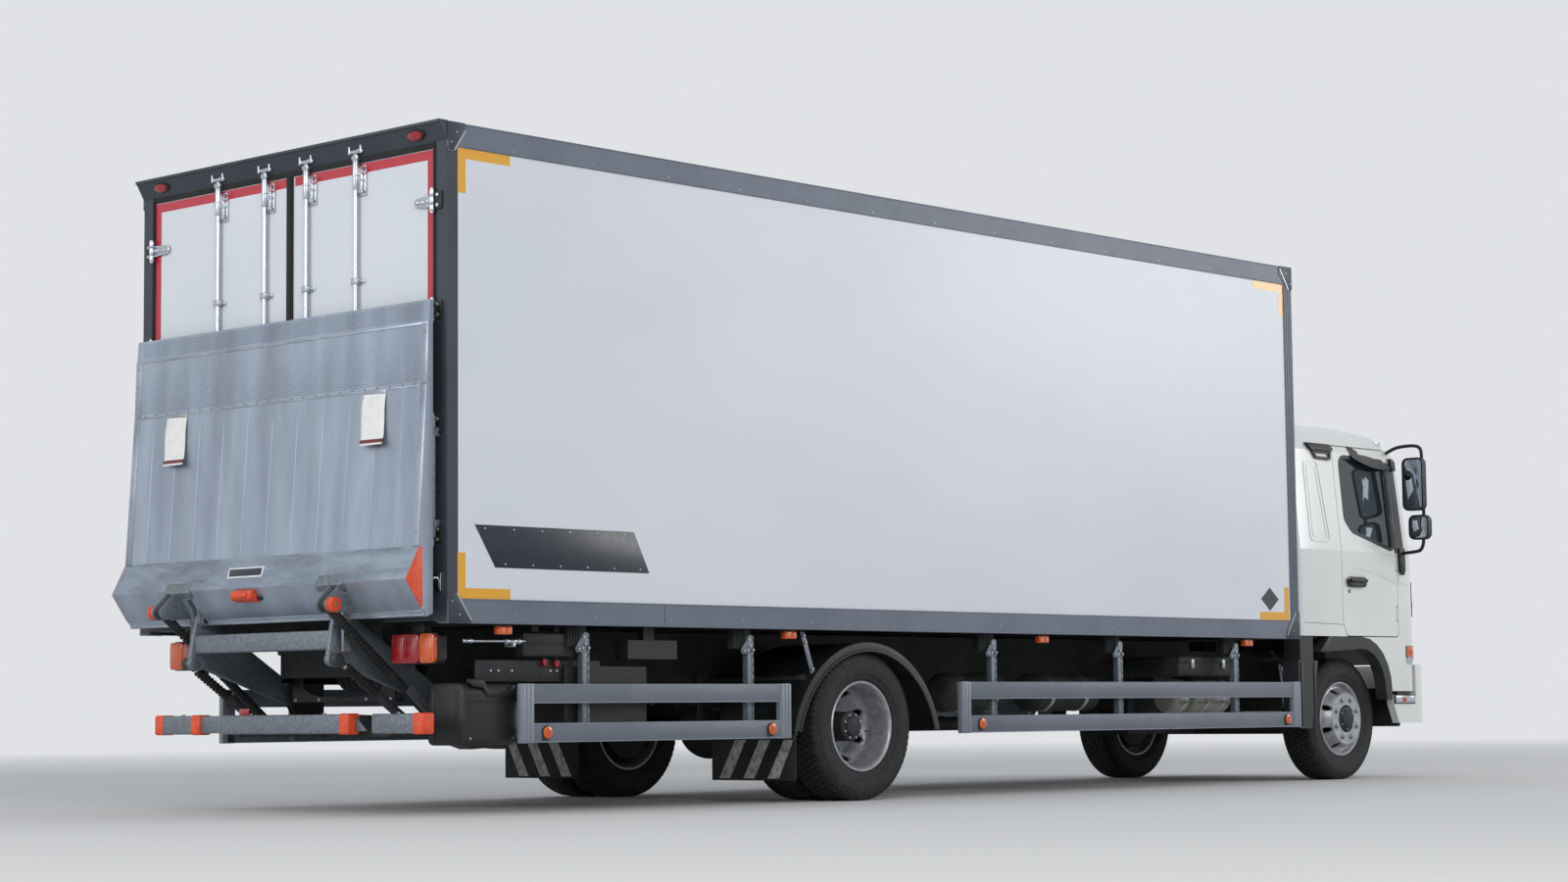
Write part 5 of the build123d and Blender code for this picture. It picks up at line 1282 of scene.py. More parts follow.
def markerLamps():
    # amber side lamps hung on the rail: black foot and a two-part lens
    bm = bmesh.new()
    for x in markerPlaces:
        addBlock(bm, (x - 0.052, -1.252, 0.958), (x + 0.052, -1.226, 0.9705), 0.002)
        addBlock(bm, (x - 0.05, -1.262, 0.918), (x + 0.05, -1.228, 0.962), 0.006, 1)
        for side in (-1, 1):
            middle = x + side * 0.024
            addBlock(bm, (middle - 0.019, -1.2655, 0.924), (middle + 0.019, -1.258, 0.955), 0.003, 1)
            for step in range(3):
                z = 0.93 + step * 0.009
                addBlock(bm, (middle - 0.017, -1.2672, z), (middle + 0.017, -1.264, z + 0.003), 0.001, 1)
    copyAcross(bm)
    piece = finishPiece("markerLampsPiece", bm, [blackPlastic, amberLens])
    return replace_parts(piece, "lamps")


tailLamps()
markerLamps()
print("rear lamps built")

# tail lift's hydraulic pack and control box, behind the right tail lamp
packBox = {"rear": 0.2, "front": 0.548, "outer": 1.2, "inner": 0.905, "low": 0.357, "high": 0.687}


def packHousing():
    # black moulded housing: sloped shoulders, a lid with a grip and a strap at the foot
    bm = bmesh.new()
    rear, front, outer, inner = packBox["rear"], packBox["front"], packBox["outer"], packBox["inner"]
    low, high = packBox["low"], packBox["high"]
    shape = [(inner, low + 0.02), (inner + 0.02, low), (outer - 0.02, low), (outer, low + 0.02),
             (outer - 0.004, high - 0.06), (outer - 0.03, high - 0.018), (outer - 0.06, high - 0.012),
             (inner + 0.05, high - 0.012), (inner + 0.012, high - 0.045)]
    addPanel(bm, shape, rear, front - rear, 0, 0.014, hand=-1)
    lid = [(rear + 0.03, high - 0.012), (rear + 0.03, high), (rear + 0.13, high), (rear + 0.15, high - 0.045),
           (rear + 0.17, high - 0.052), (front - 0.05, high - 0.048), (front - 0.02, high - 0.02),
           (front - 0.005, high - 0.03), (front - 0.012, high - 0.085), (rear + 0.15, high - 0.085),
           (rear + 0.12, high - 0.04), (rear + 0.05, high - 0.03)]
    addSlab(bm, lid, -outer + 0.01, -0.012, 0, 0.004)
    addRod(bm, (rear + 0.035, -outer + 0.02, high - 0.004), (rear + 0.125, -outer + 0.02, high - 0.004),
           0.012, 16, bevel=0.004)
    for z in (low + 0.06, high - 0.11):
        addBlock(bm, (rear + 0.012, -outer - 0.002, z), (front - 0.012, -outer + 0.004, z + 0.006), 0.002)
    for y in (inner + 0.05, outer - 0.06):
        addBlock(bm, (rear - 0.004, -y - 0.012, low + 0.02), (rear + 0.004, -y + 0.012, high - 0.05), 0.003)
    for x in (rear + 0.03, front - 0.03):
        addBolt(bm, (x, -outer - 0.001, low + 0.035), (x, -outer - 0.007, low + 0.035), 0.007, slot=1,
                bevel=0.0)
    addBlock(bm, (0.5, -0.962, 0.42), (0.622, -0.788, 0.48), 0.005, 2)
    addBlock(bm, (front - 0.004, -1.19, 0.4), (front + 0.02, -1.12, 0.575), 0.003, 3)
    addBlock(bm, (front + 0.006, -1.16, 0.425), (front + 0.028, -1.14, 0.555), 0.003, 3)
    strap = [(rear + 0.02, low + 0.004), (rear + 0.1, low - 0.02), (rear + 0.22, low - 0.014),
             (front - 0.02, low - 0.022), (front, low + 0.004)]
    addSlab(bm, strap, -outer + 0.06, 0.1, 0, 0.003)
    return finishPiece("packHousing", bm, [blackPlastic, boltSteel, chassisPaint, zincSteel])


controls = {"rear": 0.597, "front": 0.957, "low": 0.806, "high": 0.936, "outer": 1.205, "inner": 1.12,
            "rodRear": 0.19, "rodFront": 0.612, "rodHeight": 0.887}
valveDots = (0.398, 0.451, 0.543, 0.811, 0.857, 1.064, 1.11, 1.156)


def controlCover():
    # black box with a bare lid, a locking rod through its side, two red knobs and the valve strip below
    bm = bmesh.new()
    rear, front, low, high = controls["rear"], controls["front"], controls["low"], controls["high"]
    y = -controls["outer"]
    addBlock(bm, (rear, y, low), (front, -controls["inner"], high), 0.012, segments=3)
    addBlock(bm, (rear + 0.008, y - 0.004, low + 0.066), (front - 0.006, y + 0.006, high - 0.008), 0.003)
    addBlock(bm, (rear + 0.006, y - 0.002, low + 0.056), (front - 0.006, y + 0.004, low + 0.061), 0.001)
    for x in (rear + 0.07, front - 0.13):
        addBlock(bm, (x, y + 0.02, high - 0.004), (x + 0.05, y + 0.03, 0.972), 0.002)
    z = controls["rodHeight"]
    addRod(bm, (controls["rodRear"], y + 0.004, z - 0.003), (controls["rodFront"], y + 0.004, z), 0.0068, 16,
           slot=1)
    for x0, x1, radius in ((0.186, 0.236, 0.0098), (0.232, 0.246, 0.0125), (0.47, 0.492, 0.015),
                           (0.492, 0.548, 0.011), (0.548, 0.574, 0.016)):
        addRod(bm, (x0, y + 0.004, z - 0.002), (x1, y + 0.004, z - 0.002), radius, 14, slot=1, bevel=0.002)
    addBlock(bm, (0.516, y - 0.006, z - 0.03), (0.534, y + 0.06, z - 0.01), 0.002, 1)
    for x, drop in ((0.766, 0.026), (0.85, 0.032)):
        addRod(bm, (x, y + 0.03, low + 0.002), (x, y + 0.03, low - drop + 0.012), 0.008, 14, slot=3)
        addRod(bm, (x, y + 0.03, low - drop + 0.014), (x, y + 0.03, low - drop - 0.02), 0.019, 20, 0.013, 2,
               0.005)
    addBlock(bm, (0.3, -1.165, 0.68), (1.172, -1.157, 0.79), 0.003, 3)
    addBlock(bm, (0.94, -1.163, 0.78), (0.98, -1.15, 0.972), 0.002, 3)
    for x in valveDots:
        addRod(bm, (x, -1.164, 0.736), (x, -1.173, 0.736), 0.0085, 12, 0.006, 1)
    return finishPiece("controlCover", bm, [blackPlastic, rodSteel, redLens, chassisPaint])


packHousing()
controlCover()
print("lift controls built")

# side guards: two planks on channel posts
guards = {"face": 1.27, "back": 1.236, "cap": 0.09, "postTop": 0.932, "postHalf": 0.025}
guardTable = [
    # rear end, front end, lower plank, upper plank, plank height, posts, reflectors
    (0.517, 2.544, 0.366, 0.567, 0.1, (1.005, 2.254), (0.695, 2.383)),
    (4.03, 7.629, 0.377, 0.577, 0.102, (4.383, 5.649, 6.927), (4.217, 7.462)),
]
capPowder = powderCoat("powderCoatGuardCap", "#858b96", "#7b818c", 0.4)


def guardPlanks():
    bm = bmesh.new()
    y, back = -guards["face"], -guards["back"]
    for rear, front, low, high, height, _, _ in guardTable:
        for z in (low, high):
            addBlock(bm, (rear + 0.03, y, z), (front - 0.03, back, z + height), 0.005)
            for edge in (z + 0.0005, z + height - 0.0055):
                addBlock(bm, (rear + 0.04, y - 0.0016, edge), (front - 0.04, y + 0.003, edge + 0.005), 0.0012,
                         1)
        for start in (rear, front - guards["cap"]):
            end = start + guards["cap"]
            addBlock(bm, (start, y - 0.003, low - 0.002), (end, back, high + height + 0.002), 0.006, 1)
            for step in range(3):
                x = start + 0.01 + step * 0.026
                addBlock(bm, (x, y - 0.0065, low + 0.004), (x + 0.018, y, high + height - 0.004), 0.0025, 1)
            for step in range(8):
                z = low + 0.022 + step * (high + height - low - 0.044) / 7
                addBlock(bm, (end - 0.0135, y - 0.0036, z - 0.007), (end - 0.01, y, z + 0.007), slot=2)
    copyAcross(bm)
    piece = finishPiece("guardPlanks", bm, [guardPowder, capPowder, blackPlastic])
    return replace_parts(piece, "side_guards")


def guardPosts():
    # galvanised channel posts with slotted edges, the channel's gap and the slots drawn as black marks of
    # painted shade, and bolted bracket plates at their tops
    bm = bmesh.new()
    back = -guards["back"]
    half, top = guards["postHalf"], guards["postTop"]
    for _, _, low, high, height, posts, _ in guardTable:
        for x in posts:
            addBlock(bm, (x - half, back, low + 0.01), (x + 0.006, back + 0.04, top), 0.003)
            addBlock(bm, (x + 0.01, back, low + 0.01), (x + half, back + 0.044, top), 0.0025)
            # black strip in the gap between the post's two halves: painted shade
            addBlock(bm, (x + 0.004, back + 0.01, low + 0.01), (x + 0.012, back + 0.04, top), slot=2)
            z = low + 0.13
            while z < top - 0.03:
                # each slot drawn as a black mark on the face: painted shade
                addBlock(bm, (x + 0.015, back - 0.0008, z), (x + 0.0205, back + 0.004, z + 0.016), slot=2)
                z += 0.045
            plate = [(x - 0.014, top + 0.006), (x + 0.008, top + 0.006), (x + 0.008, top - 0.05),
                     (x - 0.002, top - 0.1), (x - 0.072, top - 0.1), (x - 0.079, top - 0.078),
                     (x - 0.036, top - 0.022)]
            addSlab(bm, plate, back - 0.004, 0.006, 0, 0.0015)
            bolts = ((-0.022, -0.022), (-0.012, -0.056), (-0.056, -0.084), (-0.03, -0.08), (0.014, -0.078))
            for dx, dz in bolts:
                addBolt(bm, (x + dx, back - 0.003, top + dz), (x + dx, back - 0.012, top + dz), 0.0088,
                        slot=1)
            # pressed black bracket on the box's bearer, behind the plate
            for step in range(5):
                start = x - 0.115 + step * 0.019
                addBlock(bm, (start, back + 0.012, 0.868), (start + 0.01, back + 0.06, 0.971), 0.003, 2)
            addBlock(bm, (x - 0.118, back + 0.022, 0.862), (x + half, back + 0.062, 0.972), 0.003, 2)
            for z in (low + height / 2, high + height / 2):
                for dx in (-0.012, 0.016):
                    addBolt(bm, (x + dx, back + 0.038, z), (x + dx, back + 0.054, z), 0.009, slot=1,
                            bevel=0.0)
    copyAcross(bm)
    piece = finishPiece("guardPosts", bm, [zincSteel, boltSteel, chassisPaint])
    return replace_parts(piece, "side_guards")


def guardReflectors():
    # round amber reflectors on a black seat with a small foot
    bm = bmesh.new()
    for _, _, low, _, height, _, reflectors in guardTable:
        for x in reflectors:
            centre = at(x, -guards["face"], low + height / 2 + 0.002)
            seat = [(0, 0.0), (0.036, 0.0), (0.036, 0.006), (0.033, 0.008), (0, 0.008)]
            addTurned(bm, seat, centre, (0, -1, 0), 32, 1, closed=False)
            dome = [(0, 0.007), (0.0315, 0.007), (0.031, 0.011), (0.026, 0.0135), (0.012, 0.015), (0, 0.0153)]
            addTurned(bm, dome, centre, (0, -1, 0), 32, 0, closed=False)
            addBlock(bm, centre + Vector((-0.034, -0.008, -0.04)), centre + Vector((0.006, 0, -0.018)), 0.003,
                     1)
    copyAcross(bm)
    return finishPiece("guardReflectors", bm, [amberLens, blackPlastic])


guardPlanks()
guardPosts()
guardReflectors()
print("side guards built")

# rear mudguards and flaps
arch = {"x": 3.22, "z": 0.26, "low": 0.4, "stay": 0.47, "stayHeight": 0.7}
archProfile = [
    # radius, distance from the truck's middle
    (0.636, 0.64), (0.642, 0.64), (0.642, 1.236), (0.646, 1.24), (0.646, 1.251), (0.64, 1.2545),
    (0.606, 1.2545),
    (0.602, 1.262), (0.595, 1.263), (0.591, 1.258), (0.593, 1.247), (0.634, 1.2445), (0.636, 1.236),
]


def cutBelow(bm, height):
    geometry = list(bm.verts) + list(bm.edges) + list(bm.faces)
    cut = bmesh.ops.bisect_plane(bm, geom=geometry, plane_co=(0, 0, height), plane_no=(0, 0, -1),
                                 clear_outer=True)
    edges = [g for g in cut["geom_cut"] if isinstance(g, bmesh.types.BMEdge)]
    bmesh.ops.edgeloop_fill(bm, edges=edges)


def mudguardArches():
    bm = bmesh.new()
    addTurned(bm, archProfile, at(arch["x"], 0, arch["z"]), (0, 1, 0), 96)
    cutBelow(bm, arch["low"])
    for end in (-1, 1):
        x = arch["x"] + end * arch["stay"]
        addRod(bm, (x, 0.43, arch["stayHeight"]), (x, 1.19, arch["stayHeight"]), 0.016, slot=1)
        for y in (0.8, 1.16):
            addBlock(bm, (x - 0.022, y - 0.02, arch["stayHeight"] - 0.01),
                     (x + 0.022, y + 0.02, arch["stayHeight"] + 0.02), 0.003, 1)
    # bolted hanger at the rear shoulder
    addSlab(bm, ((2.655, 0.96), (2.69, 0.96), (2.772, 0.735), (2.742, 0.722)), 1.236, 0.006, 2, 0.0015)
    for x, z in ((2.678, 0.938), (2.69, 0.9), (2.748, 0.75)):
        addBolt(bm, (x, 1.242, z), (x, 1.254, z), 0.01, slot=3)
    copyAcross(bm)
    piece = finishPiece("mudguardArches", bm, [blackPlastic, chassisPaint, zincSteel, boltSteel])
    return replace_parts(piece, "mudguards")


flap = {"x": 2.638, "low": 0.125, "high": 0.385, "inner": 0.56, "outer": 1.215, "stripe": 0.085,
        "pitch": 0.19}


def printedRubber():
    # pale stripe printed on the rubber, scuffed
    material, tree, shader, place = startMaterial("paleStripeOnRubber", "#a6a6a2", 0.75)
    twoTone(tree, shader, noise(tree, place, 0.04, 7, 0.65), "#6d6c68", "#b2b2ae", 0.34, 0.6)
    raised(tree, shader, noise(tree, place, 0.008, 3), 0.0004, 0.3)
    return material


stripePrint = printedRubber()


def mudFlapsPiece():
    # rubber sheets with slanted stripes on the rear face
    bm = bmesh.new()
    x, low, high = flap["x"], flap["low"], flap["high"]
    addBlock(bm, (x - 0.004, flap["inner"], low), (x + 0.004, flap["outer"], high), 0.0015)
    start = flap["inner"] + 0.06
    while start < flap["outer"] - 0.16:
        shape = [(start, low + 0.012), (start + flap["stripe"], low + 0.012),
                 (start + flap["stripe"] + 0.13, high - 0.025), (start + 0.13, high - 0.025)]
        shape = [(min(y, flap["outer"] - 0.012), z) for y, z in shape]
        addPanel(bm, shape, x - 0.004, -0.0012, 1)
        start += flap["pitch"]
    addBlock(bm, (x - 0.014, flap["inner"], high - 0.03), (x - 0.004, flap["outer"], high + 0.004), 0.002, 2)
    for step in range(5):
        y = flap["inner"] + 0.07 + step * 0.13
        addBolt(bm, (x - 0.013, y, high - 0.013), (x - 0.021, y, high - 0.013), 0.008, slot=3, bevel=0.0)
    addRod(bm, (x, 0.456, high), (x, flap["outer"], high), 0.015, slot=2, bevel=0.002)
    addBlock(bm, (x - 0.02, 0.456, high - 0.015), (x + 0.02, 0.468, 0.744), 0.002, 2)
    addBlock(bm, (x - 0.02, 0.43, 0.704), (x + 0.02, 0.456, 0.744), 0.002, 2)
    copyAcross(bm)
    piece = finishPiece("mudFlapsPiece", bm, [flapRubber, stripePrint, chassisPaint, boltSteel])
    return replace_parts(piece, "mudguards")


mudguardArches()
mudFlapsPiece()
print("mudguards built")


def cutHoles(name, blank, cutter):
    # the blank's mesh with the cutter's shapes taken out of it
    parts = ((blank, name), (cutter, name + "Cutter"))
    holders = [linked(label, meshOf(part, label)) for part, label in parts]
    cut = holders[0].modifiers.new("holes", "BOOLEAN")
    cut.operation = "DIFFERENCE"
    cut.object = holders[1]
    cut.solver = "EXACT"
    graph = bpy.context.evaluated_depsgraph_get()
    mesh = bpy.data.meshes.new_from_object(holders[0].evaluated_get(graph), depsgraph=graph)
    for holder in holders:
        bpy.data.objects.remove(holder)
    return mesh


def addMesh(bm, mesh, place, outward=1):
    # a copy of a finished mesh, turned round where it faces the other way
    verts, known = set(bm.verts), set(bm.faces)
    bm.from_mesh(mesh)
    fresh = [v for v in bm.verts if v not in verts]
    if outward < 0:
        bmesh.ops.rotate(bm, verts=fresh, cent=(0, 0, 0), matrix=Matrix.Rotation(math.pi, 3, "Z"))
    bmesh.ops.translate(bm, verts=fresh, vec=place)
    paint(bm, known, 0)


# wheels: truck tyres on 19.5 inch rims
wheels = {"rear": (3.194, 0.425), "front": (8.53, 0.425), "frontMiddle": 0.892, "rearOuter": 1.11,
          "rearInner": 0.81}
sidewall = [
    # radius and half width, from the bead to the shoulder, with the raised rings moulded in the wall
    (0.2475, 0.092), (0.262, 0.1025), (0.272, 0.11), (0.2745, 0.113), (0.279, 0.115), (0.282, 0.1148),
    (0.3, 0.1235), (0.302, 0.1262), (0.306, 0.1272), (0.308, 0.1255), (0.325, 0.1295), (0.35, 0.1306),
    (0.366, 0.1288), (0.368, 0.13), (0.373, 0.1296), (0.375, 0.1268), (0.392, 0.121), (0.404, 0.115),
    (0.4105, 0.1085), (0.4135, 0.1), (0.4145, 0.09),
]
tread = {"count": 72, "base": 0.41, "top": 0.4246, "long": 0.0305, "lug": (0.4015, 0.1155)}
treadRibs = [
    # middle of the rib, half width, slant along the tread, share of a pitch that it is shifted by
    (-0.084, 0.0165, 0.004, 0.0), (-0.042, 0.019, -0.007, 0.5), (0.0, 0.0165, 0.007, 0.0),
    (0.042, 0.019, -0.007, 0.5),
    (0.084, 0.0165, 0.004, 0.0),
]


def repeatRound(bm, verts, pitch):
    # the same lug at every pitch round the tyre
    edges = list({e for v in verts for e in v.link_edges})
    faces = list({f for v in verts for f in v.link_faces})
    bmesh.ops.spin(bm, geom=verts + edges + faces, cent=(0, 0, 0), axis=(0, 1, 0), angle=math.tau - pitch,
                   steps=tread["count"] - 1, use_duplicate=True)


def tyreMesh():
    bm = bmesh.new()
    outline = [(r, -w) for r, w in sidewall] + [(r, w) for r, w in reversed(sidewall)]
    addTurned(bm, outline, (0, 0, 0), (0, 1, 0), 72)
    pitch = math.tau / tread["count"]
    for middle, half, slant, shift in treadRibs:
        known = set(bm.verts)
        addBlock(bm, Vector((-tread["long"] / 2, middle - half, tread["base"])),
                 Vector((tread["long"] / 2, middle + half, tread["top"])))
        fresh = [v for v in bm.verts if v not in known]
        for vert in fresh:
            vert.co.x += slant * (vert.co.y - middle) / half
            if vert.co.z > tread["base"] + 0.001:
                vert.co.x *= 0.93
        bmesh.ops.rotate(bm, verts=fresh, cent=(0, 0, 0), matrix=Matrix.Rotation(pitch * shift, 3, "Y"))
        repeatRound(bm, fresh, pitch)
    # shoulder lugs on both edges of the tread
    radius, reach = tread["lug"]
    for side in (-1, 1):
        known = set(bm.verts)
        addBlock(bm, Vector((-0.0125, -0.005, -0.013)), Vector((0.0125, 0.005, 0.013)))
        fresh = [v for v in bm.verts if v not in known]
        lean = Matrix.Rotation(side * math.radians(34), 3, "X")
        bmesh.ops.rotate(bm, verts=fresh, cent=(0, 0, 0), matrix=lean)
        bmesh.ops.translate(bm, verts=fresh, vec=(0, side * (reach - 0.004), radius + 0.002))
        repeatRound(bm, fresh, pitch)
    return meshOf(bm, "tyre")


rimOutline = [
    # radius, distance outward from the rim's middle plane
    (0.2465, -0.095), (0.2595, -0.099), (0.2605, -0.1065), (0.257, -0.1105), (0.2505, -0.1105),
    (0.2445, -0.106),
    (0.2405, -0.098), (0.237, -0.09), (0.235, -0.05), (0.23, 0.03), (0.2235, 0.056), (0.212, 0.066),
    (0.182, 0.137), (0.176, 0.142), (0.096, 0.142), (0.096, 0.156), (0.178, 0.156), (0.186, 0.15),
    (0.216, 0.083), (0.228, 0.077), (0.236, 0.084), (0.2395, 0.098), (0.2445, 0.106), (0.2505, 0.1105),
    (0.257, 0.1105), (0.2605, 0.1065), (0.2595, 0.099), (0.2465, 0.095),
]
rimHoles = {"hand": 8, "handCircle": 0.201, "handRadius": 0.02, "studs": 8, "studCircle": 0.1375,
            "studRadius": 0.02}


def circlePoint(radius, step, count):
    # the first point stands half a step round
    a = math.tau * (step + 0.5) / count
    return Vector((radius * math.cos(a), 0, radius * math.sin(a)))


def rimMesh():
    blank = bmesh.new()
    addTurned(blank, rimOutline, (0, 0, 0), (0, 1, 0), 80)
    cutter = bmesh.new()
    for step in range(rimHoles["hand"]):
        p = circlePoint(rimHoles["handCircle"], step, rimHoles["hand"])
        addRod(cutter, p + Vector((0, 0.02, 0)), p + Vector((0, 0.2, 0)), rimHoles["handRadius"], 24)
    for step in range(rimHoles["studs"]):
        p = circlePoint(rimHoles["studCircle"], step, rimHoles["studs"])
        addRod(cutter, p + Vector((0, 0.1495, 0)), p + Vector((0, 0.2, 0)), rimHoles["studRadius"], 24)
    return cutHoles("rimBlank", blank, cutter)


tyre = tyreMesh()
rim = rimMesh()


def addNuts(bm, centre, face, outward, height, slot):
    for step in range(rimHoles["studs"]):
        p = centre + circlePoint(rimHoles["studCircle"], step, rimHoles["studs"]) + Vector((0, face, 0))
        ahead = Vector((0, outward, 0))
        addRod(bm, p, p + ahead * height * 0.22, 0.0185, slot=slot)
        addBolt(bm, p, p + ahead * height * 0.74, 0.015, slot=slot, bevel=0.0015)
        addRod(bm, p + ahead * height * 0.7, p + ahead * height, 0.0082, 12, 0.007, slot)


def frontWheel(side, body, node):
    bm = bmesh.new()
    centre = at(wheels["front"][0], 0, wheels["front"][1])
    middle = side * wheels["frontMiddle"]
    addMesh(bm, rim, centre + Vector((0, middle, 0)), side)
    addNuts(bm, centre, middle + side * 0.149, side, 0.026, 2)
    # hub with its cap and a ring of small bolts
    hub = [(0, 0.128), (0.0945, 0.128), (0.0945, 0.138), (0.088, 0.14), (0.083, 0.156), (0.07, 0.161),
           (0.064, 0.162), (0.06, 0.17), (0.048, 0.1735), (0, 0.175)]
    addTurned(bm, hub, centre + Vector((0, middle, 0)), (0, side, 0), 40, 1, closed=False)
    for step in range(6):
        p = centre + circlePoint(0.0745, step, 6) + Vector((0, middle + side * 0.158, 0))
        addBolt(bm, p, p + Vector((0, side * 0.008, 0)), 0.0065, slot=2, bevel=0.0)
    addRod(bm, centre + Vector((0, middle - side * 0.09, 0)), centre + Vector((0, middle + side * 0.055, 0)),
           0.19, 40, slot=1, bevel=0.01)
    piece = finishPiece("frontRim" + ("Left" if side > 0 else "Right"), bm,
                        [wheelSilver, chassisPaint, boltSteel], body)
    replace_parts(piece, node)


def rearWheels(side, body, node):
    bm = bmesh.new()
    centre = at(wheels["rear"][0], 0, wheels["rear"][1])
    outer, inner = side * wheels["rearOuter"], side * wheels["rearInner"]
    addMesh(bm, rim, centre + Vector((0, outer, 0)), -side)
    addMesh(bm, rim, centre + Vector((0, inner, 0)), side)
    face = outer - side * 0.142
    addNuts(bm, centre, face, side, 0.034, 2)
    hub = [(0, -0.16), (0.0955, -0.16), (0.0955, -0.12), (0.087, -0.114), (0.084, 0.0), (0.086, 0.008),
           (0.086, 0.026), (0.08, 0.032), (0.056, 0.034), (0.052, 0.044), (0.03, 0.048), (0, 0.048)]
    addTurned(bm, hub, centre + Vector((0, outer, 0)), (0, side, 0), 40, 1, closed=False)
    for step in range(8):
        p = centre + circlePoint(0.069, step, 8) + Vector((0, outer + side * 0.032, 0))
        addBolt(bm, p, p + Vector((0, side * 0.009, 0)), 0.0072, slot=2, bevel=0.0)
    addRod(bm, centre + Vector((0, inner - side * 0.1, 0)), centre + Vector((0, inner + side * 0.055, 0)),
           0.19, 40, slot=1, bevel=0.01)
    valve = centre + Vector((0.205, outer - side * 0.05, -0.03))
    addRod(bm, valve, valve + Vector((-0.02, side * 0.075, 0.004)), 0.0045, 10, slot=2)
    piece = finishPiece("rearRims" + ("Left" if side > 0 else "Right"), bm,
                        [wheelSilver, chassisPaint, boltSteel], body)
    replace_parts(piece, node)


def tyrePiece(name, x, middles, body, node):
    bm = bmesh.new()
    for middle in middles:
        addMesh(bm, tyre, at(x, middle, wheels["rear"][1]))
    piece = finishPiece(name, bm, [rubberTyre], body)
    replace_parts(piece, node)


for side, word in ((1, "left"), (-1, "right")):
    title = word.capitalize()
    frontWheel(side, "wheel_front_" + word, "rim_front_" + word)
    rearWheels(side, "wheel_rear_" + word, "rims_rear_" + word)
    tyrePiece("frontTyre" + title, wheels["front"][0], [side * wheels["frontMiddle"]], "wheel_front_" + word,
              "tyre_front_" + word)
    twins = [side * wheels["rearOuter"], side * wheels["rearInner"]]
    tyrePiece("rearTyres" + title, wheels["rear"][0], twins, "wheel_rear_" + word, "tyres_rear_" + word)
print("wheels built")


# cab: half width and front of its skin at any height
cabLevels = [
    # height, half width, front of the side face, bulge of the front
    (0.617, 1.15, 9.46, 0.09), (1.6, 1.15, 9.44, 0.09), (2.3, 1.085, 9.37, 0.09),
    (2.44, 1.01, 9.19, 0.08), (2.5, 0.86, 9.01, 0.06),
]
cabCorner = 0.26


def cabLevel(z):
    for first, second in zip(cabLevels, cabLevels[1:]):
        if z <= second[0]:
            share = (z - first[0]) / (second[0] - first[0])
            return [a + (b - a) * share for a, b in zip(first, second)]
    return list(cabLevels[-1])


def cabSide(x, z):
    _, half, front, _ = cabLevel(z)
    run = x - (front - cabCorner)
    return half if run <= 0 else half - cabCorner + math.sqrt(max(cabCorner ** 2 - run ** 2, 0))


def cabFront(y, z):
    _, half, front, bulge = cabLevel(z)
    flat = half - cabCorner
    if abs(y) <= flat:
        return front + bulge * (1 - (y / flat) ** 2)
    return front - cabCorner + math.sqrt(max(cabCorner ** 2 - (abs(y) - flat) ** 2, 0))


bumper = {"flat": 0.85, "corner": 0.3, "x": 9.595, "bulge": 0.085, "limit": 9.6795}


def bumperFront(y):
    flat, corner = bumper["flat"], bumper["corner"]
    if abs(y) <= flat:
        return bumper["x"] + bumper["bulge"] * (1 - (y / flat) ** 2)
    return bumper["x"] - corner + math.sqrt(max(corner ** 2 - (abs(y) - flat) ** 2, 0))


def roundedPolygon(corners, steps=5, run=0.09):
    # closed outline with every corner of (a, b, radius) rounded and long sides divided
    outline = []
    count = len(corners)
    for index in range(count):
        before, here, after = (Vector(corners[(index + shift) % count][:2]) for shift in (-1, 0, 1))
        radius = corners[index][2]
        toBefore, toAfter = (before - here).normalized(), (after - here).normalized()
        half = toBefore.angle(toAfter) / 2
        centre = here + (toBefore + toAfter).normalized() * (radius / math.sin(half))
        first = here + toBefore * (radius / math.tan(half)) - centre
        last = here + toAfter * (radius / math.tan(half)) - centre
        start = math.atan2(first.y, first.x)
        swing = (math.atan2(last.y, last.x) - start + math.pi) % math.tau - math.pi
        for step in range(steps + 1):
            angle = start + swing * step / steps
            outline.append(centre + Vector((math.cos(angle), math.sin(angle))) * radius)
    divided = []
    for first, second in zip(outline, outline[1:] + outline[:1]):
        pieces = max(1, round((second - first).length / run))
        divided += [first.lerp(second, step / pieces) for step in range(pieces)]
    return [tuple(p) for p in divided]


def grownOutline(outline, amount):
    # the same points moved outward along the outline's own normals
    grown = []
    for index, point in enumerate(outline):
        before, after = Vector(outline[index - 1]), Vector(outline[(index + 1) % len(outline)])
        along = after - before
        normal = Vector((along.y, -along.x)).normalized() if along.length > 1e-9 else Vector((0, 0))
        grown.append(tuple(Vector(point) + normal * amount))
    if area(grown) * amount < area(outline) * amount:
        return [tuple(2 * Vector(p) - Vector(g)) for p, g in zip(outline, grown)]
    return grown


def area(outline):
    pairs = zip(outline, outline[1:] + outline[:1])
    return abs(sum(a[0] * b[1] - b[0] * a[1] for a, b in pairs)) / 2


def addRing(bm, outer, inner, place, push, slot=0):
    # flat frame between two outlines of as many points, pushed to a thickness
    known = set(bm.faces)
    edges = []
    for loop in (outer, inner):
        verts = [bm.verts.new(place(a, b)) for a, b in loop]
        edges += [bm.edges.new((verts[i - 1], verts[i])) for i in range(len(verts))]
    ring = bmesh.ops.bridge_loops(bm, edges=edges)["faces"]
    pushOut(bm, ring, push)
    turnOutward(bm, known)
    paint(bm, known, slot)


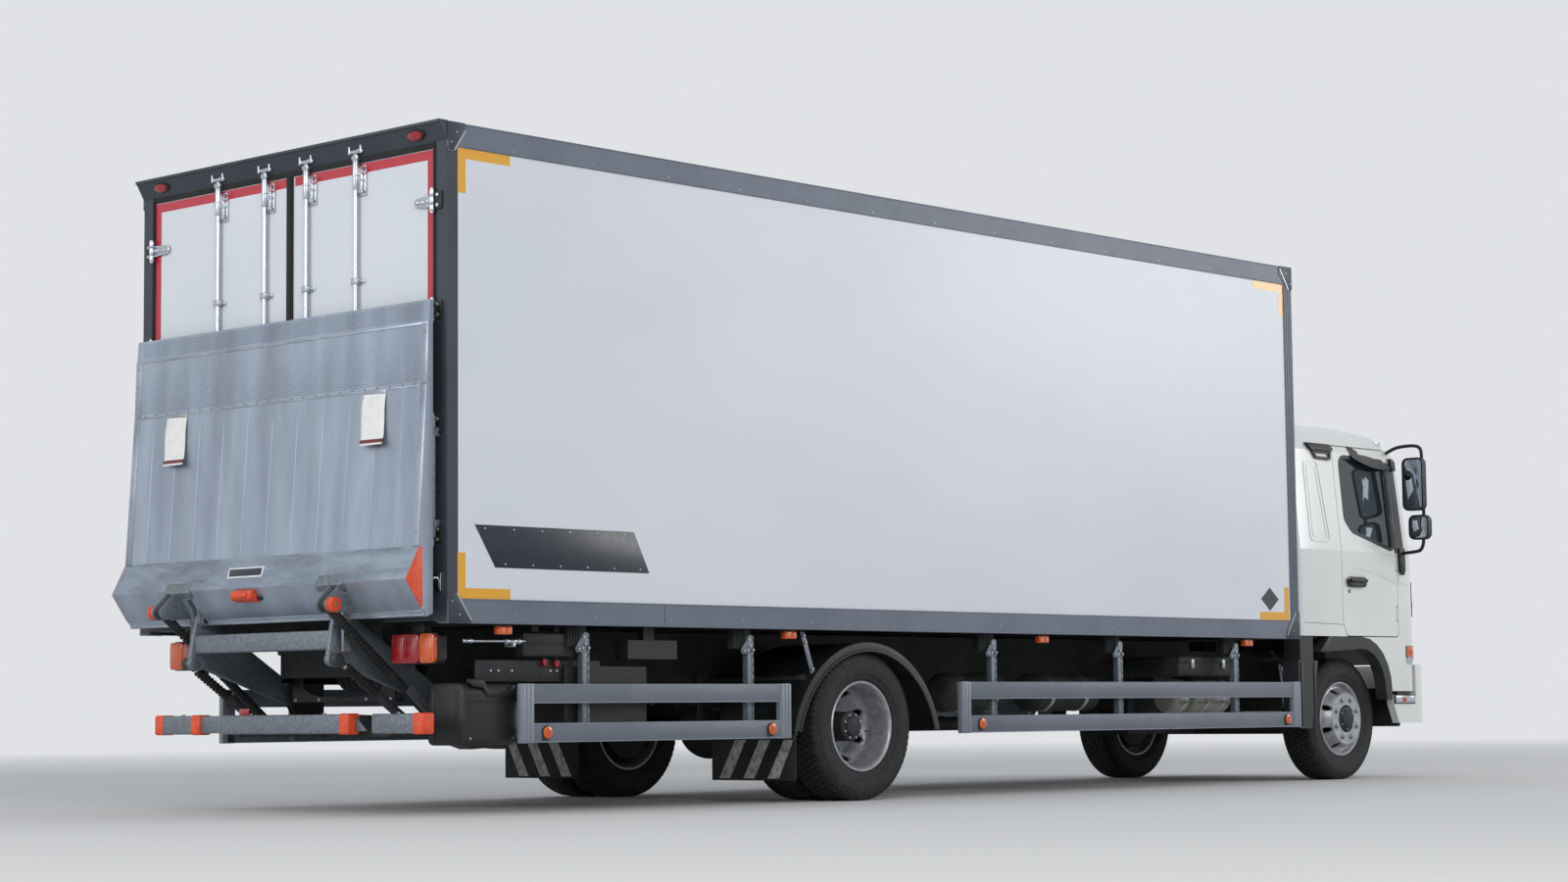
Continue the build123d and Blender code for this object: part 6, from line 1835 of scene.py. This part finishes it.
def addWrapped(bm, across, down, place, slot=0):
    # grid pushed one unit thick, then laid where place(s, t, level) says
    verts, known = set(bm.verts), set(bm.faces)
    bmesh.ops.create_grid(bm, x_segments=across, y_segments=down, size=0.5)
    pushOut(bm, [f for f in bm.faces if f not in known], (0, 0, 1))
    for vert in bm.verts:
        if vert not in verts:
            vert.co = place(vert.co.x + 0.5, vert.co.y + 0.5, vert.co.z)
    turnOutward(bm, known)
    paint(bm, known, slot)


def addTube(bm, points, radius, slot=0):
    # round tube along a smooth line, closed at its ends
    curve = bpy.data.curves.new("tubeLine", "CURVE")
    curve.dimensions = "3D"
    curve.bevel_depth = radius
    curve.bevel_resolution = 3
    curve.use_fill_caps = True
    spline = curve.splines.new("NURBS")
    spline.points.add(len(points) - 1)
    for control, point in zip(spline.points, points):
        control.co = tuple(point) + (1,)
    spline.order_u = 3
    spline.use_endpoint_u = True
    spline.resolution_u = 8
    holder = bpy.data.objects.new("tubeLine", curve)
    mesh = bpy.data.meshes.new_from_object(holder)
    known = set(bm.faces)
    bm.from_mesh(mesh)
    bpy.data.objects.remove(holder)
    paint(bm, known, slot)


windowShape = [(8.455, 2.27, 0.06), (9.03, 2.262, 0.05), (9.046, 1.622, 0.04), (8.53, 1.746, 0.09),
               (8.452, 1.83, 0.06)]
doorHandle = {"rear": 8.42, "front": 8.646, "low": 1.348, "high": 1.42, "proud": 0.0255}
visor = {"rear": 8.6, "front": 9.13, "rearTop": 2.306, "frontTop": 2.24, "deep": 0.082, "flare": 0.034}


def addPatch(bm, skin, cells, corner, size, lift, slot=0):
    # raised patch on a curved skin: its corner and size, the height of its rim and of its top above that
    addWrapped(bm, *cells, lambda s, t, level: skin(corner[0] + s * size[0], corner[1] - t * size[1],
                                                    lift[0] + lift[1] * level), slot)


def doorTrim(side, word):
    bm = bmesh.new()

    def place(x, z, off=0.0):
        return at(x, side * (cabSide(x, z) + off), z)

    outward = Vector((0, side, 0))
    window = roundedPolygon(windowShape)
    addRing(bm, grownOutline(window, 0.016), grownOutline(window, -0.01), lambda a, b: place(a, b, -0.006),
            outward * 0.01)
    # frame strip ahead of the glass
    strip = [(9.05, 2.246), (9.077, 2.24), (9.077, 1.6), (9.056, 1.606)]
    addFitted(bm, place, strip, 0.0005, outward * 0.004, 0, 0.001)

    def visorPlace(s, t, level):
        x = visor["rear"] + s * (visor["front"] - visor["rear"])
        top = visor["rearTop"] + s * (visor["frontTop"] - visor["rearTop"]) + 0.012 * math.sin(math.pi * s)
        z = top - t * visor["deep"] * max(math.sin(math.pi * (0.12 + 0.83 * s)), 0.12) ** 0.8
        flare = visor["flare"] * t ** 1.4 * math.sin(math.pi * (0.15 + 0.75 * s))
        return place(x, z, 0.004 + flare + 0.004 * level)

    addWrapped(bm, 20, 6, visorPlace, 1)
    addFitted(bm, place, ((8.592, 2.352), (8.64, 2.35), (8.7, 2.318), (8.7, 2.285), (8.606, 2.29)), 0.001,
              outward * 0.01, 0, 0.002)
    # handle: a black cover, painted shade of the handle's recess, with the lever across a hollow
    rear, front, low, high = doorHandle["rear"], doorHandle["front"], doorHandle["low"], doorHandle["high"]
    recessShadeCover = roundedRect(rear, front, low, high, 0.03)
    addSlab(bm, recessShadeCover, side * 1.149, side * doorHandle["proud"], 0, 0.006)
    lever = roundedRect(rear + 0.012, front - 0.006, low + 0.034, high - 0.014, 0.01)
    addSlab(bm, lever, side * 1.172, side * 0.016, 0, 0.005)
    # lighter grey patch in the hollow: a painted reflection
    hollowReflection = roundedRect(rear + 0.045, front - 0.055, low + 0.006, low + 0.03, 0.011)
    addSlab(bm, hollowReflection, side * 1.172, side * 0.0035, 1, 0.0012)
    key = at(8.452, side * 1.15, 1.318)
    addRod(bm, key, key + outward * 0.005, 0.013, 20, 0.012, 0)
    addRod(bm, key, key + outward * 0.0065, 0.0075, 16, slot=2)

    def creasePlace(s, t, level):
        # pressed fold that deepens towards the front
        x = 8.48 + s * 0.596
        middle = 1.488 - 0.093 * s ** 1.6
        z = middle + (0.5 - t) * (0.006 + 0.046 * s)
        lift = (0.0008 + 0.0075 * s) * math.sin(math.pi * t ** 0.6) if level else -0.001
        return place(x, z, lift)

    addWrapped(bm, 16, 6, creasePlace, 3)
    materials = [blackPlastic, greyPlastic, chromeSteel, cabEnamel]
    return finishPiece("doorTrim" + word.capitalize(), bm, materials, "cab_door_" + word)


def cabTrim():
    bm = bmesh.new()

    def place(x, z, off=0.0):
        return at(x, -cabSide(x, z) - off, z)

    outward = Vector((0, -1, 0))
    # black pillar trim ahead of the door, and the mirror arm's foot with its pointed cover
    def pillarPlace(s, t, level):
        z = 2.215 - t * 0.61
        x = 9.09 + s * (0.06 + 0.026 * t)
        return place(x, z, 0.0005 + 0.0045 * level)

    addWrapped(bm, 4, 10, pillarPlace)
    foot = [(9.092, 1.64), (9.166, 1.64), (9.162, 1.478), (9.14, 1.445), (9.098, 1.47)]
    addFitted(bm, place, foot, 0.0, outward * 0.026, 0, 0.006)
    addFitted(bm, place, ((9.092, 2.29), (9.15, 2.27), (9.15, 2.2), (9.092, 2.206)), 0.0, outward * 0.03, 0,
              0.006)
    # pressed panel behind the door: two low ridges one inside the other
    for grow, high in ((0.0, 0.005), (-0.034, 0.0035)):
        shape = roundedPolygon([(7.985, 2.225, 0.04), (8.165, 2.225, 0.04), (8.24, 1.655, 0.04),
                                (7.985, 1.655, 0.04)])
        shape = grownOutline(shape, grow) if grow else shape
        addRing(bm, shape, grownOutline(shape, -0.011), lambda a, b: place(a, b, -0.002),
                outward * (high + 0.002), 1)
    # moulded black vent at the roof's rear corner
    addFitted(bm, place, ((8.052, 2.352), (8.34, 2.352), (8.368, 2.318), (8.33, 2.3), (8.074, 2.3)), -0.002,
              outward * 0.03, 0, 0.005)
    loop = roundedPolygon([(8.085, 2.303, 0.01), (8.335, 2.303, 0.01), (8.325, 2.236, 0.02),
                           (8.14, 2.24, 0.02)])
    addRing(bm, loop, grownOutline(loop, -0.02), lambda a, b: place(a, b, -0.002), outward * 0.018)
    # seam above the lower rear panel, and the rear panel's edge line
    addWrapped(bm, 8, 1, lambda s, t, level: place(7.875 + s * 0.49, 1.0925 - 0.003 * t - 0.008 * s,
                                                   0.0008 * level), 2)
    # crease carried on from the door to the corner
    def creasePlace(s, t, level):
        x = 9.09 + s * 0.18
        z = 1.404 - 0.022 * s + (0.5 - t) * 0.052
        lift = 0.0083 * (1 - s) ** 0.5 * math.sin(math.pi * t ** 0.6) if level else -0.001
        return place(x, z, lift)

    addWrapped(bm, 10, 6, creasePlace, 1)
    # first facet of the arch moulding in a lighter grey: a painted highlight
    litFacet = [(8.07, 0.893), (8.15, 0.893), (8.222, 0.998), (8.182, 0.998)]
    addSlab(bm, litFacet, -1.1495, -0.003, 3, 0.0008)
    # ribs of the spray panel behind the wheel and the inner panel ahead of it
    for x0, x1 in ((7.83, 7.846), (7.99, 8.004)):
        shape = [(x0, 0.38), (x1, 0.38), (x1 + 0.01, 0.815), (x0, 0.815)]
        addSlab(bm, shape, -1.139, -0.009, 3, 0.003)
    addBlock(bm, (9.076, -1.13, 0.366), (9.11, -0.8, 0.64), 0.008)
    copyAcross(bm)
    return finishPiece("cabTrim", bm, [blackPlastic, cabEnamel, gasketRubber, greyPlastic])


def cabLamps():
    # corner lamps, bumper side lamps, roof lamps and headlamps
    bm = bmesh.new()

    def place(x, z, off=0.0):
        return at(x, -cabSide(x, z) - off, z)

    addPatch(bm, place, (10, 4), (9.172, 0.94), (0.15, 0.082), (0, 0.003))
    addWrapped(bm, 10, 4, lambda s, t, level: place(9.18 + s * 0.134, 0.935 - t * 0.07,
               level * (0.006 + 0.01 * math.sin(math.pi * s) * math.sin(math.pi * t))), 1)
    addWrapped(bm, 6, 3, lambda s, t, level: place(9.182 + s * (0.125 - 0.06 * t), 0.862 - t * 0.052,
                                                   0.01 * level * (1 - 0.6 * t)), 2)
    addPatch(bm, place, (6, 8), (9.33, 1.402), (0.058, 0.25), (0.002, 0.005), 3)
    addPatch(bm, place, (6, 2), (9.332, 1.262), (0.054, 0.05), (0.005, 0.004), 1)
    addBlock(bm, (8.996, -1.16, 0.527), (9.272, -1.149, 0.59), 0.004)
    addBlock(bm, (9.004, -1.166, 0.533), (9.205, -1.158, 0.584), 0.005, 2)
    addBlock(bm, (9.208, -1.166, 0.533), (9.262, -1.158, 0.584), 0.005, 2)
    addBlock(bm, (9.092, -1.169, 0.541), (9.146, -1.164, 0.574), 0.003, 3)
    addBlock(bm, (9.12, -1.17, 0.545), (9.14, -1.166, 0.57), 0.002, 1)
    roof = place(9.052, 2.392, 0.0)
    addBlock(bm, roof + Vector((-0.035, -0.008, -0.02)), roof + Vector((0.035, 0.03, 0.018)), 0.008, 2)
    addBlock(bm, roof + Vector((-0.028, -0.013, -0.013)), roof + Vector((0.012, 0.0, 0.011)), 0.005, 4)

    def onBumper(y, z, off=0.0):
        return at(bumperFront(y) + off, -y, z)

    addPatch(bm, onBumper, (12, 4), (0.622, 0.766), (0.42, 0.18), (0, 0.004))
    addPatch(bm, onBumper, (6, 4), (0.915, 0.752), (0.112, 0.15), (0.003, 0.01), 1)
    for y, radius in ((0.7, 0.062), (0.838, 0.058)):
        centre = onBumper(y, 0.676)
        shell = [(0, -0.012), (radius + 0.007, -0.012), (radius + 0.007, 0.006), (radius, 0.008),
                 (radius - 0.003, 0.001), (radius * 0.5, -0.006), (0, -0.008)]
        addTurned(bm, shell, centre, (1, 0, 0), 32, 2, closed=False)
        glass = [(0, 0.0005), (radius - 0.003, 0.0005), (radius - 0.002, 0.006), (radius * 0.7, 0.0105),
                 (0, 0.0125)]
        addTurned(bm, glass, centre, (1, 0, 0), 32, 4, closed=False)
    copyAcross(bm)
    piece = finishPiece("cabLampsPiece", bm, [blackPlastic, amberLens, rodSteel, redLens, clearLens])
    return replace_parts(piece, "lamps")


mirrorArm = [(9.1, 1.06, 2.322), (9.118, 1.12, 2.362), (9.13, 1.2, 2.374), (9.13, 1.3, 2.374),
             (9.13, 1.346, 2.35), (9.13, 1.35, 2.28), (9.13, 1.356, 1.9), (9.13, 1.352, 1.7),
             (9.132, 1.335, 1.63), (9.136, 1.29, 1.608), (9.142, 1.136, 1.604)]
mirrorShells = [
    # low and high corners of each shell, with the glass on its rear face
    ((9.092, 1.205, 1.905), (9.168, 1.375, 2.285)), ((9.092, 1.25, 1.695), (9.168, 1.41, 1.872)),
]


def mirrorPair():
    # deep rounded shells with the glass set back in their rear faces, on a bent black tube
    bm = bmesh.new()
    addTube(bm, [at(x, -y, z) for x, y, z in mirrorArm], 0.0125)
    for low, high in mirrorShells:
        y0, y1 = low[1], high[1]
        z0, z1 = low[2], high[2]
        shape = roundedRect(y0, y1, z0, z1, 0.045, 6)
        inner = grownOutline(shape, -0.011)
        addPanel(bm, shape, low[0] + 0.02, 0.034, 0, 0.004, hand=-1)
        # crowned back of the shell
        middle = ((y0 + y1) / 2, (z0 + z1) / 2)
        for share, depth in ((0.94, 0.064), (0.82, 0.072), (0.62, 0.076)):
            smaller = [(middle[0] + (y - middle[0]) * share, middle[1] + (z - middle[1]) * share)
                       for y, z in shape]
            addPanel(bm, smaller, low[0] + 0.04, depth - 0.04, 0, 0.006, hand=-1)
        addRing(bm, shape, inner, lambda a, b: at(low[0], -a, b), Vector((0.022, 0, 0)))
        addPanel(bm, grownOutline(shape, -0.01), low[0] + 0.006, 0.003, 1, 0.0005, hand=-1)
        for z in (z0 + 0.04, z1 - 0.04):
            addBlock(bm, (9.112, -1.372, z - 0.016), (9.15, -1.33, z + 0.016), 0.006)
    addBlock(bm, (9.108, -1.15, 1.588), (9.176, -1.12, 1.62), 0.006)
    copyAcross(bm)
    piece = finishPiece("mirrorPair", bm, [blackPlastic, glassMirror])
    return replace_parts(piece, "mirrors")


def cabFace():
    # windscreen seal, cowl, wipers, mesh behind the grille bars, plain plate, and a dark strip painted as the
    # shade of the bumper's lower opening
    bm = bmesh.new()

    def place(y, z, off=0.0):
        return at(cabFront(y, z) + off, y, z)

    screen = roundedPolygon([(-1.04, 1.505, 0.06), (1.04, 1.505, 0.06), (0.985, 2.225, 0.07),
                             (-0.985, 2.225, 0.07)])
    addRing(bm, grownOutline(screen, 0.018), grownOutline(screen, -0.012), lambda a, b: place(a, b, -0.005),
            Vector((0.009, 0, 0)))
    addPatch(bm, place, (36, 3), (-1.03, 1.492), (2.06, 0.046), (0.001, 0.008), 1)
    addPatch(bm, place, (24, 6), (-0.7, 1.42), (1.4, 0.38), (0.0004, 0.003), 2)
    addPatch(bm, place, (24, 3), (-0.78, 1.006), (1.56, 0.03), (0.001, 0.01), 3)
    for pivot, tip, sweep in ((-0.78, -0.12, 0.055), (0.06, 0.72, 0.055)):
        start = place(pivot, 1.47, 0.018)
        bend = place(pivot + 0.12, 1.512, 0.044)
        end = place((pivot + tip) / 2, 1.548, 0.034)
        addRod(bm, place(pivot, 1.47, 0.0), start + Vector((0.012, 0, 0)), 0.015, bevel=0.003)
        addTube(bm, [start, bend, end], 0.006)
        blade = [place(pivot + (tip - pivot) * step / 6, 1.53 + sweep * step / 6, 0.02) for step in range(7)]
        addTube(bm, blade, 0.0055)
    # plain plate on its holder
    addBlock(bm, (9.664, -0.275, 0.492), (9.6765, 0.275, 0.622), 0.002)
    addBlock(bm, (9.675, -0.26, 0.502), (9.679, 0.26, 0.612), 0.0015, 4)

    def trimPlace(y, z, off):
        return at(min(bumperFront(y) + off, bumper["limit"]), y, z)

    # dark rubber strip on the bumper: painted shade of its lower opening
    addPatch(bm, trimPlace, (24, 2), (-0.56, 0.47), (1.12, 0.05), (0, 0.0015))
    addPatch(bm, trimPlace, (30, 1), (-0.9, 0.786), (1.8, 0.014), (0, 0.003))
    for y in (-0.5, 0.5):
        addRod(bm, (bumperFront(y) - 0.004, y, 0.535), (bumperFront(y) + 0.006, y, 0.535), 0.03, 28, slot=0,
               bevel=0.002)
    return finishPiece("cabFace", bm, [gasketRubber, blackPlastic, greyPlastic, cabEnamel, platePvc])


for side, word in ((1, "left"), (-1, "right")):
    doorTrim(side, word)
cabTrim()
cabLamps()
mirrorPair()
cabFace()
print("cab dressed")


# tanks and boxes on the frame rails
tankRow = {"y": -0.985, "z": 0.592, "radius": 0.117, "spans": [(6.458, 6.632), (6.672, 7.095)]}


def domedTank(bm, start, end, radius, slot=0, straps=()):
    # pressed tank with dished ends, a weld bead and its straps
    run = (end - start).length
    along = (end - start).normalized()
    dome = radius * 0.34
    outline = [(0, 0.0), (radius * 0.55, 0.01), (radius * 0.86, dome * 0.55), (radius * 0.985, dome),
               (radius, dome + 0.012), (radius + 0.0015, dome + 0.016), (radius + 0.0015, dome + 0.024),
               (radius, dome + 0.028)]
    outline += [(r, run - d) for r, d in reversed(outline)]
    addTurned(bm, outline, start, tuple(along), 40, slot, closed=False)
    for share in straps:
        middle = start.lerp(end, share)
        addRod(bm, middle - along * 0.017, middle + along * 0.017, radius + 0.0025, 40, slot=2, bevel=0.001)


def frameTanks():
    bm = bmesh.new()
    y, z, radius = tankRow["y"], tankRow["z"], tankRow["radius"]
    for x0, x1 in tankRow["spans"]:
        domedTank(bm, at(x0, y, z), at(x1, y, z), radius, 0, (0.28, 0.72) if x1 - x0 > 0.3 else (0.5,))
        addBolt(bm, ((x0 + x1) / 2, y - 0.03, z - radius + 0.004), ((x0 + x1) / 2, y - 0.03, 0.472), 0.014,
                slot=3, bevel=0.0)
    # black battery cover above them with a pressed lid
    addBlock(bm, (6.452, -1.108, 0.722), (7.098, -0.604, 0.846), 0.012, 1, 2)
    addBlock(bm, (6.45, -1.118, 0.8), (7.1, -0.602, 0.85), 0.016, 1, 2)
    for x in (6.6, 6.95):
        addBlock(bm, (x - 0.018, -1.12, 0.77), (x + 0.018, -1.105, 0.83), 0.004, 3)
    for x in (6.64, 7.092):
        addBlock(bm, (x - 0.006, -0.76, 0.48), (x + 0.006, -0.604, 0.73), 0.002, 1)
    for x0, x1 in ((5.25, 5.95), (4.4, 5.0)):
        domedTank(bm, at(x0, -0.76, 0.62), at(x1, -0.76, 0.62), 0.1195, 1, (0.25, 0.75))
        addBolt(bm, (x0 + 0.18, -0.8, 0.51), (x0 + 0.18, -0.8, 0.502), 0.012, slot=3, bevel=0.0)
    # fuel tank on the left, aluminium with three straps and a filler
    addBlock(bm, (5.004, 0.564, 0.474), (6.146, 1.146, 0.856), 0.07, 0, 5)
    for x in (5.22, 5.6, 5.95):
        addBlock(bm, (x - 0.024, 0.561, 0.4715), (x + 0.024, 1.1495, 0.8585), 0.072, 2, 5)
    addRod(bm, (5.42, 1.05, 0.8), (5.42, 1.125, 0.852), 0.052, 28, slot=1, bevel=0.006)
    # silencer drum on the left behind the cab
    domedTank(bm, at(6.502, 0.86, 0.64), at(7.298, 0.86, 0.64), 0.229, 4, (0.2, 0.8))
    piece = finishPiece("frameTanks", bm, [dullAluminium, chassisPaint, rodSteel, boltSteel, zincSteel])
    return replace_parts(piece, "tanks_and_boxes")


def frontBrakeLines():
    # bright pipes and hoses behind the front wheel
    bm = bmesh.new()
    for shift, radius, slot in ((0.0, 0.0065, 0), (0.03, 0.005, 0), (0.055, 0.01, 1)):
        points = [(7.91 + shift, -0.84, 0.9), (7.905 + shift, -0.905, 0.83), (7.93 + shift, -0.915, 0.7),
                  (7.96 + shift, -0.905, 0.56), (8.01 + shift, -0.88, 0.5), (8.06 + shift, -0.82, 0.52)]
        addTube(bm, [at(x, y, z) for x, y, z in points], radius, slot)
    for z in (0.83, 0.64):
        addBlock(bm, (7.9, -0.925, z - 0.012), (7.985, -0.87, z + 0.012), 0.004, 1)
    return finishPiece("frontBrakeLines", bm, [rodSteel, blackPlastic])


dullAluminium = bareMetal("brushedTankAluminium", "#a9a79f", 0.38, 0.9, (0.3, 1, 1))
frameTanks()
frontBrakeLines()


# cab inside: seats with crowned cushions on pedestals
seatPlan = {"side": 0.52, "crown": 0.022, "cells": 20, "grooves": (5, 15)}


def crownedCushion(bm, outline, half):
    # outline in (x, z); the cushion swells between its piped side seams
    crown, across = seatPlan["crown"], seatPlan["cells"]
    outline = roundedPolygon([(x, z, 0.038) for x, z in outline], 4, 0.045)
    middle = (sum(x for x, z in outline) / len(outline), sum(z for x, z in outline) / len(outline))
    rows = []
    for step in range(across + 1):
        share = step / across * 2 - 1
        swell = 1 - crown / 0.07 * abs(share) ** 5 * 0.9
        groove = 0.006 if step in seatPlan["grooves"] else 0.0
        row = []
        for x, z in outline:
            out = Vector((x - middle[0], z - middle[1]))
            point = out * (1 - (1 - swell) * 0.35) - (out.normalized() * groove if out.length else out)
            row.append(bm.verts.new(at(middle[0] + point.x, share * half, middle[1] + point.y)))
        rows.append(row)
    count = len(outline)
    faces = []
    for first, second in zip(rows, rows[1:]):
        for index in range(count):
            faces.append(bm.faces.new((first[index - 1], first[index], second[index], second[index - 1])))
    faces.append(bm.faces.new(rows[0]))
    faces.append(bm.faces.new(rows[-1]))
    bmesh.ops.recalc_face_normals(bm, faces=faces)


def seatPair():
    bm = bmesh.new()
    crownedCushion(bm, [(8.198, 1.224), (8.198, 1.348), (8.616, 1.376), (8.616, 1.224)], 0.247)
    crownedCushion(bm, [(8.064, 1.246), (7.966, 2.014), (8.056, 2.034), (8.19, 1.42), (8.19, 1.246)], 0.236)
    return bm


def placeSeats():
    bm = bmesh.new()
    for shift in (-seatPlan["side"], seatPlan["side"]):
        one = seatPair()
        bmesh.ops.translate(one, verts=one.verts[:], vec=(0, shift, 0))
        mesh = meshOf(one, "oneSeat")
        bm.from_mesh(mesh)
        bpy.data.meshes.remove(mesh)
    seats = finishPiece("seatPair", bm, [clothSeat, gasketRubber])
    base = bmesh.new()
    for shift in (-seatPlan["side"], seatPlan["side"]):
        addBlock(base, (8.134, shift - 0.172, 1.042), (8.556, shift + 0.172, 1.218), 0.02, 0, 2)
    finishPiece("seatPedestals", base, [blackPlastic])
    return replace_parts(seats, "seats")


placeSeats()
print("frame and cab filled")


# floor and light
backdrop = {"Color": toLinear("#e9ebee"), "Strength": 0.92}


def seenOrMirrored(tree):
    # rays that look straight at the backdrop, or at it in a mirror or through glass
    path = addNode(tree, "ShaderNodeLightPath")
    either = mathNode(tree, "MAXIMUM", path.outputs["Is Camera Ray"], path.outputs["Is Glossy Ray"])
    return mathNode(tree, "MAXIMUM", either, path.outputs["Is Transmission Ray"])


def stageAndLight():
    bm = bmesh.new()
    bmesh.ops.create_grid(bm, x_segments=1, y_segments=1, size=120)
    floor = linked("paleFloor", meshOf(bm, "paleFloor"))
    material, tree, shader, place = startMaterial("paleStudioFloor", "#d6d6d5", 0.9)
    away = addNode(tree, "ShaderNodeVectorMath", {"operation": "LENGTH"}, {0: place}).outputs["Value"]
    fade = addNode(tree, "ShaderNodeMapRange", {1: 10.0, 2: 30.0}, {0: away}).outputs[0]
    share = mathNode(tree, "MULTIPLY", fade, seenOrMirrored(tree))
    plain = addNode(tree, "ShaderNodeEmission", backdrop)
    mixed = addNode(tree, "ShaderNodeMixShader", links={0: share, 1: shader.outputs[0], 2: plain.outputs[0]})
    output = [n for n in tree.nodes if n.type == "OUTPUT_MATERIAL"][0]
    tree.links.new(mixed.outputs[0], output.inputs["Surface"])
    floor.data.materials.append(material)

    world = bpy.data.worlds.new("studioWorld")
    bpy.context.scene.world = world
    world.use_nodes = True
    tree = world.node_tree
    tree.nodes.clear()
    glow = addNode(tree, "ShaderNodeBackground", {"Color": toLinear("#e6eaf0"), "Strength": 0.62})
    plain = addNode(tree, "ShaderNodeBackground", backdrop)
    mixed = addNode(tree, "ShaderNodeMixShader", links={0: seenOrMirrored(tree), 1: glow.outputs[0],
                                                        2: plain.outputs[0]})
    addNode(tree, "ShaderNodeOutputWorld", links={"Surface": mixed.outputs[0]})

    lamps = [
        # name, place, aimed at, size, watts
        ("keyLamp", (-9.0, -14.0, 8.0), (1.5, -1.0, 1.5), 7.0, 960),
        ("rearLamp", (-13.0, 3.0, 6.0), (0.0, 0.0, 1.6), 6.0, 600),
        ("frontLamp", (17.0, -10.0, 6.5), (8.0, 0.0, 1.4), 6.0, 620),
    ]
    for name, place, aim, size, watts in lamps:
        data = bpy.data.lights.new(name, "AREA")
        data.size = size
        data.energy = watts
        lamp = linked(name, data)
        start, end = at(*place), at(*aim)
        turn = (end - start).to_track_quat("-Z", "Y").to_matrix().to_4x4()
        lamp.matrix_world = Matrix.Translation(start) @ turn


stageAndLight()
bpy.context.scene.view_settings.view_transform = "Standard"
print("stage and lamps set")
